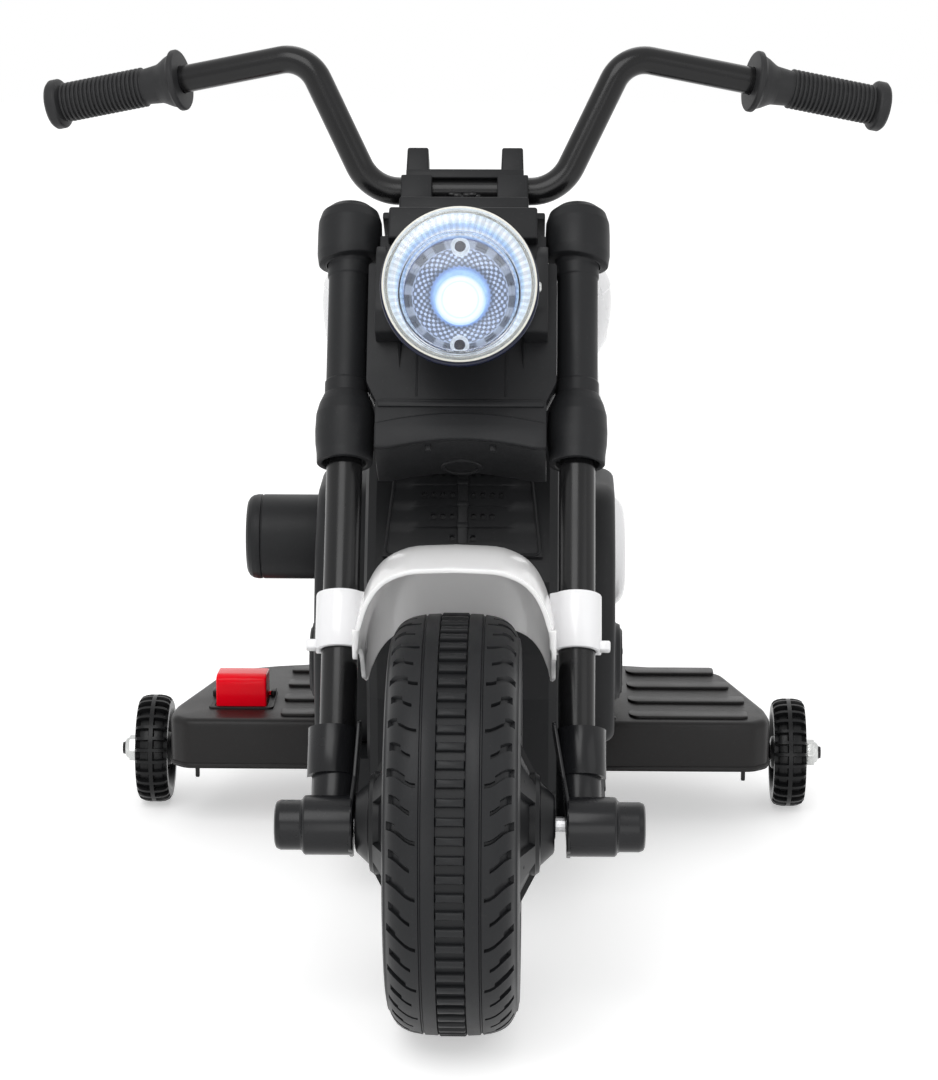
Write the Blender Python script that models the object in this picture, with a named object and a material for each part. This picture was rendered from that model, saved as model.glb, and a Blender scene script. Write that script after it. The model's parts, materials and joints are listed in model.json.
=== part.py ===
"""Kids' ride-on motorcycle: a toddler's electric chopper with two training wheels.

Metres, +Z up, front of the bike towards -Y, rider's left towards +X. The origin is on the ground, midway
between the front of the front tyre and the back of the rear fender.
"""

import math

import bmesh
import bpy
from mathutils import Matrix, Vector

# Clearances
GAP = 0.0003  # between two solids that touch on the real thing
RUNNING = 0.0004  # radial play of a wheel or gear on its shaft
SLACK = 0.0006  # all round a rocker or button in its hole

# Main driving sizes
WHEEL_R = 0.120
TYRE_HALF = 0.0375
RIM_R = 0.078
FRONT_AXLE_Y = -0.250
REAR_AXLE_Y = 0.238
RAKE = math.radians(32.0)
AXLE_R = 0.0045
HUB_HALF = 0.0570
HUB_RIM_HALF = 0.0300
HUB_FLAT_SLOPE = 0.28
HUB_WINDOWS = 5
HUB_WINDOW_R = 0.0065

# Fork and steering, measured along the fork line from the front axle
LEG_X = 0.069
LEG_R = 0.0107
LEG_WALL = 0.0016
LEG_BEHIND_AXLE = 0.0155
STEM_BEHIND_LEG = 0.0245
STEM_R = 0.0095
LEG_FOOT = 0.002
BOOT_LOW = 0.222
BOOT_WIDE = 0.242
BOOT_TOP = 0.2605
BOOT_R = 0.0180
COVER_R = 0.0122
CAP_LOW = 0.347
CAP_TOP = 0.3885
CAP_R = 0.0190
YOKE_LOW = 0.2240
YOKE_ARCH = 0.0055
YOKE_TOP = 0.2547
YOKE_DEPTH = 0.030
CLAMP_PLATE_LOW = 0.3775
CLAMP_PLATE_TOP = 0.3900
CLAMP_TOP = 0.4310
CLAMP_BLOCK_IN = 0.0199
CLAMP_BLOCK_OUT = 0.0388
CLAMP_BLOCK_HALF = 0.0160
CLAMP_BRIDGE = 0.0050
CLAMP_PLATE_AHEAD = 0.0120
CLAMP_PLATE_BEHIND = 0.0050

# Handlebar and grips
BAR_R = 0.0085
BAR_S = 0.405
BAR_AHEAD_OF_STEM = 0.010
BAR_LOW_X = 0.0576
BAR_TOP_X = 0.0977
BAR_RISE = 0.0821
BAR_SWEEP = 0.0150
BAR_LOW_BEND = 0.028
BAR_TOP_BEND = 0.022
GRIP_SPAN = 0.2600
GRIP_DROP = 0.0352
GRIP_BACK = 0.0360
GRIP_LENGTH = 0.088
GRIP_R = 0.0120
GRIP_FLANGE_R = 0.0190
GRIP_END_R = 0.0155

# Headlamp, placed on the steering frame
LAMP_R = 0.044
LAMP_S = 0.302
LAMP_AHEAD_OF_STEM = 0.1096
LAMP_DEPTH = 0.060
LAMP_UPTILT = math.radians(14.0)
LAMP_RIM_DEPTH = 0.014

# Front fender
FENDER_ROOM = 0.037  # over the tyre
FENDER_R = WHEEL_R + FENDER_ROOM
FENDER_HALF = 0.0568
FENDER_FLANK = 0.059
FENDER_WALL = 0.0025
FENDER_AHEAD = math.radians(12.5)
FENDER_BEHIND = math.radians(59.0)
CLAMP_LOW = 0.106
CLAMP_HIGH = 0.1405
CLAMP_WALL = 0.0035

# Axle shoes at the feet of the legs
SHOE_LOW = 0.014
SHOE_HIGH = 0.057
POD_R = 0.0155
POD_OUT = 0.0875
POD_CAP_R = 0.0130
POD_CAP_OUT = 0.1060

# Body
BODY_HALF = 0.060
WALL = 0.003
BELLY_Z = 0.052
TUB_TOP = 0.0998
TUB_HALF = 0.088
ARM_THICK = 0.012
ARM_BOSS_R = 0.025
HEAD_R = 0.018
PANEL_BEHIND_STEM = 0.042
DECK_Z = 0.290
DECK_BACK = 0.318
TANK_SEAT_Z = 0.345

# Tank, seat and rear fender
TANK_HALF = 0.090
TANK_TOP = 0.405
TANK_LOW = 0.336
TANK_FRONT = -0.020
TANK_BACK = 0.112
TANK_WALL = 0.0025
SEAT_FRONT = 0.118
SEAT_BACK = 0.330
SEAT_HALF = 0.074
SEAT_THICK = 0.044
REAR_FENDER_ROOM = 0.012  # over the tyre
REAR_FENDER_R = WHEEL_R + REAR_FENDER_ROOM
REAR_FENDER_HALF = 0.047
REAR_FENDER_WALL = 0.0025
REAR_FENDER_AHEAD = math.radians(45.0)
REAR_FENDER_BEHIND = math.radians(90.0)

# Engine covers, air cleaner and side covers
ENGINE_OUT = 0.090
ENGINE_TOP = 0.262
DISC_R = 0.028
DISC_OUT = 0.100
CLEANER_R = 0.0275
CLEANER_Y = 0.060
CLEANER_Z = 0.212
CLEANER_OUT = 0.143
ENGINE_ROUND = 0.012
SIDE_PANEL_OUT = 0.088
SIDE_PANEL_ROUND = 0.010
SIDE_WALL = 0.0025
BULGE_OUT = 0.105
BULGE_ROUND = 0.014
BULGE_HALF_LONG = 0.055
BULGE_HALF_TALL = 0.038
BULGE_AHEAD = 0.014  # of the motor
BULGE_OVER = 0.010  # over the motor

# Footboards and pedal
BOARD_FRONT = 0.090
BOARD_BACK = 0.237
BOARD_OUT = 0.202
BOARD_TOP = 0.078
BOARD_LOW = 0.044
LEDGES = 4
LEDGE_AHEAD = 0.009  # from the board's front edge to the first ledge
LEDGE_PITCH = 0.0355
LEDGE_LONG = 0.016
LEDGE_RISE = 0.0012
PEDAL_X = 0.155
PEDAL_Y = 0.135
PEDAL_WIDE = 0.034
PEDAL_LONG = 0.030
PEDAL_TOP = 0.100
PEDAL_PLATE = 0.005
PEDAL_PIN_R = 0.0015

# Training wheels
TRAINER_R = 0.037
TRAINER_WIDE = 0.023
TRAINER_X = 0.218
TRAINER_Y = 0.158
TRAINER_PIN_R = 0.0048
NUT_FLATS = 0.016
NUT_THICK = 0.0085
TRAINER_PLATE = 0.003
TRAINER_PLATE_AHEAD = 0.042
TRAINER_PLATE_BEHIND = 0.018
TRAINER_PLATE_IN = 0.030
TRAINER_PRONG = 0.008

# Gear train
GEAR_MODULE = 0.0015
OUTPUT_TEETH = 28
IDLER_TEETH = 24
PINION_TEETH = 10
TRAIN_ANGLE = math.radians(129.2)
GEAR_WIDE = 0.007
MOTOR_R = 0.0138
MOTOR_LONG = 0.034
CASE_IN = TYRE_HALF + 0.0035
CASE_SPLIT = CASE_IN + 0.0170
CASE_ROOM = 0.0005  # between the gear case and the arm beside it
CASE_OUT = TUB_HALF - ARM_THICK - CASE_ROOM
CASE_WALL = 0.0020
IDLER_PIN_R = 0.0020

# Dash panel and its switches
DASH_HALF = 0.031
DASH_FRONT = 0.030
DASH_BACK = 0.088
DASH_THICK = 0.0030
DASH_TOP = TANK_TOP + 0.0045
ROCKER_WIDE = 0.013
ROCKER_LONG = 0.019
BUTTON_R = 0.0062

# Electrics inside the body
BATTERY_HALF = 0.050
BATTERY_FRONT = 0.018
BATTERY_BACK = 0.065
BATTERY_TALL = 0.070
CONTROL_HALF = 0.030
CONTROL_FRONT = 0.020
CONTROL_BACK = 0.062
CONTROL_TALL = 0.0237
SOCKET_R = 0.0075
SOCKET_NECK_R = 0.0050
SOCKET_BORE_R = 0.0026
SOCKET_PROUD = 0.0040
SPEAKER_R = 0.0240
SPEAKER_S = 0.222
SOUND_HOLE_R = 0.020

STEERING_BACK = LEG_BEHIND_AXLE + STEM_BEHIND_LEG
SIDES = {"left": 1, "right": -1}
WHEEL_STEPS = 28
TRAINER_STEPS = 16
FRONT_AXLE = (0.0, FRONT_AXLE_Y, WHEEL_R)
REAR_AXLE = (0.0, REAR_AXLE_Y, WHEEL_R)
BORE_R = AXLE_R + RUNNING

# Finishes: colour, roughness, metallic
FINISHES = {
    "black_plastic": ((0.030, 0.031, 0.033), 0.55, 0.0),
    "gloss_black": ((0.016, 0.016, 0.018), 0.22, 0.0),
    "black_paint": ((0.014, 0.014, 0.016), 0.18, 0.4),
    "white_gloss": ((0.86, 0.86, 0.87), 0.20, 0.0),
    "tyre_black": ((0.035, 0.036, 0.038), 0.62, 0.0),
    "grip_black": ((0.028, 0.028, 0.030), 0.70, 0.0),
    "board_brown": ((0.060, 0.055, 0.052), 0.60, 0.0),
    "red_gloss": ((0.72, 0.015, 0.035), 0.18, 0.0),
    "zinc": ((0.62, 0.62, 0.60), 0.32, 1.0),
    "steel": ((0.50, 0.50, 0.51), 0.30, 1.0),
    "lamp_blue": ((0.010, 0.016, 0.045), 0.25, 0.0),
    "lamp_chrome": ((0.80, 0.82, 0.86), 0.08, 1.0),
    "clear_lens": ((0.80, 0.88, 0.98), 0.05, 0.0),
    "gear_white": ((0.75, 0.74, 0.70), 0.40, 0.0),
    "battery_grey": ((0.10, 0.10, 0.11), 0.50, 0.0),
}


def clear_scene():
    for thing in list(bpy.data.objects):
        bpy.data.objects.remove(thing, do_unlink=True)


def finish_of(name, label):
    """A material of its own for each piece, in one of the named finishes."""
    colour, roughness, metallic = FINISHES[name]
    made = bpy.data.materials.new(label)
    made.use_nodes = True
    shader = made.node_tree.nodes["Principled BSDF"]
    shader.inputs["Base Color"].default_value = (*colour, 1.0)
    shader.inputs["Roughness"].default_value = roughness
    shader.inputs["Metallic"].default_value = metallic
    return made


def frame_empty(name, matrix):
    empty = bpy.data.objects.new(name, None)
    bpy.context.scene.collection.objects.link(empty)
    empty.matrix_world = matrix
    return empty


def add_piece(name, shape, finish, parent=None, smooth=math.radians(35)):
    """Turns a bmesh into a named object, modelled in its parent's frame."""
    bmesh.ops.recalc_face_normals(shape, faces=shape.faces)
    mesh = bpy.data.meshes.new(name)
    shape.to_mesh(mesh)
    shape.free()
    mesh.shade_smooth()
    mesh.set_sharp_from_angle(angle=smooth)
    piece = bpy.data.objects.new(name, mesh)
    bpy.context.scene.collection.objects.link(piece)
    piece.parent = parent
    mesh.materials.append(finish_of(finish, name))
    return piece


def add_sheet(name, shape, finish, thickness, parent=None):
    """Gives a wall, growing inwards, to an open sheet that arches upwards."""
    bmesh.ops.recalc_face_normals(shape, faces=shape.faces)
    crown = max(shape.faces, key=lambda face: face.calc_center_median().z)
    if crown.normal.z < 0:
        bmesh.ops.reverse_faces(shape, faces=shape.faces)
    mesh = bpy.data.meshes.new(name)
    shape.to_mesh(mesh)
    shape.free()
    mesh.shade_smooth()
    mesh.set_sharp_from_angle(angle=math.radians(35))
    mesh.materials.append(finish_of(finish, name))
    piece = bpy.data.objects.new(name, mesh)
    bpy.context.scene.collection.objects.link(piece)
    piece.parent = parent
    wall = piece.modifiers.new("wall", "SOLIDIFY")
    wall.thickness = thickness
    wall.offset = -1.0
    wall.use_even_offset = True
    return piece


def swept_round(section, axle, ahead, behind, steps):
    """Sweeps a fender's (x, radius) section round its axle, from ahead of the top to behind it."""
    shape = bmesh.new()
    start = Matrix.Rotation(ahead, 3, "X")
    points = [shape.verts.new(axle + start @ Vector((x, 0.0, r))) for x, r in section]
    edges = [shape.edges.new(pair) for pair in zip(points, points[1:])]
    turn = ahead + behind
    bmesh.ops.spin(shape, geom=points + edges, axis=(-1, 0, 0), cent=axle, angle=turn, steps=steps)
    return shape


def combine(piece, shape, operation):
    """Adds a live Boolean with a hidden helper, in the same frame as the piece."""
    order = len([m for m in piece.modifiers if m.type == "BOOLEAN"])
    bmesh.ops.recalc_face_normals(shape, faces=shape.faces)
    helper_name = f"{piece.name}_helper_{order}"
    mesh = bpy.data.meshes.new(helper_name)
    shape.to_mesh(mesh)
    shape.free()
    helper = bpy.data.objects.new(helper_name, mesh)
    bpy.context.scene.collection.objects.link(helper)
    helper.parent = piece.parent
    helper.hide_render = True
    helper.display_type = "WIRE"
    modifier = piece.modifiers.new(f"shape_{order}", "BOOLEAN")
    modifier.operation = operation
    modifier.object = helper


def cut(piece, shape):
    combine(piece, shape, "DIFFERENCE")


def fuse(piece, shape):
    combine(piece, shape, "UNION")


def axes_matrix(axis):
    """Turns a shape modelled along +Z so that it runs along the named axis."""
    if axis == "X":
        return Matrix.Rotation(math.pi / 2, 4, "Y")
    if axis == "Y":
        return Matrix.Rotation(-math.pi / 2, 4, "X")
    return Matrix.Identity(4)


def rod(axis, radius, low, high, centre=(0.0, 0.0), sides=16, top_radius=None):
    """A cylinder or cone along an axis; centre gives its other two coordinates, in X, Y, Z order."""
    shape = bmesh.new()
    bmesh.ops.create_cone(
        shape,
        cap_ends=True,
        segments=sides,
        radius1=radius,
        radius2=radius if top_radius is None else top_radius,
        depth=high - low,
    )
    half_step = Matrix.Rotation(math.pi / sides, 4, "Z")
    bmesh.ops.transform(shape, matrix=axes_matrix(axis) @ half_step, verts=shape.verts)
    middle = (low + high) / 2
    place = {
        "X": (middle, centre[0], centre[1]),
        "Y": (centre[0], middle, centre[1]),
        "Z": (centre[0], centre[1], middle),
    }[axis]
    bmesh.ops.translate(shape, vec=place, verts=shape.verts)
    return shape


def box(low, high):
    shape = bmesh.new()
    bmesh.ops.create_cube(shape, size=1.0)
    size = [b - a for a, b in zip(low, high)]
    middle = [(a + b) / 2 for a, b in zip(low, high)]
    bmesh.ops.scale(shape, vec=size, verts=shape.verts)
    bmesh.ops.translate(shape, vec=middle, verts=shape.verts)
    return shape


def prism(outline, axis, low, high):
    """A flat outline extruded along an axis; its points are the other two coordinates, in X, Y, Z order."""
    shape = bmesh.new()
    place = {
        "X": lambda a, b: (low, a, b),
        "Y": lambda a, b: (a, low, b),
        "Z": lambda a, b: (a, b, low),
    }[axis]
    corners = [shape.verts.new(place(a, b)) for a, b in outline]
    face = shape.faces.new(corners)
    made = bmesh.ops.extrude_face_region(shape, geom=[face])
    moved = [v for v in made["geom"] if isinstance(v, bmesh.types.BMVert)]
    shift = {"X": (high - low, 0, 0), "Y": (0, high - low, 0), "Z": (0, 0, high - low)}[axis]
    bmesh.ops.translate(shape, vec=shift, verts=moved)
    bmesh.ops.recalc_face_normals(shape, faces=shape.faces)
    return shape


def turned(profile, steps, closed=False):
    """Spins (radius, x) points about the X axis; the polygon has a flat at its bottom."""
    shape = bmesh.new()
    points = [shape.verts.new((x, 0.0, -radius)) for radius, x in profile]
    edges = [shape.edges.new(pair) for pair in zip(points, points[1:])]
    if closed:
        edges.append(shape.edges.new((points[-1], points[0])))
    bmesh.ops.spin(
        shape,
        geom=points + edges,
        axis=(1, 0, 0),
        cent=(0, 0, 0),
        angle=math.tau,
        steps=steps,
        use_merge=True,
    )
    bmesh.ops.remove_doubles(shape, verts=shape.verts, dist=1e-6)
    half_step = Matrix.Rotation(math.pi / steps, 3, "X")
    bmesh.ops.rotate(shape, cent=(0, 0, 0), matrix=half_step, verts=shape.verts)
    bmesh.ops.recalc_face_normals(shape, faces=shape.faces)
    return shape


def bevel_where(shape, wanted, width, segments=2):
    edges = [edge for edge in shape.edges if wanted(edge)]
    bmesh.ops.bevel(shape, geom=edges, offset=width, segments=segments, profile=0.5, affect="EDGES", material=-1)
    return shape


def both_ends_at(axis_index, value, reach=1e-5):
    """A test for edges that lie in the plane where one coordinate has this value."""
    return lambda edge: all(abs(v.co[axis_index] - value) < reach for v in edge.verts)


def along(axis_index, reach=1e-5):
    """A test for edges that run along one axis."""
    others = [i for i in range(3) if i != axis_index]
    return lambda edge: all(abs(edge.verts[0].co[i] - edge.verts[1].co[i]) < reach for i in others)


def mirrored(shape, side):
    """The same shape on the other side of the centre plane when side is -1."""
    if side < 0:
        bmesh.ops.scale(shape, vec=(-1, 1, 1), verts=shape.verts)
        bmesh.ops.reverse_faces(shape, faces=shape.faces)
    return shape


def moved(shape, vector):
    bmesh.ops.translate(shape, vec=vector, verts=shape.verts)
    return shape


def arc(centre, radius, start, end, steps):
    """Points on a circle from one angle to another, both ends included."""
    angles = [start + (end - start) * i / steps for i in range(steps + 1)]
    return [(centre[0] + radius * math.cos(a), centre[1] + radius * math.sin(a)) for a in angles]


def filleted(corners, radii, steps=6):
    """A 3-D path through its corners, with a round bend at each inner one."""
    path = [Vector(corners[0])]
    for before, corner, after, radius in zip(corners, corners[1:], corners[2:], radii):
        corner = Vector(corner)
        back = (Vector(before) - corner).normalized()
        ahead = (Vector(after) - corner).normalized()
        half = back.angle(ahead) / 2
        reach = radius / math.tan(half)
        middle = corner + (back + ahead).normalized() * radius / math.sin(half)
        start = corner + back * reach - middle
        end = corner + ahead * reach - middle
        turn = start.angle(end)
        axis = start.cross(end).normalized()
        for i in range(steps + 1):
            path.append(middle + Matrix.Rotation(turn * i / steps, 3, axis) @ start)
    path.append(Vector(corners[-1]))
    return path


def steering_matrix():
    """The steering frame: Z up the steering axis, Y backwards square to it, level with the front axle."""
    axle = Matrix.Translation((0.0, FRONT_AXLE_Y, WHEEL_R))
    lean = Matrix.Rotation(-RAKE, 4, "X")
    return axle @ lean @ Matrix.Translation((0.0, STEERING_BACK, 0.0))


STEER = steering_matrix()
LEG_Y = -STEM_BEHIND_LEG
AXLE_Y = -STEERING_BACK


def steering_shape(shape):
    """Moves a shape modelled in world space into the steering frame."""
    bmesh.ops.transform(shape, matrix=STEER.inverted(), verts=shape.verts)
    return shape


def turned_up(profile, steps, centre=(0.0, 0.0), closed=False):
    """Spins (radius, z) points about a vertical line."""
    shape = turned(profile, steps, closed)
    bmesh.ops.transform(shape, matrix=Matrix.Rotation(-math.pi / 2, 4, "Y"), verts=shape.verts)
    return moved(shape, (centre[0], centre[1], 0.0))


LEG_SIDES = 16


def leg_clearance(side, low, high):
    """The space that a leg takes, with the gap that its sleeves keep."""
    radius = LEG_R + GAP
    profile = [(0.0, low), (radius, low), (radius, high), (0.0, high)]
    return turned_up(profile, LEG_SIDES, (side * LEG_X, LEG_Y))


def build_legs(steering):
    leg_top = CAP_LOW - 0.012
    for word, side in SIDES.items():
        inner = LEG_R - LEG_WALL
        profile = [(LEG_R, LEG_FOOT), (LEG_R, leg_top), (inner, leg_top), (inner, LEG_FOOT)]
        shape = turned_up(profile, LEG_SIDES, (side * LEG_X, LEG_Y), closed=True)
        add_piece(f"fork_leg_{word}", shape, "black_paint", steering)

        bore = LEG_R + GAP
        cover = [
            (0.0, CAP_TOP),
            (CAP_R * 0.60, CAP_TOP - 0.0006),
            (CAP_R * 0.88, CAP_TOP - 0.0035),
            (CAP_R, CAP_TOP - 0.0100),
            (CAP_R, CAP_LOW + 0.0030),
            (CAP_R - 0.0020, CAP_LOW),
            (COVER_R, CAP_LOW - 0.0015),
            (COVER_R, BOOT_TOP + 0.0075),
            (BOOT_R - 0.0030, BOOT_TOP),
            (BOOT_R, BOOT_WIDE + 0.0080),
            (BOOT_R, BOOT_WIDE - 0.0080),
            (BOOT_R - 0.0028, BOOT_LOW),
            (bore, BOOT_LOW),
            (bore, leg_top + GAP),
            (0.0, leg_top + GAP),
        ]
        shape = turned_up(cover, LEG_SIDES, (side * LEG_X, LEG_Y))
        add_piece(f"fork_cover_{word}", shape, "black_plastic", steering)


def build_yoke_and_stem(steering):
    half = LEG_X - BOOT_R - GAP
    arch_half = half - 0.010
    rise = [(-arch_half + 2 * arch_half * i / 8, math.sin(math.pi * i / 8)) for i in range(9)]
    arch = [(x, YOKE_LOW + YOKE_ARCH * lift) for x, lift in rise]
    outline = [(-half, YOKE_TOP), (-half, YOKE_LOW), *arch, (half, YOKE_LOW), (half, YOKE_TOP)]
    front = LEG_Y - YOKE_DEPTH + 0.006
    shape = prism(outline, "Y", front, STEM_R + 0.0035)
    bevel_where(shape, both_ends_at(1, front), 0.002, 1)
    yoke = add_piece("fork_yoke", shape, "black_plastic", steering)
    cut(yoke, rod("Z", STEM_R + GAP, YOKE_LOW - 0.01, YOKE_TOP + 0.01))

    shape = rod("Z", STEM_R, YOKE_LOW + YOKE_ARCH, CLAMP_PLATE_TOP)
    add_piece("steering_stem", shape, "steel", steering)


def build_clamp(steering):
    plate_half = LEG_X - CAP_R - GAP
    bar_y = -BAR_AHEAD_OF_STEM
    block_in, block_out = CLAMP_BLOCK_IN, CLAMP_BLOCK_OUT
    block_front, block_back = bar_y - CLAMP_BLOCK_HALF, bar_y + CLAMP_BLOCK_HALF
    low = (-plate_half, LEG_Y - CLAMP_PLATE_AHEAD, CLAMP_PLATE_LOW)
    high = (plate_half, STEM_R + CLAMP_PLATE_BEHIND, CLAMP_PLATE_TOP)
    base = add_piece("bar_clamp_base", box(low, high), "black_plastic", steering)
    for side in SIDES.values():
        ends = sorted((side * block_in, side * block_out))
        low = (ends[0], block_front, CLAMP_PLATE_TOP - 0.001)
        high = (ends[1], block_back, BAR_S - GAP)
        fuse(base, box(low, high))
    cut(base, rod("Z", STEM_R + GAP, CLAMP_PLATE_LOW - 0.01, CLAMP_PLATE_TOP + 0.0005))
    bar_bore = BAR_R + GAP
    cut(base, rod("X", bar_bore, -0.05, 0.05, (bar_y, BAR_S)))

    bridge_low = BAR_S + bar_bore + 0.0008
    front, back = block_front + 0.002, block_back - 0.002
    outline = [
        (-block_out, BAR_S),
        (-block_in, BAR_S),
        (-block_in, bridge_low),
        (block_in, bridge_low),
        (block_in, BAR_S),
        (block_out, BAR_S),
        (block_out, bridge_low),
        (block_out - 0.0018, bridge_low),
        (block_out - 0.0018, CLAMP_TOP),
        (block_in + 0.0016, CLAMP_TOP),
        (block_in + 0.0016, bridge_low + CLAMP_BRIDGE),
        (-block_in - 0.0016, bridge_low + CLAMP_BRIDGE),
        (-block_in - 0.0016, CLAMP_TOP),
        (-block_out + 0.0018, CLAMP_TOP),
        (-block_out + 0.0018, bridge_low),
        (-block_out, bridge_low),
    ]
    cap = add_piece("bar_clamp_cap", prism(outline, "Y", front, back), "black_plastic", steering)
    cut(cap, rod("X", bar_bore, -0.05, 0.05, (bar_y, BAR_S)))


def bar_corners(side):
    """The bar's centre at the clamp, its two bends and the far end of the grip, in world space."""
    clamp = STEER @ Vector((0.0, -BAR_AHEAD_OF_STEM, BAR_S))
    low = Vector((side * BAR_LOW_X, clamp.y, clamp.z))
    top = Vector((side * BAR_TOP_X, clamp.y + BAR_SWEEP, clamp.z + BAR_RISE))
    end = Vector((side * GRIP_SPAN, top.y + GRIP_BACK, top.z - GRIP_DROP))
    return clamp, low, top, end


def build_handlebar(steering):
    grip_cap = 0.0035
    into_steering = STEER.inverted()
    halves = {}
    for side in SIDES.values():
        clamp, low, top, end = bar_corners(side)
        bar_end = end - (end - top).normalized() * (grip_cap + GAP)
        halves[side] = filleted([clamp, low, top, bar_end], (BAR_LOW_BEND, BAR_TOP_BEND), steps=4)
    path = list(reversed(halves[-1][1:])) + halves[1][1:]
    curve = bpy.data.curves.new("handlebar", "CURVE")
    curve.dimensions = "3D"
    curve.bevel_depth = BAR_R
    curve.bevel_resolution = 3
    curve.use_fill_caps = True
    spline = curve.splines.new("POLY")
    spline.points.add(len(path) - 1)
    for point, place in zip(spline.points, path):
        point.co = (*(into_steering @ place), 1.0)
    curve.materials.append(finish_of("black_paint", "handlebar"))
    bar = bpy.data.objects.new("handlebar", curve)
    bpy.context.scene.collection.objects.link(bar)
    bar.parent = steering

    bore = BAR_R + GAP
    profile = [
        (0.0, GRIP_LENGTH),
        (GRIP_END_R - 0.0015, GRIP_LENGTH),
        (GRIP_END_R, GRIP_LENGTH - 0.0015),
        (GRIP_END_R, GRIP_LENGTH - 0.0060),
        (GRIP_R, GRIP_LENGTH - 0.0075),
        (GRIP_R, 0.0120),
        (GRIP_R + 0.0030, 0.0085),
        (GRIP_FLANGE_R, 0.0040),
        (GRIP_FLANGE_R, 0.0),
        (bore, 0.0),
        (bore, GRIP_LENGTH - grip_cap),
        (0.0, GRIP_LENGTH - grip_cap),
    ]
    for word, side in SIDES.items():
        _, _, top, end = bar_corners(side)
        outward = (end - top).normalized()
        turn = Vector((1.0, 0.0, 0.0)).rotation_difference(outward).to_matrix().to_4x4()
        start = Matrix.Translation(end - outward * GRIP_LENGTH)
        shape = turned(profile, 16)
        bmesh.ops.transform(shape, matrix=start @ turn, verts=shape.verts)
        add_piece(f"grip_{word}", steering_shape(shape), "grip_black", steering)


def lamp_matrix():
    """The lamp's own frame within the steering frame: X out of the lens, Y across, centre at the lens."""
    centre = STEER @ Vector((0.0, -LAMP_AHEAD_OF_STEM, LAMP_S))
    out = (0.0, -math.cos(LAMP_UPTILT), math.sin(LAMP_UPTILT))
    up = (0.0, math.sin(LAMP_UPTILT), math.cos(LAMP_UPTILT))
    turn = Matrix(((out[0], 1.0, up[0]), (out[1], 0.0, up[1]), (out[2], 0.0, up[2]))).to_4x4()
    return STEER.inverted() @ Matrix.Translation(centre) @ turn


def build_lamp(steering):
    frame = lamp_matrix()
    steps = 20
    shell = 0.0020
    back = -LAMP_DEPTH
    rim = -0.003
    housing_r = LAMP_R + 0.0015

    def lamp_piece(name, profile, finish):
        shape = turned(profile, steps)
        bmesh.ops.transform(shape, matrix=frame, verts=shape.verts)
        return add_piece(name, shape, finish, steering)

    outer = [
        (0.0, back),
        (LAMP_R * 0.55, back),
        (LAMP_R * 0.68, back + 0.004),
        (LAMP_R * 0.91, back * 0.60),
        (housing_r, -LAMP_RIM_DEPTH),
        (housing_r, rim),
    ]
    inner = [
        (housing_r - shell, rim),
        (housing_r - shell, -LAMP_RIM_DEPTH),
        (LAMP_R * 0.91 - shell, back * 0.60),
        (LAMP_R * 0.66 - shell, back + 0.007),
        (0.0, back + 0.007),
    ]
    lamp_piece("headlamp_housing", outer + inner, "lamp_blue")

    dish_back = back + 0.007 + GAP
    dish = [
        (0.0, dish_back),
        (LAMP_R * 0.61 - shell, dish_back),
        (LAMP_R * 0.88 - shell, back * 0.60 + 0.001),
        (LAMP_R - shell * 0.5, -LAMP_RIM_DEPTH),
        (LAMP_R - shell * 1.5, -LAMP_RIM_DEPTH),
        (LAMP_R * 0.83 - shell, back * 0.58),
        (LAMP_R * 0.30, dish_back + 0.0030),
        (LAMP_R * 0.27, dish_back + 0.0110),
        (LAMP_R * 0.15, dish_back + 0.0150),
        (0.0, dish_back + 0.0160),
    ]
    lamp_piece("headlamp_reflector", dish, "lamp_chrome")

    lens = [
        (0.0, -0.0080),
        (LAMP_R * 0.76, -0.0080),
        (LAMP_R * 0.81, 0.0030),
        (LAMP_R * 0.92, 0.0040),
        (LAMP_R, 0.0005),
        (LAMP_R, rim + GAP),
        (LAMP_R * 0.875, rim + GAP),
        (LAMP_R * 0.80, -0.0105),
        (0.0, -0.0105),
    ]
    lamp_piece("headlamp_lens", lens, "clear_lens")

    plate_half = LEG_X - COVER_R - GAP
    plate_front, plate_back = AXLE_Y, -HEAD_R - 0.004
    low = (-plate_half, plate_front, YOKE_TOP + GAP)
    high = (plate_half, plate_back, CAP_LOW - 0.0025)
    shape = bevel_where(box(low, high), both_ends_at(1, plate_front), 0.0025, 1)
    bracket = add_piece("headlamp_bracket", shape, "black_plastic", steering)
    top_half = LEG_X - CAP_R - 0.0043
    low = (-top_half, plate_front - 0.010, CAP_LOW - 0.0040)
    fuse(bracket, box(low, (top_half, plate_back, CLAMP_PLATE_LOW - GAP)))
    for side in SIDES.values():
        ends = sorted((side * (LAMP_R + 0.0025), side * (plate_half - 0.0020)))
        low = (ends[0], plate_front - 0.022, LAMP_S - 0.018)
        fuse(bracket, box(low, (ends[1], plate_front + 0.002, CAP_LOW - 0.0060)))
    pedestal = rod("X", LAMP_R * 0.50, back - 0.020, back - GAP, sides=16)
    bmesh.ops.transform(pedestal, matrix=frame, verts=pedestal.verts)
    fuse(bracket, pedestal)
    low = (-top_half + WALL, plate_front + WALL, YOKE_TOP + WALL)
    cut(bracket, box(low, (top_half - WALL, plate_back + 0.01, CLAMP_PLATE_LOW - WALL)))
    for side in SIDES.values():
        boot = rod("Z", BOOT_R + GAP * 2, BOOT_LOW, BOOT_TOP + 0.0085, (side * LEG_X, LEG_Y))
        cut(bracket, boot)


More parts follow.
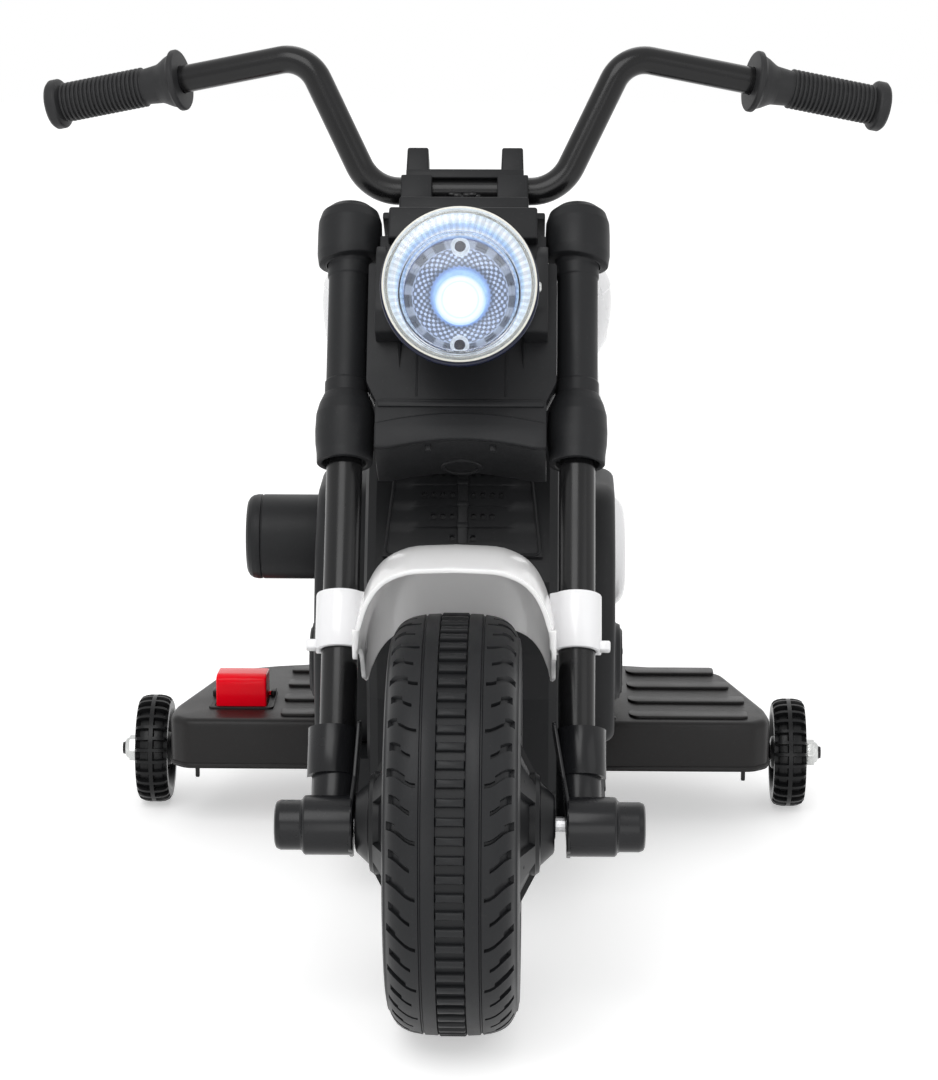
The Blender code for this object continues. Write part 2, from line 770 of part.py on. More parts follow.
def fender_section(flank):
    """Half of the front fender's cross-section, from the crown to the flank's edge, as (x, radius)."""
    top = FENDER_R
    wide = FENDER_HALF
    return [
        (0.0, top),
        (wide * 0.48, top - 0.0010),
        (wide * 0.74, top - 0.0085),
        (wide * 0.88, top - 0.0210),
        (wide * 0.97, top - 0.0380),
        (wide, top - flank),
    ]


def build_fender(steering):
    half = fender_section(FENDER_FLANK)
    section = [(-x, r) for x, r in reversed(half[1:])] + half
    shape = swept_round(section, Vector(FRONT_AXLE), FENDER_AHEAD, FENDER_BEHIND, 11)
    steering_shape(shape)
    fender = add_sheet("front_fender", shape, "white_gloss", FENDER_WALL, steering)

    inner = FENDER_HALF - 0.0038
    outer = LEG_X + LEG_R + GAP + CLAMP_WALL
    sleeve = LEG_R + GAP + CLAMP_WALL
    for side in SIDES.values():
        outline = [
            (inner, LEG_Y + 0.006),
            (inner, LEG_Y - 0.004),
            (LEG_X - sleeve * 0.62, LEG_Y - sleeve * 0.90),
            (LEG_X, LEG_Y - sleeve),
            (LEG_X + sleeve * 0.62, LEG_Y - sleeve * 0.86),
            (outer, LEG_Y - 0.004),
            (outer, LEG_Y + 0.006),
        ]
        clamp = mirrored(prism(outline, "Z", CLAMP_LOW, CLAMP_HIGH), side)
        fuse(fender, clamp)
        ends = sorted((side * (outer - 0.001), side * (outer + 0.0055)))
        low = (ends[0], LEG_Y - 0.006, CLAMP_LOW)
        fuse(fender, box(low, (ends[1], LEG_Y + 0.001, CLAMP_LOW + 0.006)))
    for side in SIDES.values():
        cut(fender, leg_clearance(side, CLAMP_LOW - 0.02, CLAMP_HIGH + 0.02))


def build_shoes_and_axle(steering):
    inner = HUB_HALF + 0.0005
    axle_out = POD_CAP_OUT - 0.006
    for word, side in SIDES.items():
        pod = mirrored(rod("X", POD_R, inner, POD_OUT, (AXLE_Y, 0.0), sides=16), side)
        shoe = add_piece(f"axle_shoe_{word}", pod, "gloss_black", steering)
        cap = rod("X", POD_CAP_R, POD_OUT - 0.001, POD_CAP_OUT, (AXLE_Y, 0.0), sides=16)
        fuse(shoe, mirrored(cap, side))
        sleeve = LEG_R + GAP + CLAMP_WALL
        front = LEG_Y - sleeve - 0.001
        outline = [
            (inner, LEG_Y),
            (inner, front + 0.004),
            (LEG_X - sleeve * 0.5, front),
            (LEG_X + sleeve * 0.6, front),
            (LEG_X + sleeve + 0.0015, front + 0.005),
            (LEG_X + sleeve + 0.0015, LEG_Y),
        ]
        fuse(shoe, mirrored(prism(outline, "Z", SHOE_LOW - 0.010, SHOE_HIGH), side))
        cut(shoe, leg_clearance(side, LEG_FOOT - GAP, SHOE_HIGH + 0.01))
        bore = rod("X", AXLE_R + GAP, inner - 0.01, axle_out + 0.0005, (AXLE_Y, 0.0))
        cut(shoe, mirrored(bore, side))
    shape = rod("X", AXLE_R, -axle_out, axle_out, (AXLE_Y, 0.0))
    add_piece("front_axle", shape, "steel", steering)


def tyre_shape():
    """A moulded tyre, open to the rim inside, that stands on a flat of its outer polygon."""
    flat = 1.0 / math.cos(math.pi / WHEEL_STEPS)
    half = [
        (WHEEL_R * flat, 0.0120),
        ((WHEEL_R - 0.0040) * flat, TYRE_HALF * 0.72),
        ((WHEEL_R - 0.0125) * flat, TYRE_HALF * 0.94),
        (WHEEL_R - 0.0240, TYRE_HALF),
        (RIM_R + 0.0020, TYRE_HALF - 0.0030),
        (RIM_R, TYRE_HALF - 0.0085),
        (WHEEL_R - 0.0160, TYRE_HALF - 0.0085),
        (WHEEL_R - 0.0075, TYRE_HALF - 0.0180),
    ]
    loop = half + [(radius, -x) for radius, x in reversed(half)]
    return turned(loop, WHEEL_STEPS, closed=True)


def hub_face(reach):
    """One side of a dished hub, rim to bore, and the hollow behind it, as (radius, x)."""
    slope = HUB_FLAT_SLOPE if reach < HUB_HALF else 1.0
    face = [
        (RIM_R - GAP, HUB_RIM_HALF),
        (RIM_R * 0.62, HUB_RIM_HALF + 0.0062 * slope),
        (RIM_R * 0.33, HUB_RIM_HALF + 0.0170 * slope),
        (RIM_R * 0.20, HUB_RIM_HALF + 0.0265 * slope),
        (AXLE_R * 2, HUB_RIM_HALF + 0.0265 * slope),
        (AXLE_R * 2, reach),
        (BORE_R, reach),
    ]
    hollow = [
        (RIM_R - 0.0035, HUB_RIM_HALF - 0.0040),
        (RIM_R * 0.60, HUB_RIM_HALF + 0.0015 * slope),
        (AXLE_R * 2.8, HUB_RIM_HALF + 0.0160 * slope),
    ]
    return face, hollow


def hub_piece(name, frame, left, right):
    """A hollow hub with ventilated cones; left and right are its reaches along the axle."""
    left_face, left_hollow = hub_face(left)
    right_face, right_hollow = hub_face(right)
    outer = list(reversed(left_face)) + [(radius, -x) for radius, x in right_face]
    hub = add_piece(name, turned(outer, WHEEL_STEPS, closed=True), "black_plastic", frame)
    room = left_hollow + [(radius, -x) for radius, x in reversed(right_hollow)]
    cut(hub, turned(room, WHEEL_STEPS, closed=True))
    windows = bmesh.new()
    for i in range(HUB_WINDOWS):
        angle = math.tau * i / HUB_WINDOWS
        place = (math.cos(angle) * RIM_R * 0.48, math.sin(angle) * RIM_R * 0.48)
        add_to(windows, rod("X", HUB_WINDOW_R, -HUB_HALF - 0.01, HUB_HALF + 0.01, place, sides=6))
    cut(hub, windows)
    return hub


def add_to(target, shape):
    """Puts one bmesh's bodies beside another's."""
    spare = bpy.data.meshes.new("spare")
    shape.to_mesh(spare)
    shape.free()
    target.from_mesh(spare)
    bpy.data.meshes.remove(spare)


def build_wheels(steering):
    front = frame_empty("front_wheel_axis", Matrix.Translation(FRONT_AXLE))
    add_piece("front_tyre", tyre_shape(), "tyre_black", front)
    hub_piece("front_hub", front, HUB_HALF, HUB_HALF)

    rear = frame_empty("rear_wheel_axis", Matrix.Translation(REAR_AXLE))
    add_piece("rear_tyre", tyre_shape(), "tyre_black", rear)
    arm_inner = TUB_HALF - ARM_THICK
    hub_piece("rear_hub", rear, arm_inner - 0.0005, TYRE_HALF + 0.0010)
    axle_reach = TUB_HALF + 0.0060
    still = frame_empty("rear_axle_place", Matrix.Translation(REAR_AXLE))
    axle = add_piece("rear_axle", rod("X", AXLE_R, -axle_reach, axle_reach), "steel", still)
    for side in SIDES.values():
        head = rod("X", AXLE_R * 2, TUB_HALF + GAP, axle_reach - 0.001, top_radius=AXLE_R * 1.7)
        fuse(axle, mirrored(head, side))
    return rear


def trainer_shape():
    flat = 1.0 / math.cos(math.pi / TRAINER_STEPS)
    half = TRAINER_WIDE / 2
    bore = TRAINER_PIN_R + RUNNING
    side = [
        (bore, half),
        (bore * 2.0, half),
        (bore * 2.3, half - 0.0035),
        (TRAINER_R * 0.70, half - 0.0035),
        (TRAINER_R * 0.78, half - 0.0005),
        (TRAINER_R * 0.92 * flat, half - 0.0005),
        (TRAINER_R * flat, half - 0.0040),
    ]
    loop = side + [(radius, -x) for radius, x in reversed(side)]
    return turned(loop, TRAINER_STEPS, closed=True)


def build_training_wheels():
    half = TRAINER_WIDE / 2
    nut_start = TRAINER_X + half + 0.0008
    pin_end = nut_start + NUT_THICK + 0.0020
    for word, side in SIDES.items():
        place = (side * TRAINER_X, TRAINER_Y, TRAINER_R)
        frame = frame_empty(f"training_wheel_axis_{word}", Matrix.Translation(place))
        add_piece(f"training_wheel_{word}", trainer_shape(), "tyre_black", frame)

        low = (PEDAL_X - 0.001, TRAINER_Y - TRAINER_PLATE_AHEAD, BOARD_LOW - GAP - TRAINER_PLATE)
        high = (TRAINER_X - TRAINER_PLATE_IN, TRAINER_Y + TRAINER_PLATE_BEHIND, BOARD_LOW - GAP)
        bracket = add_piece(f"training_bracket_{word}", mirrored(box(low, high), side), "black_paint")
        centre = (TRAINER_Y, TRAINER_R)
        pin = rod("X", TRAINER_PIN_R, PEDAL_X + 0.003, pin_end, centre)
        fuse(bracket, mirrored(pin, side))
        collar_end = TRAINER_X - half - GAP * 2
        collar = rod("X", TRAINER_PIN_R * 1.6, collar_end - 0.010, collar_end, centre)
        fuse(bracket, mirrored(collar, side))
        prong_low = (high[0] - 0.004, low[1] + 0.001, TRAINER_R - TRAINER_PRONG)
        fuse(bracket, mirrored(box(prong_low, (high[0], low[1] + 0.006, high[2] - 0.001)), side))

        corner_r = NUT_FLATS / 2 / math.cos(math.pi / 6)
        nut = rod("X", corner_r, nut_start, nut_start + NUT_THICK, centre, sides=6)
        bevel_where(nut, both_ends_at(0, nut_start + NUT_THICK), 0.0012, 1)
        nut = add_piece(f"training_nut_{word}", mirrored(nut, side), "zinc")
        bore = rod("X", TRAINER_PIN_R + GAP, nut_start - 0.002, pin_end + 0.002, centre)
        cut(nut, mirrored(bore, side))


def inset(outline, distance):
    """The outline moved inwards by a distance, with mitred corners; the points run anticlockwise."""
    area = sum(a[0] * b[1] - b[0] * a[1] for a, b in zip(outline, outline[1:] + outline[:1]))
    turn = 1.0 if area > 0 else -1.0
    points = [Vector(point) for point in outline]
    result = []
    for before, point, after in zip(points[-1:] + points[:-1], points, points[1:] + points[:1]):
        first = (point - before).normalized()
        second = (after - point).normalized()
        normal_a = Vector((-first.y, first.x)) * turn
        normal_b = Vector((-second.y, second.x)) * turn
        share = normal_a + normal_b
        result.append(tuple(point + share * distance / (1.0 + normal_a.dot(normal_b))))
    return result


def at_height(back, z):
    """The (y, z) point at a height, a set distance behind the steering axis."""
    along_axis = (z - WHEEL_R + (back + STEERING_BACK) * math.sin(RAKE)) / math.cos(RAKE)
    place = STEER @ Vector((0.0, back, along_axis))
    return (place.y, place.z)


def on_axis(back, along_axis):
    place = STEER @ Vector((0.0, back, along_axis))
    return (place.y, place.z)


WELL_STEPS = 12
WELL_BACK = math.radians(49.0)
WELL_R = (REAR_FENDER_R + GAP) / math.cos((math.pi - WELL_BACK) / WELL_STEPS / 2)
TUB_BACK = REAR_AXLE_Y - WELL_R
CHIN_Y = FRONT_AXLE_Y + FENDER_R + 0.025
PANEL_LOW_S = 0.185
PANEL_TOP_S = YOKE_TOP + 0.0065
HEAD_LOW_S = YOKE_TOP + GAP * 2
HEAD_TOP_S = CLAMP_PLATE_LOW - GAP * 2
WEB_TOP_S = 0.298


def body_outline():
    back_angle = WELL_BACK
    well = arc(REAR_AXLE[1:], WELL_R, math.pi, back_angle, WELL_STEPS)
    return [
        at_height(PANEL_BEHIND_STEM, TANK_SEAT_Z),
        on_axis(PANEL_BEHIND_STEM, 0.170),
        (CHIN_Y - 0.011, WHEEL_R + 0.052),
        (CHIN_Y, WHEEL_R + 0.020),
        (CHIN_Y + 0.002, BELLY_Z + 0.028),
        (CHIN_Y + 0.018, BELLY_Z),
        (TUB_BACK, BELLY_Z),
        *well,
        (DECK_BACK + 0.012, DECK_Z - 0.020),
        (DECK_BACK, DECK_Z),
        (TANK_BACK - 0.007, DECK_Z),
        (TANK_BACK - 0.026, TANK_SEAT_Z),
    ]


def build_body_shells():
    outline = body_outline()
    plane = GAP / 2
    for word, side in SIDES.items():
        half = prism(outline, "X", plane, BODY_HALF)
        bevel_where(half, both_ends_at(0, BODY_HALF), 0.007, 2)
        shell = add_piece(f"body_shell_{word}", mirrored(half, side), "black_plastic")

        tub_outline = [
            (CHIN_Y + 0.020, BELLY_Z),
            (TUB_BACK, BELLY_Z),
            (TUB_BACK, TUB_TOP),
            (CHIN_Y + 0.004, TUB_TOP),
            (CHIN_Y + 0.004, BELLY_Z + 0.026),
        ]
        tub = prism(tub_outline, "X", BODY_HALF - 0.012, TUB_HALF)
        bevel_where(tub, both_ends_at(0, TUB_HALF), 0.006, 2)
        fuse(shell, mirrored(tub, side))
        cut(shell, mirrored(prism(inset(outline, WALL), "X", plane - 0.01, BODY_HALF - WALL), side))
        tub_room = prism(inset(tub_outline, WALL), "X", BODY_HALF - 0.015, TUB_HALF - WALL)
        cut(shell, mirrored(tub_room, side))

        arm_root = TUB_BACK - 0.012
        arm_outline = [
            (arm_root, BELLY_Z + 0.001),
            (REAR_AXLE_Y + 0.006, BELLY_Z + 0.001),
            *arc((REAR_AXLE_Y, WHEEL_R), ARM_BOSS_R, -math.pi / 4, math.pi / 2, 6),
            (TANK_BACK, TUB_TOP - 0.001),
            (arm_root, TUB_TOP - 0.001),
        ]
        arm = prism(arm_outline, "X", TUB_HALF - ARM_THICK, TUB_HALF)
        fuse(shell, mirrored(arm, side))
        axle_hole = rod("X", AXLE_R + GAP, TUB_HALF - ARM_THICK - 0.01, TUB_HALF + 0.01, REAR_AXLE[1:])
        cut(shell, mirrored(axle_hole, side))

        head = [(plane, HEAD_R), *arc((0.0, 0.0), HEAD_R, 0.0, -math.pi / 2 + 0.01, 6), (plane, -HEAD_R)]
        head_tube = prism(head, "Z", HEAD_LOW_S, HEAD_TOP_S)
        web_low = (plane, 0.004, PANEL_TOP_S + 0.001)
        web_high = (HEAD_R - 0.001, PANEL_BEHIND_STEM + 0.002, WEB_TOP_S)
        for shape in (head_tube, box(web_low, web_high)):
            bmesh.ops.transform(shape, matrix=STEER, verts=shape.verts)
            fuse(shell, mirrored(shape, side))
        bore = rod("Z", STEM_R + RUNNING, HEAD_LOW_S - 0.01, HEAD_TOP_S + 0.01)
        bmesh.ops.transform(bore, matrix=STEER, verts=bore.verts)
        cut(shell, bore)
        panel = PANEL_BEHIND_STEM
        sound_hole = rod("Y", SOUND_HOLE_R, panel - 0.01, panel + 0.01, (0.0, SPEAKER_S))
        bmesh.ops.transform(sound_hole, matrix=STEER, verts=sound_hole.verts)
        cut(shell, sound_hole)
        if word == "left":
            socket_hole = rod("X", SOCKET_NECK_R + GAP, BODY_HALF - 0.01, BODY_HALF + 0.01, SOCKET_AT, sides=16)
            cut(shell, socket_hole)


SOCKET_AT = (0.070, 0.300)


def build_front_panel():
    steering_place = frame_empty("front_panel_place", STEER.copy())
    back = PANEL_BEHIND_STEM - GAP
    front = back - 0.0030
    half_low, half_top = 0.0485, 0.0405
    outline = [(-half_low, PANEL_LOW_S), (half_low, PANEL_LOW_S), (half_top, PANEL_TOP_S), (-half_top, PANEL_TOP_S)]
    shape = prism(outline, "Y", front, back)
    panel = add_piece("front_grille", shape, "black_plastic", steering_place)
    fuse(panel, box((-0.0035, front - 0.0012, PANEL_LOW_S + 0.004), (0.0035, front + 0.001, PANEL_TOP_S - 0.003)))
    rib_count = 5
    for i in range(rib_count):
        height = PANEL_LOW_S + 0.008 + i * 0.0138
        for side in SIDES.values():
            rib = box((0.0060, front - 0.0009, height), (0.0360, front + 0.001, height + 0.0022))
            fuse(panel, mirrored(rib, side))
    speaker_start = PANEL_BEHIND_STEM + WALL + GAP
    middle = (0.0, SPEAKER_S)
    shape = rod("Y", SPEAKER_R, speaker_start, speaker_start + 0.004, middle)
    speaker = add_piece("speaker", shape, "battery_grey", steering_place)
    cone_r = SPEAKER_R - 0.004
    fuse(speaker, rod("Y", cone_r, speaker_start + 0.003, speaker_start + 0.016, middle, top_radius=0.011))


def lofted(rings, closed_rings, cap_ends):
    """Bridges each ring of points to the next; open rings are arches."""
    shape = bmesh.new()
    loops = []
    for ring in rings:
        points = [shape.verts.new(point) for point in ring]
        pairs = list(zip(points, points[1:]))
        if closed_rings:
            pairs.append((points[-1], points[0]))
        loops.append([shape.edges.new(pair) for pair in pairs])
        if cap_ends and ring in (rings[0], rings[-1]):
            shape.faces.new(points)
    for first, second in zip(loops, loops[1:]):
        bmesh.ops.bridge_loops(shape, edges=first + second)
    bmesh.ops.recalc_face_normals(shape, faces=shape.faces)
    return shape


def build_tank():
    half_arch = [
        (0.86, 0.0),
        (0.97, 0.20),
        (1.00, 0.42),
        (0.97, 0.62),
        (0.86, 0.80),
        (0.66, 0.93),
        (0.38, 0.99),
        (0.0, 1.0),
    ]
    arch = half_arch + [(-x, rise) for x, rise in reversed(half_arch[:-1])]
    length = TANK_BACK - TANK_FRONT
    stations = [
        (-0.03, 0.80, -0.0130, 1.00),
        (0.08, 0.93, -0.0030, 0.90),
        (0.30, 1.00, 0.0, 0.60),
        (0.57, 0.98, 0.0, 0.30),
        (0.80, 0.86, -0.0050, 0.10),
        (0.95, 0.71, -0.0200, 0.0),
        (1.00, 0.63, -0.0380, 0.0),
    ]
    rings = []
    for share, width, lower, slant in stations:
        top = TANK_TOP + lower
        start = TANK_FRONT + share * length
        ring = []
        for x, rise in arch:
            z = TANK_LOW + rise * (top - TANK_LOW)
            ring.append((x * width * TANK_HALF, start + (z - TANK_LOW) * math.tan(RAKE) * slant, z))
        rings.append(ring)
    shape = lofted(rings, closed_rings=False, cap_ends=True)
    tank = add_sheet("tank_cover", shape, "white_gloss", TANK_WALL)
    foot_front = at_height(PANEL_BEHIND_STEM, TANK_SEAT_Z)[0]
    low = (-0.030, foot_front - 0.002, TANK_SEAT_Z + GAP)
    fuse(tank, box(low, (0.030, foot_front + 0.014, TANK_SEAT_Z + 0.016)))
    hole_low = (-DASH_HALF - GAP, DASH_FRONT - GAP, DASH_TOP - 0.022)
    cut(tank, box(hole_low, (DASH_HALF + GAP, DASH_BACK + GAP, DASH_TOP + 0.02)))


ROCKER_AT = {"power_switch": (-0.0145, 0.046), "direction_switch": (0.0145, 0.046)}
BUTTON_AT = (0.0, 0.073)


def build_dash():
    low = (-DASH_HALF, DASH_FRONT, DASH_TOP - 0.0170)
    high = (DASH_HALF, DASH_BACK, DASH_TOP)
    shape = bevel_where(box(low, high), along(2), 0.006, 2)
    bevel_where(shape, both_ends_at(2, DASH_TOP), 0.0015, 1)
    dash = add_piece("dash_panel", shape, "black_plastic")
    room_low = (low[0] + 0.0025, low[1] + 0.0025, low[2] - 0.01)
    cut(dash, box(room_low, (high[0] - 0.0025, high[1] - 0.0025, DASH_TOP - DASH_THICK)))
    slack = SLACK + 0.0002
    for name, (x, y) in ROCKER_AT.items():
        half_wide, half_long = ROCKER_WIDE / 2, ROCKER_LONG / 2
        hole = box(
            (x - half_wide - slack, y - half_long - slack, DASH_TOP - 0.02),
            (x + half_wide + slack, y + half_long + slack, DASH_TOP + 0.01),
        )
        cut(dash, hole)
        frame = frame_empty(f"{name}_axis", Matrix.Translation((x, y, DASH_TOP - 0.0030)))
        outline = [
            (-half_long, -0.0050),
            (half_long, -0.0050),
            (half_long, 0.0052),
            (0.0, 0.0040),
            (-half_long, 0.0052),
        ]
        add_piece(name, prism(outline, "X", -half_wide, half_wide), "gloss_black", frame)
    cut(dash, rod("Z", BUTTON_R + SLACK, DASH_TOP - 0.02, DASH_TOP + 0.01, BUTTON_AT, sides=16))
    frame = frame_empty("sound_button_axis", Matrix.Translation((*BUTTON_AT, DASH_TOP)))
    shape = rod("Z", BUTTON_R, -0.0085, 0.0022, sides=16)
    bevel_where(shape, both_ends_at(2, 0.0022), 0.0008, 1)
    add_piece("sound_button", shape, "red_gloss", frame)


def build_seat():
    """A moulded saddle with a dipped middle, a raised back and drawn-in sides."""
    stations = [
        (0.000, 0.52, 0.50),
        (0.035, 0.60, 0.80),
        (0.160, 0.72, 0.92),
        (0.400, 0.92, 0.80),
        (0.640, 1.00, 0.84),
        (0.860, 0.96, 1.06),
        (0.965, 0.80, 1.02),
        (1.000, 0.66, 0.70),
    ]
    half_ring = [(0.80, 0.0), (0.95, 0.14), (1.0, 0.42), (0.93, 0.72), (0.74, 0.90), (0.40, 0.98), (0.0, 1.0)]
    ring_shape = half_ring + [(-x, rise) for x, rise in reversed(half_ring[:-1])]
    length = SEAT_BACK - SEAT_FRONT

    def saddle(wall, lower):
        bottom = DECK_Z + GAP - lower
        rings = []
        for share, width, height in stations:
            y = SEAT_FRONT + wall + share * (length - 2 * wall)
            half = width * SEAT_HALF - wall
            tall = height * SEAT_THICK - wall + lower
            rings.append([(x * half, y, bottom + rise * tall) for x, rise in ring_shape])
        return lofted(rings, closed_rings=True, cap_ends=True)

    seat = add_piece("seat", saddle(0.0, 0.0), "black_plastic", smooth=math.radians(50))
    cut(seat, saddle(WALL + 0.001, 0.008))


def build_rear_fender():
    half_width = REAR_FENDER_HALF
    half = [
        (0.0, REAR_FENDER_R),
        (half_width * 0.66, REAR_FENDER_R - 0.0006),
        (half_width * 0.90, REAR_FENDER_R - 0.0055),
        (half_width, REAR_FENDER_R - 0.0170),
        (half_width, REAR_FENDER_R - 0.0310),
    ]
    section = [(-x, r) for x, r in reversed(half[1:])] + half
    turn = REAR_FENDER_AHEAD, REAR_FENDER_BEHIND
    shape = swept_round(section, Vector(REAR_AXLE), *turn, 12)
    add_sheet("rear_fender", shape, "white_gloss", REAR_FENDER_WALL)


def build_engine_covers():
    front = CHIN_Y + 0.030
    back = TANK_BACK - 0.003
    low = TUB_TOP + GAP * 2
    outline = [
        (front, low),
        (back, low),
        (back, ENGINE_TOP - 0.030),
        (back - 0.014, ENGINE_TOP - 0.006),
        (back - 0.032, ENGINE_TOP),
        (front + 0.060, ENGINE_TOP),
        (front + 0.034, ENGINE_TOP - 0.010),
        (front + 0.016, ENGINE_TOP - 0.034),
        (front - 0.002, ENGINE_TOP - 0.080),
        (front - 0.006, low + 0.040),
    ]
    disc_at = (front + 0.058, low + 0.040)
    for word, side in SIDES.items():
        shape = prism(outline, "X", BODY_HALF + GAP, ENGINE_OUT)
        bevel_where(shape, both_ends_at(0, ENGINE_OUT), ENGINE_ROUND, 3)
        cover = add_piece(f"engine_cover_{word}", mirrored(shape, side), "black_plastic")
        hollow_out(cover, outline, ENGINE_OUT, ENGINE_ROUND, WALL, side)
        disc = rod("X", DISC_R, ENGINE_OUT - 0.001, DISC_OUT, disc_at, top_radius=DISC_R * 0.86)
        fuse(cover, mirrored(disc, side))
        for i in range(5):
            height = disc_at[1] + DISC_R + 0.012 + i * 0.0110
            fin_low = (ENGINE_OUT - 0.001, front + 0.028, height)
            fin = box(fin_low, (ENGINE_OUT + 0.004, front + 0.062, height + 0.0045))
            fuse(cover, mirrored(fin, side))

    profile = [
        (0.0, CLEANER_OUT),
        (CLEANER_R * 0.80, CLEANER_OUT),
        (CLEANER_R * 0.94, CLEANER_OUT - 0.0015),
        (CLEANER_R, CLEANER_OUT - 0.0050),
        (CLEANER_R, ENGINE_OUT + GAP),
        (CLEANER_R - WALL, ENGINE_OUT + GAP),
        (CLEANER_R - WALL, CLEANER_OUT - WALL),
        (0.0, CLEANER_OUT - WALL),
    ]
    drum = moved(turned(profile, 24), (0.0, CLEANER_Y, CLEANER_Z))
    add_piece("air_cleaner", mirrored(drum, SIDES["right"]), "black_plastic")


def train_point(distance):
    """A point on the line of gear centres, from the rear axle."""
    y = REAR_AXLE_Y + distance * math.cos(TRAIN_ANGLE)
    return (y, WHEEL_R + distance * math.sin(TRAIN_ANGLE))


IDLER_AT = train_point(GEAR_MODULE * (OUTPUT_TEETH + PINION_TEETH) / 2)
MOTOR_AT = train_point(GEAR_MODULE * (OUTPUT_TEETH + 2 * PINION_TEETH + IDLER_TEETH) / 2)
OUTPUT_PLANE = CASE_IN + 0.0050
BIG_PLANE = OUTPUT_PLANE + GEAR_WIDE + 0.0015
MOTOR_PLANE = BIG_PLANE + GEAR_WIDE + 0.0030


def hollow_out(piece, outline, out, round_r, wall, side):
    """Hollows a cover from the body's side, in two steps that follow its rounded outer edge."""
    wide = prism(inset(outline, wall), "X", BODY_HALF - 0.01, out - round_r - 0.0005)
    cut(piece, mirrored(wide, side))
    deep = prism(inset(outline, round_r + 0.0005), "X", BODY_HALF - 0.01, out - wall)
    cut(piece, mirrored(deep, side))


def ellipse(centre, half_long, half_tall, steps):
    """Points round an ellipse."""
    angles = [math.tau * i / steps for i in range(steps)]
    return [(centre[0] + half_long * math.cos(a), centre[1] + half_tall * math.sin(a)) for a in angles]


def build_side_covers():
    """The panels under the seat, each with a rounded bulge; the right-hand one covers the motor."""
    front = TANK_BACK + 0.0010
    top = DECK_Z - 0.003
    outline = [
        (front, 0.160),
        (front + 0.020, 0.1475),
        (REAR_AXLE_Y - 0.005, 0.1475),
        (REAR_AXLE_Y + 0.030, 0.168),
        (DECK_BACK - 0.010, top - 0.034),
        (DECK_BACK - 0.016, top - 0.012),
        (DECK_BACK - 0.036, top),
        (front + 0.020, top),
        (front, top - 0.020),
    ]
    bulge_at = (MOTOR_AT[0] - BULGE_AHEAD, MOTOR_AT[1] + BULGE_OVER)
    inner_long = BULGE_HALF_LONG - BULGE_ROUND
    inner_tall = BULGE_HALF_TALL - BULGE_ROUND
    for word, side in SIDES.items():
        shape = prism(outline, "X", BODY_HALF + GAP, SIDE_PANEL_OUT)
        bevel_where(shape, both_ends_at(0, SIDE_PANEL_OUT), SIDE_PANEL_ROUND, 3)
        cover = add_piece(f"side_cover_{word}", mirrored(shape, side), "white_gloss")
        bulge = ellipse(bulge_at, BULGE_HALF_LONG, BULGE_HALF_TALL, 24)
        shape = prism(bulge, "X", SIDE_PANEL_OUT - SIDE_PANEL_ROUND, BULGE_OUT)
        bevel_where(shape, both_ends_at(0, BULGE_OUT), BULGE_ROUND, 4)
        fuse(cover, mirrored(shape, side))
        hollow_out(cover, outline, SIDE_PANEL_OUT, SIDE_PANEL_ROUND, SIDE_WALL, side)
        room_outline = ellipse(bulge_at, inner_long, inner_tall, 24)
        room = prism(room_outline, "X", BODY_HALF - 0.01, BULGE_OUT - SIDE_WALL)
        cut(cover, mirrored(room, side))
        if word == "right":
            gears = prism(case_outline(CASE_WALL + GAP * 2), "X", BODY_HALF - 0.01, CASE_OUT + GAP * 2)
            cut(cover, mirrored(gears, side))
            motor_end = MOTOR_PLANE + MOTOR_LONG + GAP * 2
            motor = rod("X", MOTOR_R + GAP * 3, BODY_HALF - 0.01, motor_end, MOTOR_AT)
            cut(cover, mirrored(motor, side))


def board_outline():
    inner = TUB_HALF + GAP
    return [
        (inner, BOARD_FRONT),
        (BOARD_OUT - 0.018, BOARD_FRONT),
        (BOARD_OUT - 0.005, BOARD_FRONT + 0.005),
        (BOARD_OUT, BOARD_FRONT + 0.018),
        (BOARD_OUT - 0.002, TRAINER_Y - 0.032),
        (BOARD_OUT - 0.0265, BOARD_BACK - 0.0275),
        (BOARD_OUT - 0.034, BOARD_BACK - 0.0200),
        (BOARD_OUT - 0.064, BOARD_BACK - 0.0095),
        (inner, BOARD_BACK),
    ]


def build_footboards():
    outline = board_outline()
    hinge = (PEDAL_Y + PEDAL_LONG / 2 - 0.0025, BOARD_TOP + 0.0022)
    for word, side in SIDES.items():
        shape = prism(outline, "Z", BOARD_LOW, BOARD_TOP)
        bevel_where(shape, both_ends_at(2, BOARD_TOP), 0.005, 2)
        board = add_piece(f"footboard_{word}", mirrored(shape, side), "board_brown")
        room = prism(inset(outline, WALL), "Z", BOARD_LOW - 0.01, BOARD_TOP - WALL)
        cut(board, mirrored(room, side))
        post_low = (PEDAL_X + 0.022, TRAINER_Y - 0.006, BOARD_LOW)
        fuse(board, mirrored(box(post_low, (PEDAL_X + 0.031, TRAINER_Y + 0.012, BOARD_TOP - 0.001)), side))
        ledge_from = {"left": TUB_HALF + 0.018, "right": TUB_HALF + 0.010}[word]
        ledge_to = {"left": BOARD_OUT - 0.015, "right": PEDAL_X - 0.030}[word]
        for i in range(LEDGES):
            y = BOARD_FRONT + LEDGE_AHEAD + i * LEDGE_PITCH
            drawn_in = max(0.0, (y - BOARD_FRONT - 0.043) * 0.25)
            reach = min(ledge_to, BOARD_OUT - 0.015 - drawn_in)
            ledge = box((ledge_from, y, BOARD_TOP - 0.001), (reach, y + LEDGE_LONG, BOARD_TOP + LEDGE_RISE))
            fuse(board, mirrored(ledge, side))
        if word == "right":
            add_pedal_seat(board, side, hinge)
            add_pedal(side, hinge)


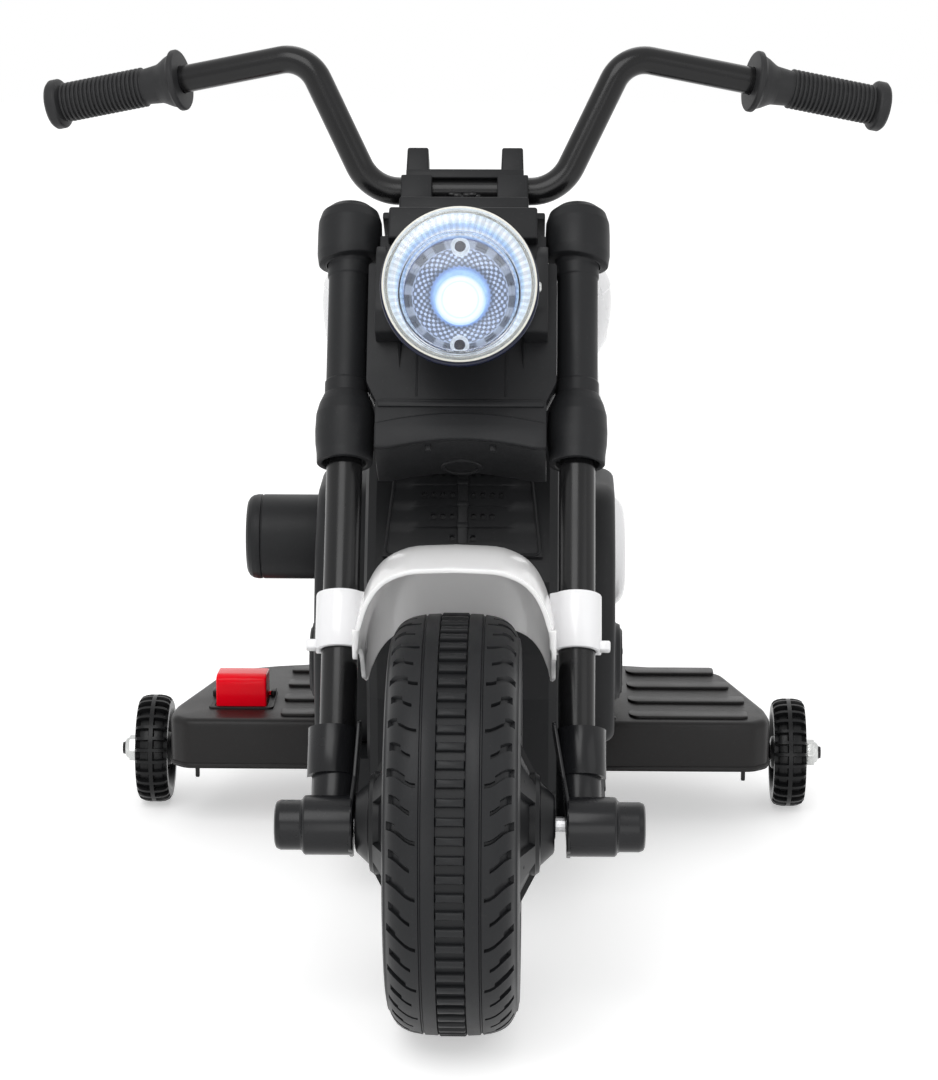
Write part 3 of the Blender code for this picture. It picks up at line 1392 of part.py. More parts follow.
def add_pedal_seat(board, side, hinge):
    half_wide, half_long = PEDAL_WIDE / 2, PEDAL_LONG / 2
    low = (PEDAL_X - half_wide - 0.006, PEDAL_Y - half_long - 0.012, BOARD_TOP - 0.001)
    high = (PEDAL_X + half_wide + 0.006, PEDAL_Y + half_long + 0.014, BOARD_TOP + PEDAL_PLATE)
    plate = bevel_where(box(low, high), along(2), 0.005, 2)
    fuse(board, mirrored(plate, side))
    slack = SLACK + 0.0004
    pocket = box(
        (PEDAL_X - half_wide - SLACK, PEDAL_Y - half_long - slack, BOARD_LOW + 0.01),
        (PEDAL_X + half_wide + SLACK, PEDAL_Y + half_long + slack, BOARD_TOP + 0.02),
    )
    cut(board, mirrored(pocket, side))
    reach = half_wide + 0.0032
    pin_hole = rod("X", PEDAL_PIN_R + GAP, PEDAL_X - reach, PEDAL_X + reach, hinge, sides=12)
    cut(board, mirrored(pin_hole, side))


def add_pedal(side, hinge):
    half_wide, half_long = PEDAL_WIDE / 2, PEDAL_LONG / 2
    frame = frame_empty("drive_pedal_axis", Matrix.Translation((side * PEDAL_X, *hinge)))
    low = BOARD_TOP - 0.0012 - hinge[1]
    top = PEDAL_TOP - hinge[1]
    front = PEDAL_Y - half_long - hinge[0]
    back = PEDAL_Y + half_long - hinge[0]
    outline = [
        (front, low),
        (back, low),
        (back, top - 0.0045),
        (back - 0.0020, top - 0.0020),
        (front + 0.0030, top),
        (front, top - 0.0030),
    ]
    shape = prism(outline, "X", -half_wide, half_wide)
    pedal = add_piece("drive_pedal", shape, "red_gloss", frame)
    reach = half_wide + 0.0024
    fuse(pedal, rod("X", PEDAL_PIN_R, -reach, reach, sides=12))


def gear_outline(teeth, tooth_at):
    """Points round a spur gear with one tooth centred on an angle, thinned for free running."""
    pitch_r = GEAR_MODULE * teeth / 2
    pitch = math.tau / teeth
    root_r = pitch_r - 1.10 * GEAR_MODULE
    tip_r = pitch_r + 0.75 * GEAR_MODULE
    points = []
    for i in range(teeth):
        middle = tooth_at + i * pitch
        for radius, share in ((root_r, -0.24), (tip_r, -0.085), (tip_r, 0.085), (root_r, 0.24)):
            angle = middle + share * pitch
            points.append((radius * math.cos(angle), radius * math.sin(angle)))
    return points


def case_outline(margin):
    """The gear case's outline: round at the output gear and at the motor."""
    big = GEAR_MODULE * (OUTPUT_TEETH / 2 + 1) + 0.0015 + margin
    small = MOTOR_R + 0.0020 + margin
    square = TRAIN_ANGLE + math.pi / 2
    back = arc(REAR_AXLE[1:], big, square, square + math.pi, 12)
    front = arc(MOTOR_AT, small, square + math.pi, square + math.tau, 10)
    return back + front


def build_gear_train(rear_wheel):
    side = SIDES["right"]
    toothed = TRAIN_ANGLE
    output = prism(gear_outline(OUTPUT_TEETH, toothed), "X", OUTPUT_PLANE, OUTPUT_PLANE + GEAR_WIDE)
    gear = add_piece("output_gear", mirrored(output, side), "gear_white", rear_wheel)
    sleeve = rod("X", AXLE_R * 2, TYRE_HALF + 0.0010 + GAP, OUTPUT_PLANE + 0.001)
    fuse(gear, mirrored(sleeve, side))
    cut(gear, mirrored(rod("X", BORE_R, 0.030, 0.070), side))

    idler_frame = frame_empty("idler_axis", Matrix.Translation((0.0, *IDLER_AT)))
    gap_back = toothed + math.pi + math.pi / PINION_TEETH
    small = prism(gear_outline(PINION_TEETH, gap_back), "X", OUTPUT_PLANE, BIG_PLANE + 0.001)
    idler = add_piece("idler_gear", mirrored(small, side), "gear_white", idler_frame)
    big = prism(gear_outline(IDLER_TEETH, toothed), "X", BIG_PLANE, BIG_PLANE + GEAR_WIDE)
    fuse(idler, mirrored(big, side))
    cut(idler, mirrored(rod("X", IDLER_PIN_R + RUNNING, 0.030, 0.080), side))

    motor_frame = frame_empty("motor_axis", Matrix.Translation((0.0, *MOTOR_AT)))
    pinion = prism(gear_outline(PINION_TEETH, gap_back), "X", BIG_PLANE, BIG_PLANE + GEAR_WIDE)
    pinion = add_piece("motor_pinion", mirrored(pinion, side), "steel", motor_frame)
    shaft = rod("X", 0.0012, BIG_PLANE + GEAR_WIDE - 0.001, MOTOR_PLANE + 0.006)
    fuse(pinion, mirrored(shaft, side))

    motor = rod("X", MOTOR_R, MOTOR_PLANE, MOTOR_PLANE + MOTOR_LONG, MOTOR_AT)
    motor = add_piece("drive_motor", mirrored(motor, side), "steel")
    cut(motor, mirrored(rod("X", 0.0018, MOTOR_PLANE - 0.01, MOTOR_PLANE + 0.0075, MOTOR_AT), side))

    wall = CASE_WALL
    case = prism(case_outline(wall), "X", CASE_IN, CASE_SPLIT)
    case = add_piece("gear_case", mirrored(case, side), "battery_grey")
    cut(case, mirrored(prism(case_outline(0.0), "X", CASE_IN + wall, CASE_SPLIT + 0.01), side))
    cut(case, mirrored(rod("X", AXLE_R * 2 + RUNNING, CASE_IN - 0.01, CASE_IN + 0.01, REAR_AXLE[1:]), side))
    pin_end = MOTOR_PLANE
    fuse(case, mirrored(rod("X", IDLER_PIN_R, CASE_IN + 0.0005, pin_end, IDLER_AT, sides=24), side))

    cover = prism(case_outline(wall), "X", CASE_SPLIT + GAP, CASE_OUT)
    cover = add_piece("gear_case_cover", mirrored(cover, side), "battery_grey")
    cut(cover, mirrored(prism(case_outline(0.0), "X", CASE_SPLIT - 0.01, CASE_OUT - wall), side))
    cut(cover, mirrored(rod("X", AXLE_R + GAP, CASE_OUT - 0.01, CASE_OUT + 0.01, REAR_AXLE[1:]), side))
    cut(cover, mirrored(rod("X", MOTOR_R + GAP, CASE_OUT - 0.01, CASE_OUT + 0.01, MOTOR_AT), side))


def build_electrics():
    floor = BELLY_Z + WALL + GAP
    top = floor + BATTERY_TALL
    block = box((-BATTERY_HALF, BATTERY_FRONT, floor), (BATTERY_HALF, BATTERY_BACK, top))
    add_piece("battery", bevel_where(block, along(2), 0.002, 1), "battery_grey")
    low = (-CONTROL_HALF, CONTROL_FRONT, top + GAP)
    high = (CONTROL_HALF, CONTROL_BACK, top + GAP + CONTROL_TALL)
    add_piece("control_box", box(low, high), "gear_white")
    face = BODY_HALF + SOCKET_PROUD
    socket = rod("X", SOCKET_R, BODY_HALF + GAP, face, SOCKET_AT, sides=16)
    socket = add_piece("charging_socket", socket, "gloss_black")
    fuse(socket, rod("X", SOCKET_NECK_R, BODY_HALF - 0.012, BODY_HALF + 0.001, SOCKET_AT, sides=16))
    cut(socket, rod("X", SOCKET_BORE_R, BODY_HALF - 0.008, face + 0.01, SOCKET_AT, sides=12))


def main():
    clear_scene()
    steering = frame_empty("steering_axis", STEER)
    build_legs(steering)
    build_yoke_and_stem(steering)
    build_clamp(steering)
    build_handlebar(steering)
    build_lamp(steering)
    build_fender(steering)
    build_shoes_and_axle(steering)
    rear_wheel = build_wheels(steering)
    build_training_wheels()
    build_body_shells()
    build_front_panel()
    build_tank()
    build_dash()
    build_seat()
    build_rear_fender()
    build_engine_covers()
    build_side_covers()
    build_footboards()
    build_gear_train(rear_wheel)
    build_electrics()


main()
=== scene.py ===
"""The looks of a child's battery chopper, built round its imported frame.

Metres, +Z up, front towards -Y, rider's left towards +X. Each sub-assembly is a class that holds its sizes,
builds its meshes and dresses them. Every finished piece keeps its place in its mesh.
"""

import json
import logging
import math
from dataclasses import dataclass
from enum import Enum
from typing import Callable, Iterable, Optional, Sequence

import bmesh
import bpy
from mathutils import Matrix, Vector

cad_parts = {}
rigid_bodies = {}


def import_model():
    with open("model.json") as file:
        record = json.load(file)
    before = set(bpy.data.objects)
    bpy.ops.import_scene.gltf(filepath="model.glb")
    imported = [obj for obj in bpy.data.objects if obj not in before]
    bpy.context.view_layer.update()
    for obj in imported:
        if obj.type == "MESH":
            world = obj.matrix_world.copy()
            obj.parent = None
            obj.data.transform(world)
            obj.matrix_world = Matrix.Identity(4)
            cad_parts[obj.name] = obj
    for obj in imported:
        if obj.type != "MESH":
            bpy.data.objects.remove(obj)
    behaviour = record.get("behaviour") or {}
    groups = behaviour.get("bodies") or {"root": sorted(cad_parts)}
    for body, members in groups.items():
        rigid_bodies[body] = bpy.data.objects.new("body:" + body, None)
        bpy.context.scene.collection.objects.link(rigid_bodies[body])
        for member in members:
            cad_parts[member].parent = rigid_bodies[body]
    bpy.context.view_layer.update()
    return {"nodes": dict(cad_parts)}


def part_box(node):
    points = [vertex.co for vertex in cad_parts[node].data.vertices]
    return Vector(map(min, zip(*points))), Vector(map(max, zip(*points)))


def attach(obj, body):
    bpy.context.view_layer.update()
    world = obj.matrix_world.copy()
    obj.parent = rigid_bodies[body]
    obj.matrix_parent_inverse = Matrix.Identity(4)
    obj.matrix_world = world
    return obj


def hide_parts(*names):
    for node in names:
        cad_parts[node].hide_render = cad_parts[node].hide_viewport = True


LOG = logging.getLogger("chopper")

Point2 = tuple[float, float]
Point3 = tuple[float, float, float]
Colour = tuple[float, float, float]
Shape = bmesh.types.BMesh


class Side(Enum):
    """The rider's left and right."""

    LEFT = 1
    RIGHT = -1

    @property
    def word(self) -> str:
        """The word that node names end in."""
        return self.name.lower()


class Body(str, Enum):
    """The rigid bodies of the frame."""

    CHASSIS = "chassis"
    STEERING = "steering"
    FRONT_WHEEL = "front_wheel"
    REAR_WHEEL = "rear_wheel"
    PEDAL = "pedal"
    POWER = "power_rocker"
    DIRECTION = "direction_rocker"
    BUTTON = "button"


class Graph:
    """A material's node tree, with short ways to add and join nodes."""

    def __init__(self, name: str) -> None:
        """Starts a material with its shader.

        Args:
            name: The material's name.
        """
        self.material = bpy.data.materials.new(name)
        self.material.use_nodes = True
        self.tree = self.material.node_tree
        self.shader = self.tree.nodes["Principled BSDF"]
        self.coordinates = self.tree.nodes.new("ShaderNodeTexCoord").outputs["Object"]

    def add(self, kind: str, inputs: Optional[dict] = None, **settings: object) -> bpy.types.Node:
        """Adds a node.

        Args:
            kind: The node's class, without its leading ShaderNode.
            inputs: Values for its sockets; a socket given here is linked instead.
            settings: The node's own settings.

        Returns:
            The new node.
        """
        node = self.tree.nodes.new("ShaderNode" + kind)
        for key, value in settings.items():
            setattr(node, key, value)
        for key, value in (inputs or {}).items():
            if isinstance(value, bpy.types.NodeSocket):
                self.tree.links.new(value, node.inputs[key])
            else:
                node.inputs[key].default_value = value
        return node

    def noise(self, scale: float, detail: float = 3.0, roughness: float = 0.55) -> bpy.types.NodeSocket:
        """A noise on the object's own coordinates.

        Args:
            scale: Blobs for each metre.
            detail: Octaves.
            roughness: Weight of the finer octaves.

        Returns:
            The socket that holds its value.
        """
        values = {"Vector": self.coordinates, "Scale": scale, "Detail": detail, "Roughness": roughness}
        return self.add("TexNoise", values).outputs["Fac"]

    def spread(self, value: bpy.types.NodeSocket, low: float, high: float) -> bpy.types.NodeSocket:
        """Maps a noise's middle range to another range.

        Args:
            value: The noise.
            low: The result where the noise is low.
            high: The result where the noise is high.

        Returns:
            The mapped value.
        """
        values = {"Value": value, "From Min": 0.3, "From Max": 0.7, "To Min": low, "To Max": high}
        return self.add("MapRange", values).outputs["Result"]

    def math(self, operation: str, *values: object) -> bpy.types.NodeSocket:
        """A Math node's result.

        Args:
            operation: The node's operation.
            values: Numbers or sockets, in order.

        Returns:
            Its output.
        """
        node = self.add("Math", dict(enumerate(values)), operation=operation)
        return node.outputs["Value"]

    def ramp(
        self, value: bpy.types.NodeSocket, stops: Sequence[tuple[float, Colour]]
    ) -> bpy.types.NodeSocket:
        """A colour ramp.

        Args:
            value: Where along the ramp.
            stops: Places and colours.

        Returns:
            The colour.
        """
        node = self.add("ValToRGB", {"Fac": value})
        elements = node.color_ramp.elements
        for i, (place, colour) in enumerate(stops):
            element = elements[i] if i < 2 else elements.new(place)
            element.position = place
            element.color = (*colour, 1.0)
        return node.outputs["Color"]

    def set(self, **values: object) -> None:
        """Sets or links the shader's sockets; an underscore in a name stands for a space.

        Args:
            values: Socket names and their values.
        """
        for key, value in values.items():
            socket = self.shader.inputs[key.replace("_", " ")]
            if isinstance(value, bpy.types.NodeSocket):
                self.tree.links.new(value, socket)
            else:
                socket.default_value = value

    def bump(self, height: bpy.types.NodeSocket, depth: float, before: Optional[object] = None) -> object:
        """Roughens the surface by a height.

        Args:
            height: From 0 to 1.
            depth: The real depth of 1, in metres.
            before: The normal of an earlier bump.

        Returns:
            The normal's socket, already linked to the shader.
        """
        values = {"Height": height, "Distance": depth, "Strength": 1.0}
        if before is not None:
            values["Normal"] = before
        normal = self.add("Bump", values).outputs["Normal"]
        self.set(Normal=normal)
        return normal


@dataclass(frozen=True)
class Finish:
    """The looks of a surface, in a named material slot."""

    slot: str

    def build(self, name: str) -> bpy.types.Material:
        """Makes the material.

        Args:
            name: The name of the piece that it dresses.

        Returns:
            The material.
        """
        graph = Graph(f"{self.slot}_{name}")
        self.paint(graph)
        return graph.material

    def paint(self, graph: Graph) -> None:
        """Adds the nodes of this finish."""
        raise NotImplementedError


@dataclass(frozen=True)
class Moulded(Finish):
    """A moulded or painted surface, with the fine grain of its tool and slight unevenness."""

    colour: Colour
    roughness: float
    roughness_spread: float = 0.06
    tone_spread: float = 0.12
    grain: float = 0.0006
    grain_depth: float = 0.00003
    waviness: float = 0.0
    specular: float = 0.5
    dust: float = 0.0
    dust_colour: Colour = (0.2, 0.19, 0.18)
    sink: float = 0.0

    def paint(self, graph: Graph) -> None:
        """Adds the nodes."""
        tone = graph.noise(9.0, 4.0)
        low = tuple(c * (1.0 - self.tone_spread) for c in self.colour)
        high = tuple(min(1.0, c * (1.0 + self.tone_spread)) for c in self.colour)
        colour = graph.ramp(tone, [(0.3, low), (0.7, high)])
        if self.dust > 0.0:
            specks = graph.noise(420.0, 2.0, 0.7)
            values = {"Value": specks, "From Min": 0.62, "From Max": 0.8, "To Max": self.dust}
            amount = graph.add("MapRange", values).outputs["Result"]
            mix = graph.add("MixRGB", {"Fac": amount, "Color1": colour, "Color2": (*self.dust_colour, 1.0)})
            colour = mix.outputs["Color"]
        smears = graph.noise(26.0, 5.0, 0.6)
        smoothest = max(0.02, self.roughness - self.roughness_spread)
        rough = graph.spread(smears, smoothest, self.roughness + self.roughness_spread)
        graph.set(Base_Color=colour, Roughness=rough, Specular_IOR_Level=self.specular)
        normal = None
        if self.waviness > 0.0:
            normal = graph.bump(graph.noise(28.0, 2.0), self.waviness)
        if self.grain_depth > 0.0:
            graph.bump(graph.noise(1.0 / self.grain, 2.0), self.grain_depth, normal)
        if self.sink > 0.0:
            graph.set(Subsurface_Weight=0.9, Subsurface_Scale=self.sink, Subsurface_Radius=(1.0, 1.0, 1.0))


@dataclass(frozen=True)
class Metal(Finish):
    """Bare, plated or turned metal."""

    colour: Colour
    roughness: float
    brushing: float = 0.000004

    def paint(self, graph: Graph) -> None:
        """Adds the nodes."""
        tone = graph.noise(160.0, 4.0, 0.65)
        low = tuple(c * 0.8 for c in self.colour)
        colour = graph.ramp(tone, [(0.32, low), (0.66, self.colour)])
        rough = graph.spread(graph.noise(300.0, 3.0), self.roughness * 0.7, self.roughness * 1.4)
        graph.set(Base_Color=colour, Metallic=1.0, Roughness=rough)
        stretch = graph.add("Mapping", {"Vector": graph.coordinates, "Scale": (60.0, 2400.0, 2400.0)})
        lines = graph.add("TexNoise", {"Vector": stretch.outputs["Vector"], "Scale": 1.0, "Detail": 2.0})
        graph.bump(lines.outputs["Fac"], self.brushing)


@dataclass(frozen=True)
class Clear(Finish):
    """Clear moulded plastic."""

    colour: Colour
    roughness: float = 0.02
    ripple: float = 0.00001

    def paint(self, graph: Graph) -> None:
        """Adds the nodes."""
        rough = graph.spread(graph.noise(60.0, 3.0), self.roughness * 0.5, self.roughness * 1.5)
        graph.set(Base_Color=(*self.colour, 1.0), Roughness=rough, Transmission_Weight=1.0, IOR=1.46)
        graph.bump(graph.noise(120.0, 2.0), self.ripple)


@dataclass(frozen=True)
class Zone:
    """A ring of the lamp where the painted reflection breaks into dots or wedges of painted shade."""

    low: float
    high: float
    spokes: int
    rows: int
    # How much painted shade darkens the dots or wedges.
    fade: float


@dataclass(frozen=True)
class LampGlow(Finish):
    """The lamp's inside shown as emission: the bulb's own glow, and a painted reflection of it with coloured
    rings round its axis, some broken into painted dark dots or wedges.
    """

    centre: Point3
    uptilt: float
    stops: tuple[tuple[float, Colour], ...]
    reach: float
    zones: tuple[Zone, ...]
    # How much painted glints make the emission uneven.
    sparkle: float

    def paint(self, graph: Graph) -> None:
        """Adds the nodes."""
        place = -(Matrix.Rotation(self.uptilt, 3, "X") @ Vector(self.centre))
        values = {"Vector": graph.coordinates, "Location": place, "Rotation": (self.uptilt, 0.0, 0.0)}
        local = graph.add("Mapping", values)
        parts = graph.add("SeparateXYZ", {"Vector": local.outputs["Vector"]})
        across, up = parts.outputs["X"], parts.outputs["Z"]
        square = graph.math("ADD", graph.math("MULTIPLY", across, across), graph.math("MULTIPLY", up, up))
        share = graph.math("DIVIDE", graph.math("SQRT", square), self.reach)
        angle = graph.math("ARCTAN2", up, across)
        # Painted glints: a fine noise varies the emission's level.
        level = graph.spread(graph.noise(260.0, 3.0, 0.7), 1.0 - self.sparkle, 1.0)
        # Painted shade: inside each zone the emission darkens into dots or wedges.
        for zone in self.zones:
            middle, half = (zone.low + zone.high) / 2, (zone.high - zone.low) / 2
            inside = graph.math("COMPARE", share, middle, half)
            wave = graph.math("SINE", graph.math("MULTIPLY", angle, float(zone.spokes)))
            if zone.rows:
                turns = math.tau * zone.rows / (zone.high - zone.low)
                rows = graph.math("SINE", graph.math("MULTIPLY", share, turns))
                wave = graph.math("MULTIPLY", wave, rows)
            edges = {"Value": wave, "From Min": 0.45, "From Max": -0.1}
            dark = graph.add("MapRange", edges).outputs["Result"]
            loss = graph.math("MULTIPLY", graph.math("MULTIPLY", inside, dark), zone.fade)
            level = graph.math("MULTIPLY", level, graph.math("SUBTRACT", 1.0, loss))
        # Painted reflection: rings of coloured light by distance from the centre, shown as emission.
        colour = graph.ramp(share, list(self.stops))
        shade = graph.add("MixRGB", {"Fac": 1.0, "Color1": colour, "Color2": level}, blend_type="MULTIPLY")
        graph.set(Base_Color=(0.1, 0.12, 0.16, 1.0), Roughness=0.15)
        graph.set(Emission_Color=shade.outputs["Color"], Emission_Strength=1.0)
        graph.bump(level, 0.0001)


CHARCOAL = Moulded(
    "black_plastic", (0.0125, 0.0129, 0.014), 0.46, grain_depth=0.00005, dust=0.04, specular=0.22
)
HUB_BLACK = Moulded("black_plastic", (0.0085, 0.0088, 0.0096), 0.34, grain_depth=0.00002, specular=0.2)
SHOE_BLACK = Moulded(
    "gloss_black", (0.0085, 0.0088, 0.01), 0.24, waviness=0.0002, grain_depth=0.00001, specular=0.28
)
TUBE_PAINT = Moulded("black_paint", (0.007, 0.007, 0.0075), 0.22, waviness=0.00006, dust=0.02, specular=0.3)
WHITE = Moulded("white_gloss", (0.83, 0.83, 0.84), 0.16, 0.03, 0.012, grain_depth=0.0, waviness=0.00008)
TYRE = Moulded(
    "tyre_black", (0.0125, 0.013, 0.0142), 0.42, 0.07, 0.16, grain_depth=0.00006, dust=0.04, specular=0.22
)
GRIP = Moulded(
    "grip_black", (0.02, 0.0202, 0.0212), 0.5, 0.05, grain_depth=0.00008, dust=0.04, specular=0.25
)
BOARD = Moulded(
    "board_brown", (0.0105, 0.0096, 0.0096), 0.36, 0.05, 0.1, 0.0005, 0.0001, dust=0.03, specular=0.24
)
RED = Moulded(
    "red_gloss", (0.92, 0.0004, 0.012), 0.16, 0.03, 0.04, grain_depth=0.0, waviness=0.0001, specular=0.12
)
# The fender's white plastic, its base colour lifted above WHITE to paint light into the shaded inside of the
# fender.
FENDER_WHITE_PAINTED_LIGHT = Moulded(
    "white_gloss", (0.88, 0.87, 0.87), 0.16, 0.03, 0.012, grain_depth=0.0, waviness=0.00008, sink=0.01
)
GEAR_WHITE = Moulded("gear_white", (0.72, 0.7, 0.65), 0.42, 0.05, 0.05)
GREY = Moulded("battery_grey", (0.095, 0.095, 0.1), 0.5, 0.06, 0.1, grain_depth=0.00008)
LAMP_BLUE = Moulded("lamp_blue", (0.002, 0.005, 0.026), 0.16, 0.04, 0.08, grain_depth=0.0, specular=0.3)
ZINC = Metal("zinc", (0.66, 0.67, 0.66), 0.26)
STEEL = Metal("steel", (0.5, 0.5, 0.51), 0.3)
LENS = Clear("clear_lens", (0.93, 0.96, 1.0))
CREAM = Moulded("clear_lens", (0.78, 0.77, 0.7), 0.1, 0.03, 0.05, grain_depth=0.0)
TRAINER_BLACK = Moulded(
    "tyre_black", (0.0085, 0.0087, 0.0093), 0.3, 0.06, grain_depth=0.00003, dust=0.03, specular=0.2
)
ZINC_DARK = Metal("zinc", (0.3, 0.3, 0.3), 0.34)
CHARCOAL_FINE = Moulded(
    "black_plastic", (0.012, 0.0123, 0.013), 0.48, grain=0.0009, grain_depth=0.0001, dust=0.03,
    specular=0.22
)


def from_profile(points: Iterable[Sequence[float]], closed: bool) -> tuple[Shape, list]:
    """Starts a bmesh with a chain of edges.

    Args:
        points: The chain's points, in three dimensions.
        closed: Whether the chain's end joins its start.

    Returns:
        The bmesh, and its vertices and edges in one list.
    """
    shape = bmesh.new()
    corners = [shape.verts.new(point) for point in points]
    edges = [shape.edges.new(pair) for pair in zip(corners, corners[1:])]
    if closed:
        edges.append(shape.edges.new((corners[-1], corners[0])))
    return shape, corners + edges


def softened(points: Sequence[Point2], radius: float, closed: bool = False, steps: int = 3) -> list[Point2]:
    """Rounds a flat outline's corners.

    Args:
        points: The outline.
        radius: How far back from a corner the round starts, at most.
        closed: Whether the outline's end joins its start.
        steps: Pieces in each round.

    Returns:
        The outline with rounds.
    """
    result: list[Point2] = []
    count = len(points)
    for i, point in enumerate(points):
        if not closed and i in (0, count - 1):
            result.append(point)
            continue
        here = Vector(point)
        before = Vector(points[i - 1]) - here
        after = Vector(points[(i + 1) % count]) - here
        reach = min(radius, before.length * 0.45, after.length * 0.45)
        start = here + before.normalized() * reach
        end = here + after.normalized() * reach
        for k in range(steps + 1):
            t = k / steps
            spot = start * (1 - t) ** 2 + here * 2 * t * (1 - t) + end * t**2
            result.append((spot.x, spot.y))
    return result


def lathe(profile: Sequence[Point2], steps: int = 64, closed: bool = False, soft: float = 0.0) -> Shape:
    """Spins a profile about the X axis.

    Args:
        profile: Pairs of radius and x.
        steps: Facets round the axis.
        closed: Whether the profile's end joins its start.
        soft: The rounding of the profile's corners.

    Returns:
        The turned shape.
    """
    points = softened(profile, soft, closed) if soft > 0.0 else list(profile)
    shape, geometry = from_profile([(x, 0.0, -radius) for radius, x in points], closed)
    bmesh.ops.spin(
        shape, geom=geometry, axis=(1, 0, 0), cent=(0, 0, 0), angle=math.tau, steps=steps, use_merge=True
    )
    return tidied(shape)


def tidied(shape: Shape, reach: float = 1e-6) -> Shape:
    """Merges doubles and points the faces outwards.

    Args:
        shape: The shape to change.
        reach: How near doubles lie.

    Returns:
        The same shape.
    """
    bmesh.ops.remove_doubles(shape, verts=shape.verts, dist=reach)
    bmesh.ops.recalc_face_normals(shape, faces=shape.faces)
    return shape


def placed(shape: Shape, matrix: Matrix) -> Shape:
    """Moves a shape by a matrix.

    Args:
        shape: The shape.
        matrix: Where it goes.

    Returns:
        The same shape.
    """
    bmesh.ops.transform(shape, matrix=matrix, verts=shape.verts)
    if matrix.determinant() < 0.0:
        bmesh.ops.reverse_faces(shape, faces=shape.faces)
    return shape


def moved(shape: Shape, shift: Sequence[float]) -> Shape:
    """Shifts a shape without turning it."""
    return placed(shape, Matrix.Translation(Vector(shift)))


def flipped(shape: Shape, side: Side) -> Shape:
    """A shape built for the left, mirrored where it belongs on the right."""
    if side is Side.LEFT:
        return shape
    return placed(shape, Matrix.Scale(-1.0, 4, Vector((1.0, 0.0, 0.0))))


def upright(shape: Shape, centre: Point2 = (0.0, 0.0)) -> Shape:
    """Stands a shape turned about X on end, so that its axis runs up Z."""
    return placed(shape, Matrix.Translation((*centre, 0.0)) @ Matrix.Rotation(-math.pi / 2, 4, "Y"))


def extruded(outline: Sequence[Point2], axis: str, low: float, high: float) -> Shape:
    """A flat outline given a thickness.

    Args:
        outline: Its points, as the other two coordinates in X, Y, Z order.
        axis: The thickness runs along this axis.
        low: Where it starts.
        high: Where it ends.

    Returns:
        The solid.
    """
    place: Callable[[float, float], Point3] = {
        "X": lambda a, b: (low, a, b), "Y": lambda a, b: (a, low, b), "Z": lambda a, b: (a, b, low),
    }[axis]
    shape = bmesh.new()
    face = shape.faces.new([shape.verts.new(place(a, b)) for a, b in outline])
    made = bmesh.ops.extrude_face_region(shape, geom=[face])
    corners = [item for item in made["geom"] if isinstance(item, bmesh.types.BMVert)]
    reach = high - low
    shift = {"X": (reach, 0, 0), "Y": (0, reach, 0), "Z": (0, 0, reach)}[axis]
    bmesh.ops.translate(shape, vec=shift, verts=corners)
    return tidied(shape)


def block(low: Sequence[float], high: Sequence[float]) -> Shape:
    """A box from its lowest to its highest corner."""
    shape = bmesh.new()
    bmesh.ops.create_cube(shape, size=1.0)
    size = [abs(b - a) for a, b in zip(low, high)]
    bmesh.ops.scale(shape, vec=size, verts=shape.verts)
    return moved(shape, [(a + b) / 2 for a, b in zip(low, high)])


def rounded(shape: Shape, width: float, segments: int = 3, over: float = 30.0) -> Shape:
    """Rounds every edge that is sharper than an angle.

    Args:
        shape: The shape to change.
        width: The round's width.
        segments: Its facets.
        over: The angle, in degrees.

    Returns:
        The same shape.
    """
    limit = math.radians(over)
    edges = [edge for edge in shape.edges if edge.calc_face_angle(0.0) > limit]
    bmesh.ops.bevel(
        shape, geom=edges, offset=width, offset_type="OFFSET", segments=segments, profile=0.5,
        affect="EDGES", material=-1, clamp_overlap=True,
    )
    return shape


def joined(*shapes: Shape) -> Shape:
    """Puts several shapes in one.

    Args:
        shapes: The shapes, which are used up.

    Returns:
        One shape that holds them all.
    """
    whole = bmesh.new()
    for shape in shapes:
        spare = bpy.data.meshes.new("spare")
        shape.to_mesh(spare)
        shape.free()
        whole.from_mesh(spare)
        bpy.data.meshes.remove(spare)
    return whole


def tube(path: Sequence[Vector], radius: float, sides: int = 24) -> Shape:
    """A round bar along a path.

    Args:
        path: The bar's centre line.
        radius: The bar's radius.
        sides: Facets round it.

    Returns:
        The bar, with flat ends.
    """
    shape = bmesh.new()
    ring = bmesh.ops.create_circle(shape, cap_ends=True, radius=radius, segments=sides)["verts"]
    ahead = (path[1] - path[0]).normalized()
    turn = Vector((0.0, 0.0, 1.0)).rotation_difference(ahead)
    bmesh.ops.rotate(shape, cent=(0, 0, 0), matrix=turn.to_matrix(), verts=ring)
    bmesh.ops.translate(shape, vec=path[0], verts=ring)
    face = shape.faces[:]
    for i in range(1, len(path)):
        made = bmesh.ops.extrude_face_region(shape, geom=face)
        ring = [item for item in made["geom"] if isinstance(item, bmesh.types.BMVert)]
        if i > 1:
            bmesh.ops.delete(shape, geom=face, context="FACES_ONLY")
        face = [item for item in made["geom"] if isinstance(item, bmesh.types.BMFace)]
        follow = path[min(i + 1, len(path) - 1)] - path[i - 1]
        turn = ahead.rotation_difference(follow.normalized())
        ahead = follow.normalized()
        bmesh.ops.translate(shape, vec=path[i] - path[i - 1], verts=ring)
        bmesh.ops.rotate(shape, cent=path[i], matrix=turn.to_matrix(), verts=ring)
    return tidied(shape)


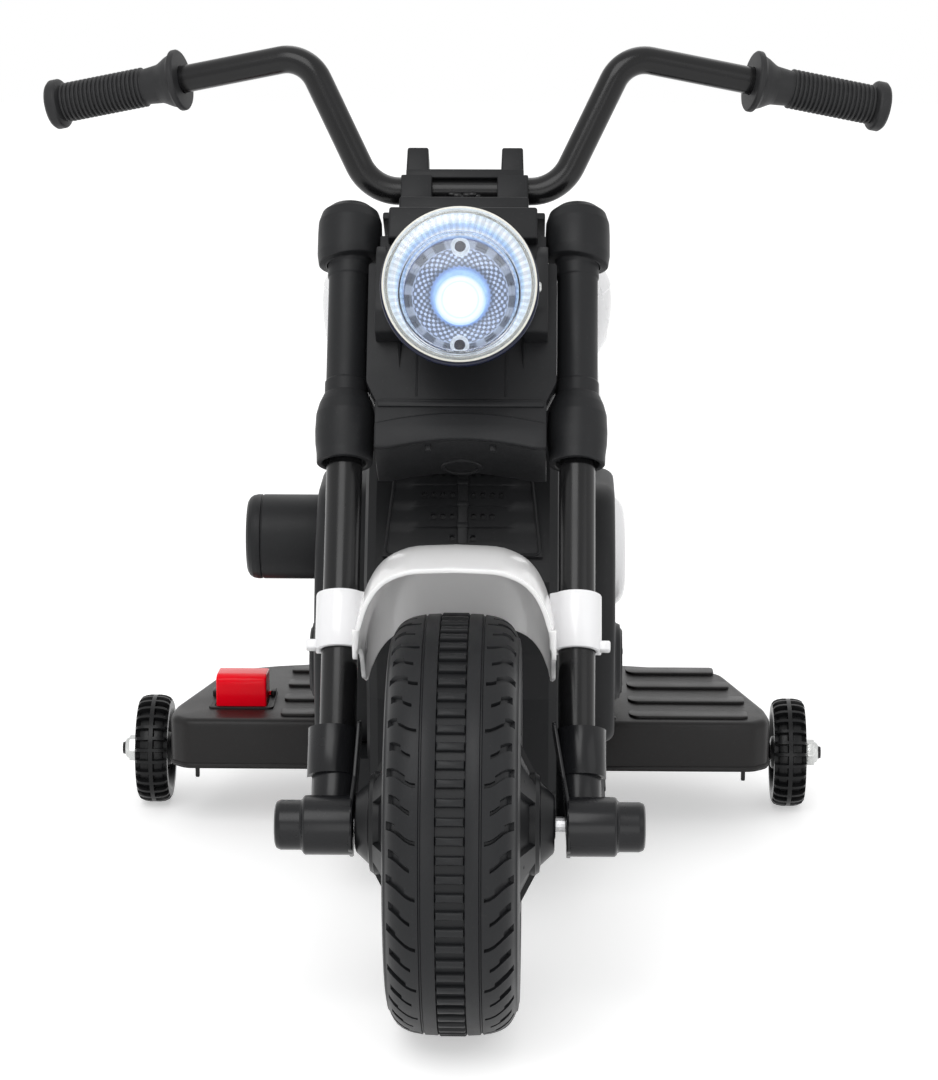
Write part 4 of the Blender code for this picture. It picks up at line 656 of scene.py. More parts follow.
def curved(corners: Sequence[Vector], radii: Sequence[float], steps: int = 12) -> list[Vector]:
    """A path through its corners with a round bend at each inner one.

    Args:
        corners: Ends and corners.
        radii: A bend radius for each inner corner.
        steps: Points in each bend.

    Returns:
        The path.
    """
    path = [corners[0].copy()]
    for before, corner, after, radius in zip(corners, corners[1:], corners[2:], radii):
        back = (before - corner).normalized()
        ahead = (after - corner).normalized()
        half = back.angle(ahead) / 2
        reach = radius / math.tan(half)
        middle = corner + (back + ahead).normalized() * radius / math.sin(half)
        start = corner + back * reach - middle
        end = corner + ahead * reach - middle
        axis = start.cross(end).normalized()
        turn = start.angle(end)
        path += [middle + Matrix.Rotation(turn * i / steps, 3, axis) @ start for i in range(steps + 1)]
    path.append(corners[-1].copy())
    return path


def arc(centre: Point2, radius: float, start: float, end: float, steps: int) -> list[Point2]:
    """Points on a circle, both ends included, from one angle to another in degrees."""
    angles = [math.radians(start + (end - start) * i / steps) for i in range(steps + 1)]
    return [(centre[0] + radius * math.cos(a), centre[1] + radius * math.sin(a)) for a in angles]


def inset(outline: Sequence[Point2], distance: float) -> list[Point2]:
    """An outline moved inwards with mitred corners.

    Args:
        outline: The points, in either direction.
        distance: How far in.

    Returns:
        The smaller outline.
    """
    pairs = zip(outline, list(outline[1:]) + [outline[0]])
    turn = 1.0 if sum(a[0] * b[1] - b[0] * a[1] for a, b in pairs) > 0 else -1.0
    points = [Vector(point) for point in outline]
    result = []
    for before, point, after in zip(points[-1:] + points[:-1], points, points[1:] + points[:1]):
        first = (point - before).normalized()
        second = (after - point).normalized()
        normal_a = Vector((-first.y, first.x)) * turn
        normal_b = Vector((-second.y, second.x)) * turn
        spot = point + (normal_a + normal_b) * distance / (1.0 + normal_a.dot(normal_b))
        result.append((spot.x, spot.y))
    return result


def screw_head(radius: float, height: float) -> Shape:
    """A domed cross-head screw that faces +X, its seat at x = 0.

    Args:
        radius: The head's radius.
        height: The dome's height.

    Returns:
        The head with its cross slot.
    """
    profile = [
        (0.0, 0.0), (radius, 0.0), (radius, height * 0.45), (radius * 0.7, height * 0.92), (0.0, height)
    ]
    head = lathe(profile, 20)
    cross = []
    for face in head.faces:
        middle = face.calc_center_median()
        if middle.x > height * 0.7 and min(abs(middle.y), abs(middle.z)) < radius * 0.16:
            cross.append(face)
    if cross:
        bmesh.ops.inset_region(head, faces=cross, thickness=radius * 0.03, depth=-height * 0.35)
    return head


def arched(half: Sequence[Point2], ahead: float, behind: float, steps: int) -> Shape:
    """A fender's open skin: half a section, mirrored and swept round its wheel.

    Args:
        half: Half of the section from the crown, as (x, radius).
        ahead: How far it reaches ahead of the top, in radians.
        behind: How far it reaches behind the top.
        steps: Facets along the sweep.

    Returns:
        The sheet.
    """
    section = [(-x, r) for x, r in reversed(half[1:])] + half
    start = Matrix.Rotation(ahead, 3, "X")
    shape, geometry = from_profile([start @ Vector((x, 0.0, r)) for x, r in section], False)
    bmesh.ops.spin(shape, geom=geometry, axis=(-1, 0, 0), cent=(0, 0, 0), angle=ahead + behind, steps=steps)
    return shape


def walled(shape: Shape, wall: float) -> Shape:
    """An open cover given a wall on its inner side.

    Args:
        shape: The cover's skin.
        wall: The wall's thickness.

    Returns:
        The same shape.
    """
    bmesh.ops.recalc_face_normals(shape, faces=shape.faces)
    crown = max(shape.faces, key=lambda face: face.calc_center_median().z)
    if crown.normal.z < 0.0:
        bmesh.ops.reverse_faces(shape, faces=shape.faces)
    bmesh.ops.solidify(shape, geom=shape.faces[:], thickness=wall)
    bmesh.ops.recalc_face_normals(shape, faces=shape.faces)
    return shape


def bead(points: Sequence[Point3], radius: float, sides: int) -> Shape:
    """A round bead along a closed line.

    Args:
        points: The line's corners.
        radius: The bead's radius.
        sides: Facets round it.

    Returns:
        The bead.
    """
    path = [Vector(point) for point in points]
    return tube([*path, path[0].copy()], radius, sides)


def off_axis(face: bmesh.types.BMFace) -> float:
    """How far a face's middle lies from the X axis."""
    middle = face.calc_center_median()
    return math.hypot(middle.y, middle.z)


def turned(face: bmesh.types.BMFace, parts: int = 1) -> float:
    """How far a face lies through its part of the turn round X, from 0 to 1 and from the bottom.

    Args:
        face: The face.
        parts: How many equal parts the turn has.

    Returns:
        The share.
    """
    middle = face.calc_center_median()
    part = math.tau / parts
    return math.atan2(middle.y, -middle.z) % part / part


def piece(
    name: str, shape: Shape, finish: Finish, body: str, replaces: Sequence[str] = (), sharp: float = 40.0
) -> bpy.types.Object:
    """Turns a shape into a dressed piece that rides on a body.

    Args:
        name: The piece's name.
        shape: Its shape, in place; it is used up.
        finish: Its finish.
        body: The body that it rides on.
        replaces: The frame's nodes that it stands for.
        sharp: Edges over this angle, in degrees, stay sharp.

    Returns:
        The new object.
    """
    mesh = bpy.data.meshes.new(name)
    shape.to_mesh(mesh)
    shape.free()
    mesh.shade_smooth()
    mesh.set_sharp_from_angle(angle=math.radians(sharp))
    made = bpy.data.objects.new(name, mesh)
    bpy.context.scene.collection.objects.link(made)
    mesh.materials.append(finish.build(name))
    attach(made, body.value if isinstance(body, Body) else body)
    if replaces:
        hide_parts(*replaces)
    LOG.info("%s: %d faces, on %s", name, len(mesh.polygons), body)
    return made


def smoothed(rows: Sequence[Sequence[float]], steps: int) -> list[tuple[float, ...]]:
    """Fills in rows of numbers along a smooth curve through them.

    Args:
        rows: The given rows.
        steps: Rows for each gap.

    Returns:
        The finer rows, the given ones among them.
    """
    result = []
    last = len(rows) - 1
    for i in range(last):
        around = [rows[max(0, i - 1)], rows[i], rows[i + 1], rows[min(last, i + 2)]]
        for k in range(steps):
            t = k / steps
            weights = (
                (-t + 2 * t**2 - t**3) / 2, (2 - 5 * t**2 + 3 * t**3) / 2, (t + 4 * t**2 - 3 * t**3) / 2,
                (-(t**2) + t**3) / 2,
            )
            columns = range(len(rows[0]))
            result.append(tuple(sum(w * row[j] for w, row in zip(weights, around)) for j in columns))
    return result + [tuple(rows[-1])]


def lofted(rings: Sequence[Sequence[Sequence[float]]], closed: bool) -> Shape:
    """Bridges each ring of points to the next and closes both ends.

    Args:
        rings: Rings of as many points each.
        closed: Whether each ring's end joins its start.

    Returns:
        The skin.
    """
    shape = bmesh.new()
    loops = []
    for ring in rings:
        points = [shape.verts.new(point) for point in ring]
        pairs = list(zip(points, points[1:]))
        if closed:
            pairs.append((points[-1], points[0]))
        loops.append([shape.edges.new(pair) for pair in pairs])
        if ring is rings[0] or ring is rings[-1]:
            shape.faces.new(points)
    for first, second in zip(loops, loops[1:]):
        bmesh.ops.bridge_loops(shape, edges=first + second)
    bmesh.ops.recalc_face_normals(shape, faces=shape.faces)
    return shape


def carved(shape: Shape, *cutters: Shape) -> Shape:
    """Cuts other shapes out of a shape.

    Args:
        shape: The shape, which is used up.
        cutters: What to cut away; they are used up.

    Returns:
        What is left.
    """
    helpers = []
    for each in (shape, joined(*cutters)):
        mesh = bpy.data.meshes.new("spare")
        each.to_mesh(mesh)
        each.free()
        helper = bpy.data.objects.new("spare", mesh)
        bpy.context.scene.collection.objects.link(helper)
        helpers.append(helper)
    body, cutter = helpers
    carve = body.modifiers.new("carve", "BOOLEAN")
    carve.operation = "DIFFERENCE"
    carve.solver = "EXACT"
    carve.object = cutter
    bpy.context.view_layer.update()
    result = bmesh.new()
    result.from_object(body, bpy.context.evaluated_depsgraph_get())
    for helper in helpers:
        mesh = helper.data
        bpy.data.objects.remove(helper)
        bpy.data.meshes.remove(mesh)
    return result


CORNERS = ((-1.0, -1.0), (1.0, -1.0), (1.0, 1.0), (-1.0, 1.0))


for leftover in list(bpy.data.objects):
    bpy.data.objects.remove(leftover)

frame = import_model()

GAP = 0.0003
RAKE = math.radians(32.0)
LEG_BEHIND_AXLE = 0.0155
STEM_BEHIND_LEG = 0.0245
LEG_X = 0.069
LEG_R = 0.0107
STEM_R = 0.0095
BAR_R = 0.0085


def centre_of(node: str) -> Vector:
    """The middle of a frame node's box."""
    low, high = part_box(node)
    return (low + high) / 2


def steering_frame() -> Matrix:
    """The steering frame: Z up the steering axis, Y backwards, level with the front axle."""
    axle = Matrix.Translation(centre_of("front_axle"))
    lean = Matrix.Rotation(-RAKE, 4, "X")
    return axle @ lean @ Matrix.Translation((0.0, LEG_BEHIND_AXLE + STEM_BEHIND_LEG, 0.0))


STEER = steering_frame()
LEG_Y = -STEM_BEHIND_LEG
AXLE_Y = -(LEG_BEHIND_AXLE + STEM_BEHIND_LEG)


def steered(shape: Shape) -> Shape:
    """Moves a shape from the steering frame into the world."""
    return placed(shape, STEER)


@dataclass
class ForkLegs:
    """The painted tubes and the moulded sleeves on their upper ends."""

    foot: float = 0.002
    tube_top: float = 0.335
    boot_low: float = 0.222
    boot_wide: float = 0.242
    boot_top: float = 0.2605
    boot_r: float = 0.018
    sleeve_r: float = 0.0122
    collar_r: float = 0.0129
    cap_low: float = 0.3512
    cap_top: float = 0.3885
    cap_r: float = 0.0195
    lip_tilt: float = 0.12
    lip_tall: float = 0.018
    steps: int = 64

    def build(self) -> None:
        """Makes both legs."""
        for side in Side:
            self._tube(side)
            self._sleeve(side)

    def _tube(self, side: Side) -> None:
        """Makes a leg's tube.

        Args:
            side: The rider's side.
        """
        inner = LEG_R - 0.0016
        profile = [
            (inner, self.foot), (LEG_R, self.foot), (LEG_R, self.boot_low - 0.002),
            (LEG_R - 0.0004, self.boot_low - 0.001), (LEG_R - 0.0004, self.tube_top),
            (inner, self.tube_top),
        ]
        shape = upright(lathe(profile, self.steps, closed=True, soft=0.0006), (side.value * LEG_X, LEG_Y))
        piece(f"leg_tube_{side.word}", steered(shape), TUBE_PAINT, Body.STEERING, [f"fork_leg_{side.word}"])

    def _sleeve(self, side: Side) -> None:
        """Makes a leg's sleeve, from its boot to its rounded cap.

        Args:
            side: The rider's side.
        """
        cap_top, cap_r, cap_low, collar_r = self.cap_top, self.cap_r, self.cap_low, self.collar_r
        boot_r = self.boot_r
        bore = LEG_R + GAP
        profile = [
            (0.0, cap_top), (cap_r * 0.46, cap_top - 0.0002), (cap_r * 0.6, cap_top - 0.0012),
            (cap_r * 0.88, cap_top - 0.0056), (cap_r * 0.985, cap_top - 0.012), (cap_r, cap_top - 0.019),
            (cap_r, cap_low + 0.006), (cap_r - 0.001, cap_low), (collar_r + 0.001, cap_low - 0.0008),
            (collar_r, cap_low - 0.003), (collar_r, cap_low - 0.01), (self.sleeve_r, cap_low - 0.0108),
            (self.sleeve_r, self.boot_top + 0.0135), (collar_r, self.boot_top + 0.0127),
            (collar_r, self.boot_top + 0.005), (collar_r + 0.0005, self.boot_top + 0.0044),
            (boot_r - 0.0022, self.boot_top - 0.001), (boot_r - 0.0004, self.boot_wide + 0.0105),
            (boot_r, self.boot_wide), (boot_r - 0.0003, self.boot_wide - 0.0075),
            (boot_r - 0.0012, self.boot_low + 0.006), (boot_r - 0.0014, self.boot_low),
            (bore + 0.0022, self.boot_low - 0.0001), (bore + 0.0012, self.boot_low + 0.004),
            (bore, self.boot_low + 0.005), (bore, self.tube_top + GAP), (0.0, self.tube_top + GAP),
        ]
        shape = upright(lathe(profile, self.steps, soft=0.0007))
        lip_high = cap_low + self.lip_tall
        lip = [v for v in shape.verts if cap_low - 0.0011 < v.co.z < lip_high and v.co.xy.length > 0.0132]
        for vertex in lip:
            share = (lip_high - vertex.co.z) / (lip_high - cap_low)
            bmesh.ops.translate(shape, vec=(0.0, 0.0, -share * self.lip_tilt * vertex.co.x), verts=[vertex])
        shape = steered(moved(flipped(shape, side), (side.value * LEG_X, LEG_Y, 0.0)))
        piece(f"leg_sleeve_{side.word}", shape, CHARCOAL, Body.STEERING, [f"fork_cover_{side.word}"])


@dataclass
class Yoke:
    """The lower yoke, with its raised arched band and two clips under it."""

    half: float = LEG_X - 0.018 - GAP
    low: float = 0.224
    top: float = 0.2547
    arch: float = 0.0055
    front: float = LEG_Y - 0.024
    back: float = STEM_R + 0.0035
    recess: float = 0.0035
    band_top: float = 0.2395
    band_arch: float = 0.0065
    clip_x: float = 0.019
    steps: int = 16

    def build(self) -> None:
        """Makes the yoke and its clips."""
        half, low, top, front = self.half, self.low, self.top, self.front
        reach = half - 0.008
        shares = [-1.0 + 2.0 * i / self.steps for i in range(self.steps + 1)]
        under = [(share * reach, low + self.arch * math.cos(share * math.pi / 2)) for share in shares]
        outline = [(-half, top), (-half, low), *under, (half, low), (half, top)]
        body = rounded(extruded(outline, "Y", front + self.recess, self.back), 0.0008, 2)
        over = [(share * half, self.band_top + self.band_arch * (1.0 - share**2)) for share in shares[::-1]]
        band_outline = [(-half, low), *under, (half, low), *over]
        band = rounded(extruded(band_outline, "Y", front, front + self.recess + 0.001), 0.0012, 3)
        strip_low = (-half * 0.97, front + self.recess - 0.0012, top - 0.0042)
        strip = rounded(block(strip_low, (half * 0.97, front + 0.01, top - 0.0006)), 0.0006, 2)
        shape = joined(body, band, strip)
        for x in (-self.clip_x, self.clip_x):
            clip_low = (x - 0.0016, front + 0.008, low + self.arch * 0.55 - 0.002)
            clip = block(clip_low, (x + 0.0016, front + 0.012, low + self.arch + 0.001))
            shape = joined(shape, rounded(clip, 0.0005, 2))
        shape = joined(shape, self._stem_boss())
        piece("lower_yoke", steered(shape), CHARCOAL, Body.STEERING, ["fork_yoke"])

    def _stem_boss(self) -> Shape:
        """The ring under the yoke round the stem."""
        low, high = self.low + self.arch - 0.0014, self.low + self.arch + 0.004
        ring = [(STEM_R + GAP, low), (STEM_R + 0.003, low), (STEM_R + 0.0038, high), (STEM_R + GAP, high)]
        return upright(lathe(ring, 40, closed=True, soft=0.0005))


@dataclass
class LampBracket:
    """The plate between the legs, with its cheeks beside the lamp and the stepped box over it."""

    half: float = LEG_X - 0.0122 - GAP
    low: float = 0.255
    high: float = 0.3445
    front: float = AXLE_Y
    back: float = -0.022
    box_half: float = 0.0445
    box_front: float = AXLE_Y - 0.01
    box_low: float = 0.3565
    box_high: float = 0.3772
    neck_half: float = 0.05
    cheek_out: float = 0.0512
    cheek_in_top: float = 0.0455
    cheek_in_low: float = 0.0368
    cheek_low: float = 0.2935
    cheek_high: float = 0.35
    cheek_front: float = AXLE_Y - 0.022
    line_x: float = 0.0265
    box_flare: float = 1.012

    def build(self) -> None:
        """Makes the bracket."""
        low, half = self.low, self.half
        corners = [
            (-half + 0.0065, low), (half - 0.0065, low), (half - 0.004, low + 0.005),
            (half, low + 0.0135), (half, self.high), (-half, self.high), (-half, low + 0.0135),
            (-half + 0.004, low + 0.005),
        ]
        plate = extruded(softened(corners, 0.002, closed=True), "Y", self.front, self.back)
        shape = rounded(plate, 0.0011, 2)
        box_low = (-self.box_half, self.box_front, self.box_low)
        top = block(box_low, (self.box_half, self.back, self.box_high))
        lower = [v for v in top.verts if v.co.z < self.box_low + 0.001]
        bmesh.ops.scale(top, vec=(self.box_flare, 1.0, 1.0), verts=lower)
        rounded(top, 0.0016, 3)
        neck_low = (-self.neck_half, self.front, self.high - 0.004)
        neck = rounded(block(neck_low, (self.neck_half, self.back, self.box_low + 0.006)), 0.001, 2)
        shape = joined(shape, top, neck)
        for side in Side:
            shape = joined(shape, flipped(self._cheek(), side), flipped(self._gusset(), side))
        shape = joined(shape, self._pedestal(), self._panel_lines())
        piece("lamp_bracket", steered(shape), CHARCOAL, Body.STEERING, ["headlamp_bracket"])

    def _cheek(self) -> Shape:
        """The wedge beside the lamp on the rider's left, which widens inwards to its flat foot."""
        outline = [
            (self.front + 0.002, self.cheek_low), (self.cheek_front + 0.006, self.cheek_low),
            (self.cheek_front, self.cheek_low + 0.012),
            (self.cheek_front + 0.002, self.cheek_high - 0.008),
            (self.cheek_front + 0.008, self.cheek_high), (self.front + 0.002, self.cheek_high),
        ]
        cheek = extruded(softened(outline, 0.003, closed=True), "X", self.cheek_in_low, self.cheek_out)
        tall = self.cheek_high - self.cheek_low
        for vertex in cheek.verts:
            if vertex.co.x < self.cheek_out - 0.001:
                share = (vertex.co.z - self.cheek_low) / tall
                vertex.co.x += share * (self.cheek_in_top - self.cheek_in_low)
        return rounded(cheek, 0.0009, 2)

    def _gusset(self) -> Shape:
        """A thin web that fades out under the cheek."""
        web = bmesh.new()
        bmesh.ops.create_cone(web, cap_ends=True, segments=3, radius1=0.005, radius2=0.0005, depth=0.022)
        bmesh.ops.scale(web, vec=(0.8, 1.2, 1.0), verts=web.verts)
        bmesh.ops.rotate(web, cent=(0, 0, 0), matrix=Matrix.Rotation(math.pi, 3, "X"), verts=web.verts)
        rounded(web, 0.0005, 2)
        return moved(web, (self.cheek_in_low, self.front + 0.0018, self.cheek_low - 0.0115))

    def _pedestal(self) -> Shape:
        """The boss behind the lamp that carries it."""
        back, front = -HeadLamp.depth - 0.02, -HeadLamp.depth - GAP
        profile = [(0.0, back), (0.02, back), (0.022, -HeadLamp.depth - 0.002), (0.021, front), (0.0, front)]
        boss = lathe(profile, 40, soft=0.0008)
        return placed(boss, STEER.inverted() @ HeadLamp().place())

    def _panel_lines(self) -> Shape:
        """Two faint ribs down the plate's face and the lip along its foot."""
        lines = []
        for x in (-self.line_x, self.line_x):
            low = (x - 0.0007, self.front - 0.0003, self.low + 0.004)
            high = (x + 0.0007, self.front + 0.001, self.cheek_low + 0.006)
            lines.append(rounded(block(low, high), 0.0002, 1))
        low = (-self.half + 0.009, self.front - 0.0008, self.low + 0.0004)
        high = (self.half - 0.009, self.front + 0.001, self.low + 0.0024)
        return joined(*lines, rounded(block(low, high), 0.0005, 2))


@dataclass
class HeadLamp:
    """The lit lamp: housing, prism dish, bright core, band, posts, rim and clear lens; the dish, band and
    posts carry a painted reflection of the bulb as emission.
    """

    radius: float = 0.044
    s: float = 0.302
    ahead: float = 0.1096
    depth: float = 0.06
    uptilt: float = math.radians(14.0)
    rim_depth: float = 0.014
    shell_over: float = 0.0022
    shell_drop: float = 0.0012
    core_r: float = 0.0146
    core_drop: float = 0.0074
    recess_drop: float = 0.0052
    recess_r: float = 0.0338
    post_r: float = 0.0055
    post_heights: Point2 = (0.023, -0.0343)
    steps: int = 96
    dot_rings: tuple[float, ...] = (0.0195, 0.0217, 0.0239, 0.0261, 0.0283)
    wedge_low: float = 0.0302
    wedge_r: float = 0.0332
    wedge_faces: int = 4
    dish_floor: float = -0.026
    core_front: float = -0.0185

    def place(self) -> Matrix:
        """The lamp's frame in the world: X out of the lens, Z up across it."""
        centre = STEER @ Vector((0.0, -self.ahead, self.s))
        out = (0.0, -math.cos(self.uptilt), math.sin(self.uptilt))
        up = (0.0, math.sin(self.uptilt), math.cos(self.uptilt))
        turn = Matrix(((out[0], 1.0, up[0]), (out[1], 0.0, up[1]), (out[2], 0.0, up[2]))).to_4x4()
        return Matrix.Translation(centre) @ turn

    def build(self) -> None:
        """Makes the lamp's pieces."""
        self._housing()
        self._dish()
        self._core()
        self._band()
        self._posts()
        self._lens()
        screw = self.place() @ Vector((-0.02, self.radius + 0.0018, 0.0))
        piece("lamp_side_screw", moved(screw_head(0.003, 0.0016), screw), ZINC, Body.STEERING)

    def _glow(self, drop: float, reach: float, stops: Sequence, *zones: Zone, sparkle: float) -> LampGlow:
        """An emission centred below the lamp's axis: the bulb's own glow on the core, and a painted
        reflection of it on the dish, band and posts.

        Args:
            drop: How far below.
            reach: The radius at the end of the colours.
            stops: Its colours from the centre outwards.
            zones: Its rings of painted dark dots or wedges.
            sparkle: How uneven its light is: painted glints.

        Returns:
            The finish.
        """
        centre = self.place() @ Vector((0.0, 0.0, -drop))
        return LampGlow("lamp_chrome", tuple(centre), self.uptilt, tuple(stops), reach, zones, sparkle)

    def _lowered(self, shape: Shape) -> Shape:
        """Lowers the inner part of a ring to the recess, and leaves its rim."""
        full, none = self.recess_r + 0.0016, self.radius - 0.0016
        for vertex in shape.verts:
            share = (none - math.hypot(vertex.co.y, vertex.co.z)) / (none - full)
            vertex.co.z -= self.recess_drop * min(1.0, max(0.0, share))
        return shape

    def _housing(self) -> None:
        """The dark blue shell with its rolled rim."""
        radius = self.radius
        outer = radius + self.shell_over
        back = -self.depth
        profile = [
            (0.0, back), (radius * 0.55, back), (radius * 0.68, back + 0.004),
            (radius * 0.91, back * 0.6), (radius * 0.93, back * 0.57),
            (outer - 0.0006, -self.rim_depth - 0.0015), (outer - 0.0012, -self.rim_depth),
            (outer, -self.rim_depth + 0.0015), (outer, -0.0046), (outer - 0.0006, -0.0036),
            (radius - 0.0005, -0.0036), (radius - 0.0005, -self.rim_depth),
            (radius * 0.91 - 0.002, back * 0.6), (radius * 0.64, back + 0.007), (0.0, back + 0.007),
        ]
        shape = moved(lathe(profile, self.steps, soft=0.0006), (0.0, 0.0, -self.shell_drop))
        piece("lamp_housing", placed(shape, self.place()), LAMP_BLUE, Body.STEERING, ["headlamp_housing"])

    def _dish(self) -> None:
        """The prism dish: rows of small prisms and a ring of wedges, which shows a painted reflection of the
        lit bulb as emission.
        """
        floor = self.dish_floor
        rings = [(r, floor + 0.0007 * i) for i, r in enumerate(self.dot_rings)]
        profile = [
            (0.0, floor - 0.008), (0.015, floor - 0.003), (0.017, floor - 0.001), *rings,
            (0.03, floor + 0.0045), (self.wedge_r, floor + 0.007), (self.wedge_r + 0.0004, -0.015),
            (self.wedge_r + 0.0022, -0.015), (self.wedge_r + 0.0022, floor), (0.02, floor - 0.014),
            (0.0, floor - 0.015),
        ]
        shape = lathe(profile, self.steps)
        front = [face for face in shape.faces if face.normal.x > 0.3]
        dots = [face for face in front if self.dot_rings[0] < off_axis(face) < self.dot_rings[-1]]
        bmesh.ops.inset_individual(shape, faces=dots, thickness=0.0003, depth=0.0007)
        low, high = self.wedge_low, self.wedge_r - 0.0002
        wedges = [face for face in front if face.is_valid and low < off_axis(face) < high]
        wedges.sort(key=lambda face: math.atan2(face.calc_center_median().z, face.calc_center_median().y))
        each = self.wedge_faces
        for start in range(0, len(wedges) - each + 1, each):
            lift = 0.0012 if (start // each) % 2 else -0.0008
            bmesh.ops.inset_region(shape, faces=wedges[start : start + each], thickness=0.0003, depth=lift)
        moved(shape, (0.0, 0.0, -self.recess_drop))
        # Painted reflection: bright and dark rings of reflected bulb light on the dish, which is no lamp.
        stops = [
            (0.0, (0.6, 0.8, 1.0)), (0.44, (0.45, 0.7, 1.0)), (0.5, (0.2, 0.33, 0.72)),
            (0.56, (0.17, 0.22, 0.34)), (0.62, (0.58, 0.68, 0.92)), (0.8, (0.5, 0.6, 0.84)),
            (0.85, (0.3, 0.34, 0.42)), (0.955, (0.26, 0.29, 0.36)), (0.975, (0.015, 0.035, 0.16)),
        ]
        dotted = Zone(0.52, 0.82, 36, 3, 0.84)
        wedged = Zone(0.835, 0.965, 15, 0, 0.88)
        finish = self._glow(self.recess_drop, 0.034, stops, dotted, wedged, sparkle=0.25)
        placed(shape, self.place())
        piece("lamp_dish", shape, finish, Body.STEERING, ["headlamp_reflector"], sharp=20.0)

    def _core(self) -> None:
        """The bright bulb lens in the dish, with its stepped edge."""
        front = self.core_front
        profile = [
            (0.0, front), (0.0055, front - 0.0004), (0.01, front - 0.0018), (0.0104, front - 0.0026),
            (0.0128, front - 0.0036), (0.0132, front - 0.0046), (self.core_r, front - 0.006),
            (self.core_r, front - 0.011), (0.0, front - 0.011),
        ]
        stops = [
            (0.0, (1.0, 1.0, 1.0)), (0.68, (1.0, 1.0, 1.0)), (0.72, (0.72, 0.9, 1.0)),
            (0.78, (0.97, 1.0, 1.0)), (0.9, (0.93, 0.98, 1.0)), (1.0, (0.55, 0.78, 1.0)),
        ]
        shape = moved(lathe(profile, self.steps), (0.0, 0.0, -self.core_drop))
        finish = self._glow(self.core_drop, self.core_r, stops, sparkle=0.03)
        piece("lamp_core", placed(shape, self.place()), finish, Body.STEERING, sharp=25.0)

    def _band(self) -> None:
        """The sloped band round the recess, with its prism flutes; its brightness is a painted reflection of
        the bulb, shown as emission.
        """
        rim = self.radius - 0.0012
        profile = [
            (rim, -0.0034), (rim - 0.001, -0.003), (rim - 0.003, -0.006),
            (self.recess_r + 0.003, -0.0125), (self.recess_r + 0.0002, -0.013),
            (self.recess_r + 0.0002, -0.0155), (rim - 0.0006, -0.0155),
        ]
        shape = lathe(profile, self.steps * 2, closed=True)
        flutes = [face for face in shape.faces if face.normal.x > 0.2 and 0.0375 < off_axis(face) < 0.0412]
        bmesh.ops.inset_individual(shape, faces=flutes, thickness=0.0001, depth=0.0003)
        # Painted reflection: rings of reflected bulb light with painted dark wedges, shown as emission.
        stops = [
            (0.62, (0.05, 0.12, 0.42)), (0.69, (0.42, 0.62, 0.98)), (0.74, (0.95, 0.98, 1.0)),
            (0.79, (0.3, 0.5, 0.88)), (0.84, (0.62, 0.82, 1.0)), (0.885, (1.0, 1.0, 1.0)),
            (0.93, (0.78, 0.9, 1.0)), (0.965, (0.8, 0.83, 0.8)), (1.0, (0.46, 0.48, 0.46)),
        ]
        finish = self._glow(0.0, self.radius, stops, Zone(0.7, 0.95, 61, 0, 0.24), sparkle=0.3)
        piece("lamp_band", placed(self._lowered(shape), self.place()), finish, Body.STEERING, sharp=25.0)

    def _posts(self) -> None:
        """The two round posts at the recess's top and bottom, each with its screw; the posts show a painted
        reflection of the bulb as emission.
        """
        radius = self.post_r
        rings, heads = [], []
        for height in self.post_heights:
            ring = [
                (radius * 0.62, -0.012), (radius * 0.66, -0.0105), (radius * 0.88, -0.0105),
                (radius, -0.012), (radius, -0.022), (radius * 0.62, -0.022),
            ]
            post = lathe(ring, 40, closed=True, soft=0.0003)
            rings.append(moved(post, (0.0, 0.0, height)))
            heads.append(moved(screw_head(radius * 0.58, 0.0014), (-0.0145, 0.0, height)))
        # Painted reflection: the posts glow grey-blue, though they are no lamp.
        stops = [(0.0, (0.62, 0.68, 0.74)), (1.0, (0.74, 0.79, 0.84))]
        finish = self._glow(0.0, self.radius, stops, sparkle=0.45)
        piece("lamp_posts", placed(joined(*rings), self.place()), finish, Body.STEERING)
        piece("lamp_post_screws", placed(joined(*heads), self.place()), LAMP_BLUE, Body.STEERING)

    def _lens(self) -> None:
        """The clear lens, with a recessed flat window, and the cream ring round it."""
        recess_r = self.recess_r
        rim = self.radius
        profile = [
            (0.0, -0.008), (recess_r - 0.001, -0.008), (recess_r + 0.0006, 0.002),
            (recess_r + 0.005, 0.0036), (rim - 0.001, 0.002), (rim, 0.0005), (rim, -0.0026),
            (rim - 0.0018, -0.0027), (rim - 0.0024, 0.0002), (recess_r + 0.0046, 0.002),
            (recess_r + 0.0018, 0.001), (recess_r - 0.0003, -0.0094), (0.0, -0.0094),
        ]
        shape = self._lowered(lathe(profile, self.steps, soft=0.0006))
        piece("lamp_lens", placed(shape, self.place()), LENS, Body.STEERING, ["headlamp_lens"])
        edge = rim + 0.001
        ring = [(rim - 0.0014, -0.0029), (edge, -0.0029), (edge, -0.0002), (rim - 0.0002, 0.0006)]
        shape = placed(lathe(ring, self.steps, closed=True, soft=0.0004), self.place())
        piece("lamp_rim", shape, CREAM, Body.STEERING)


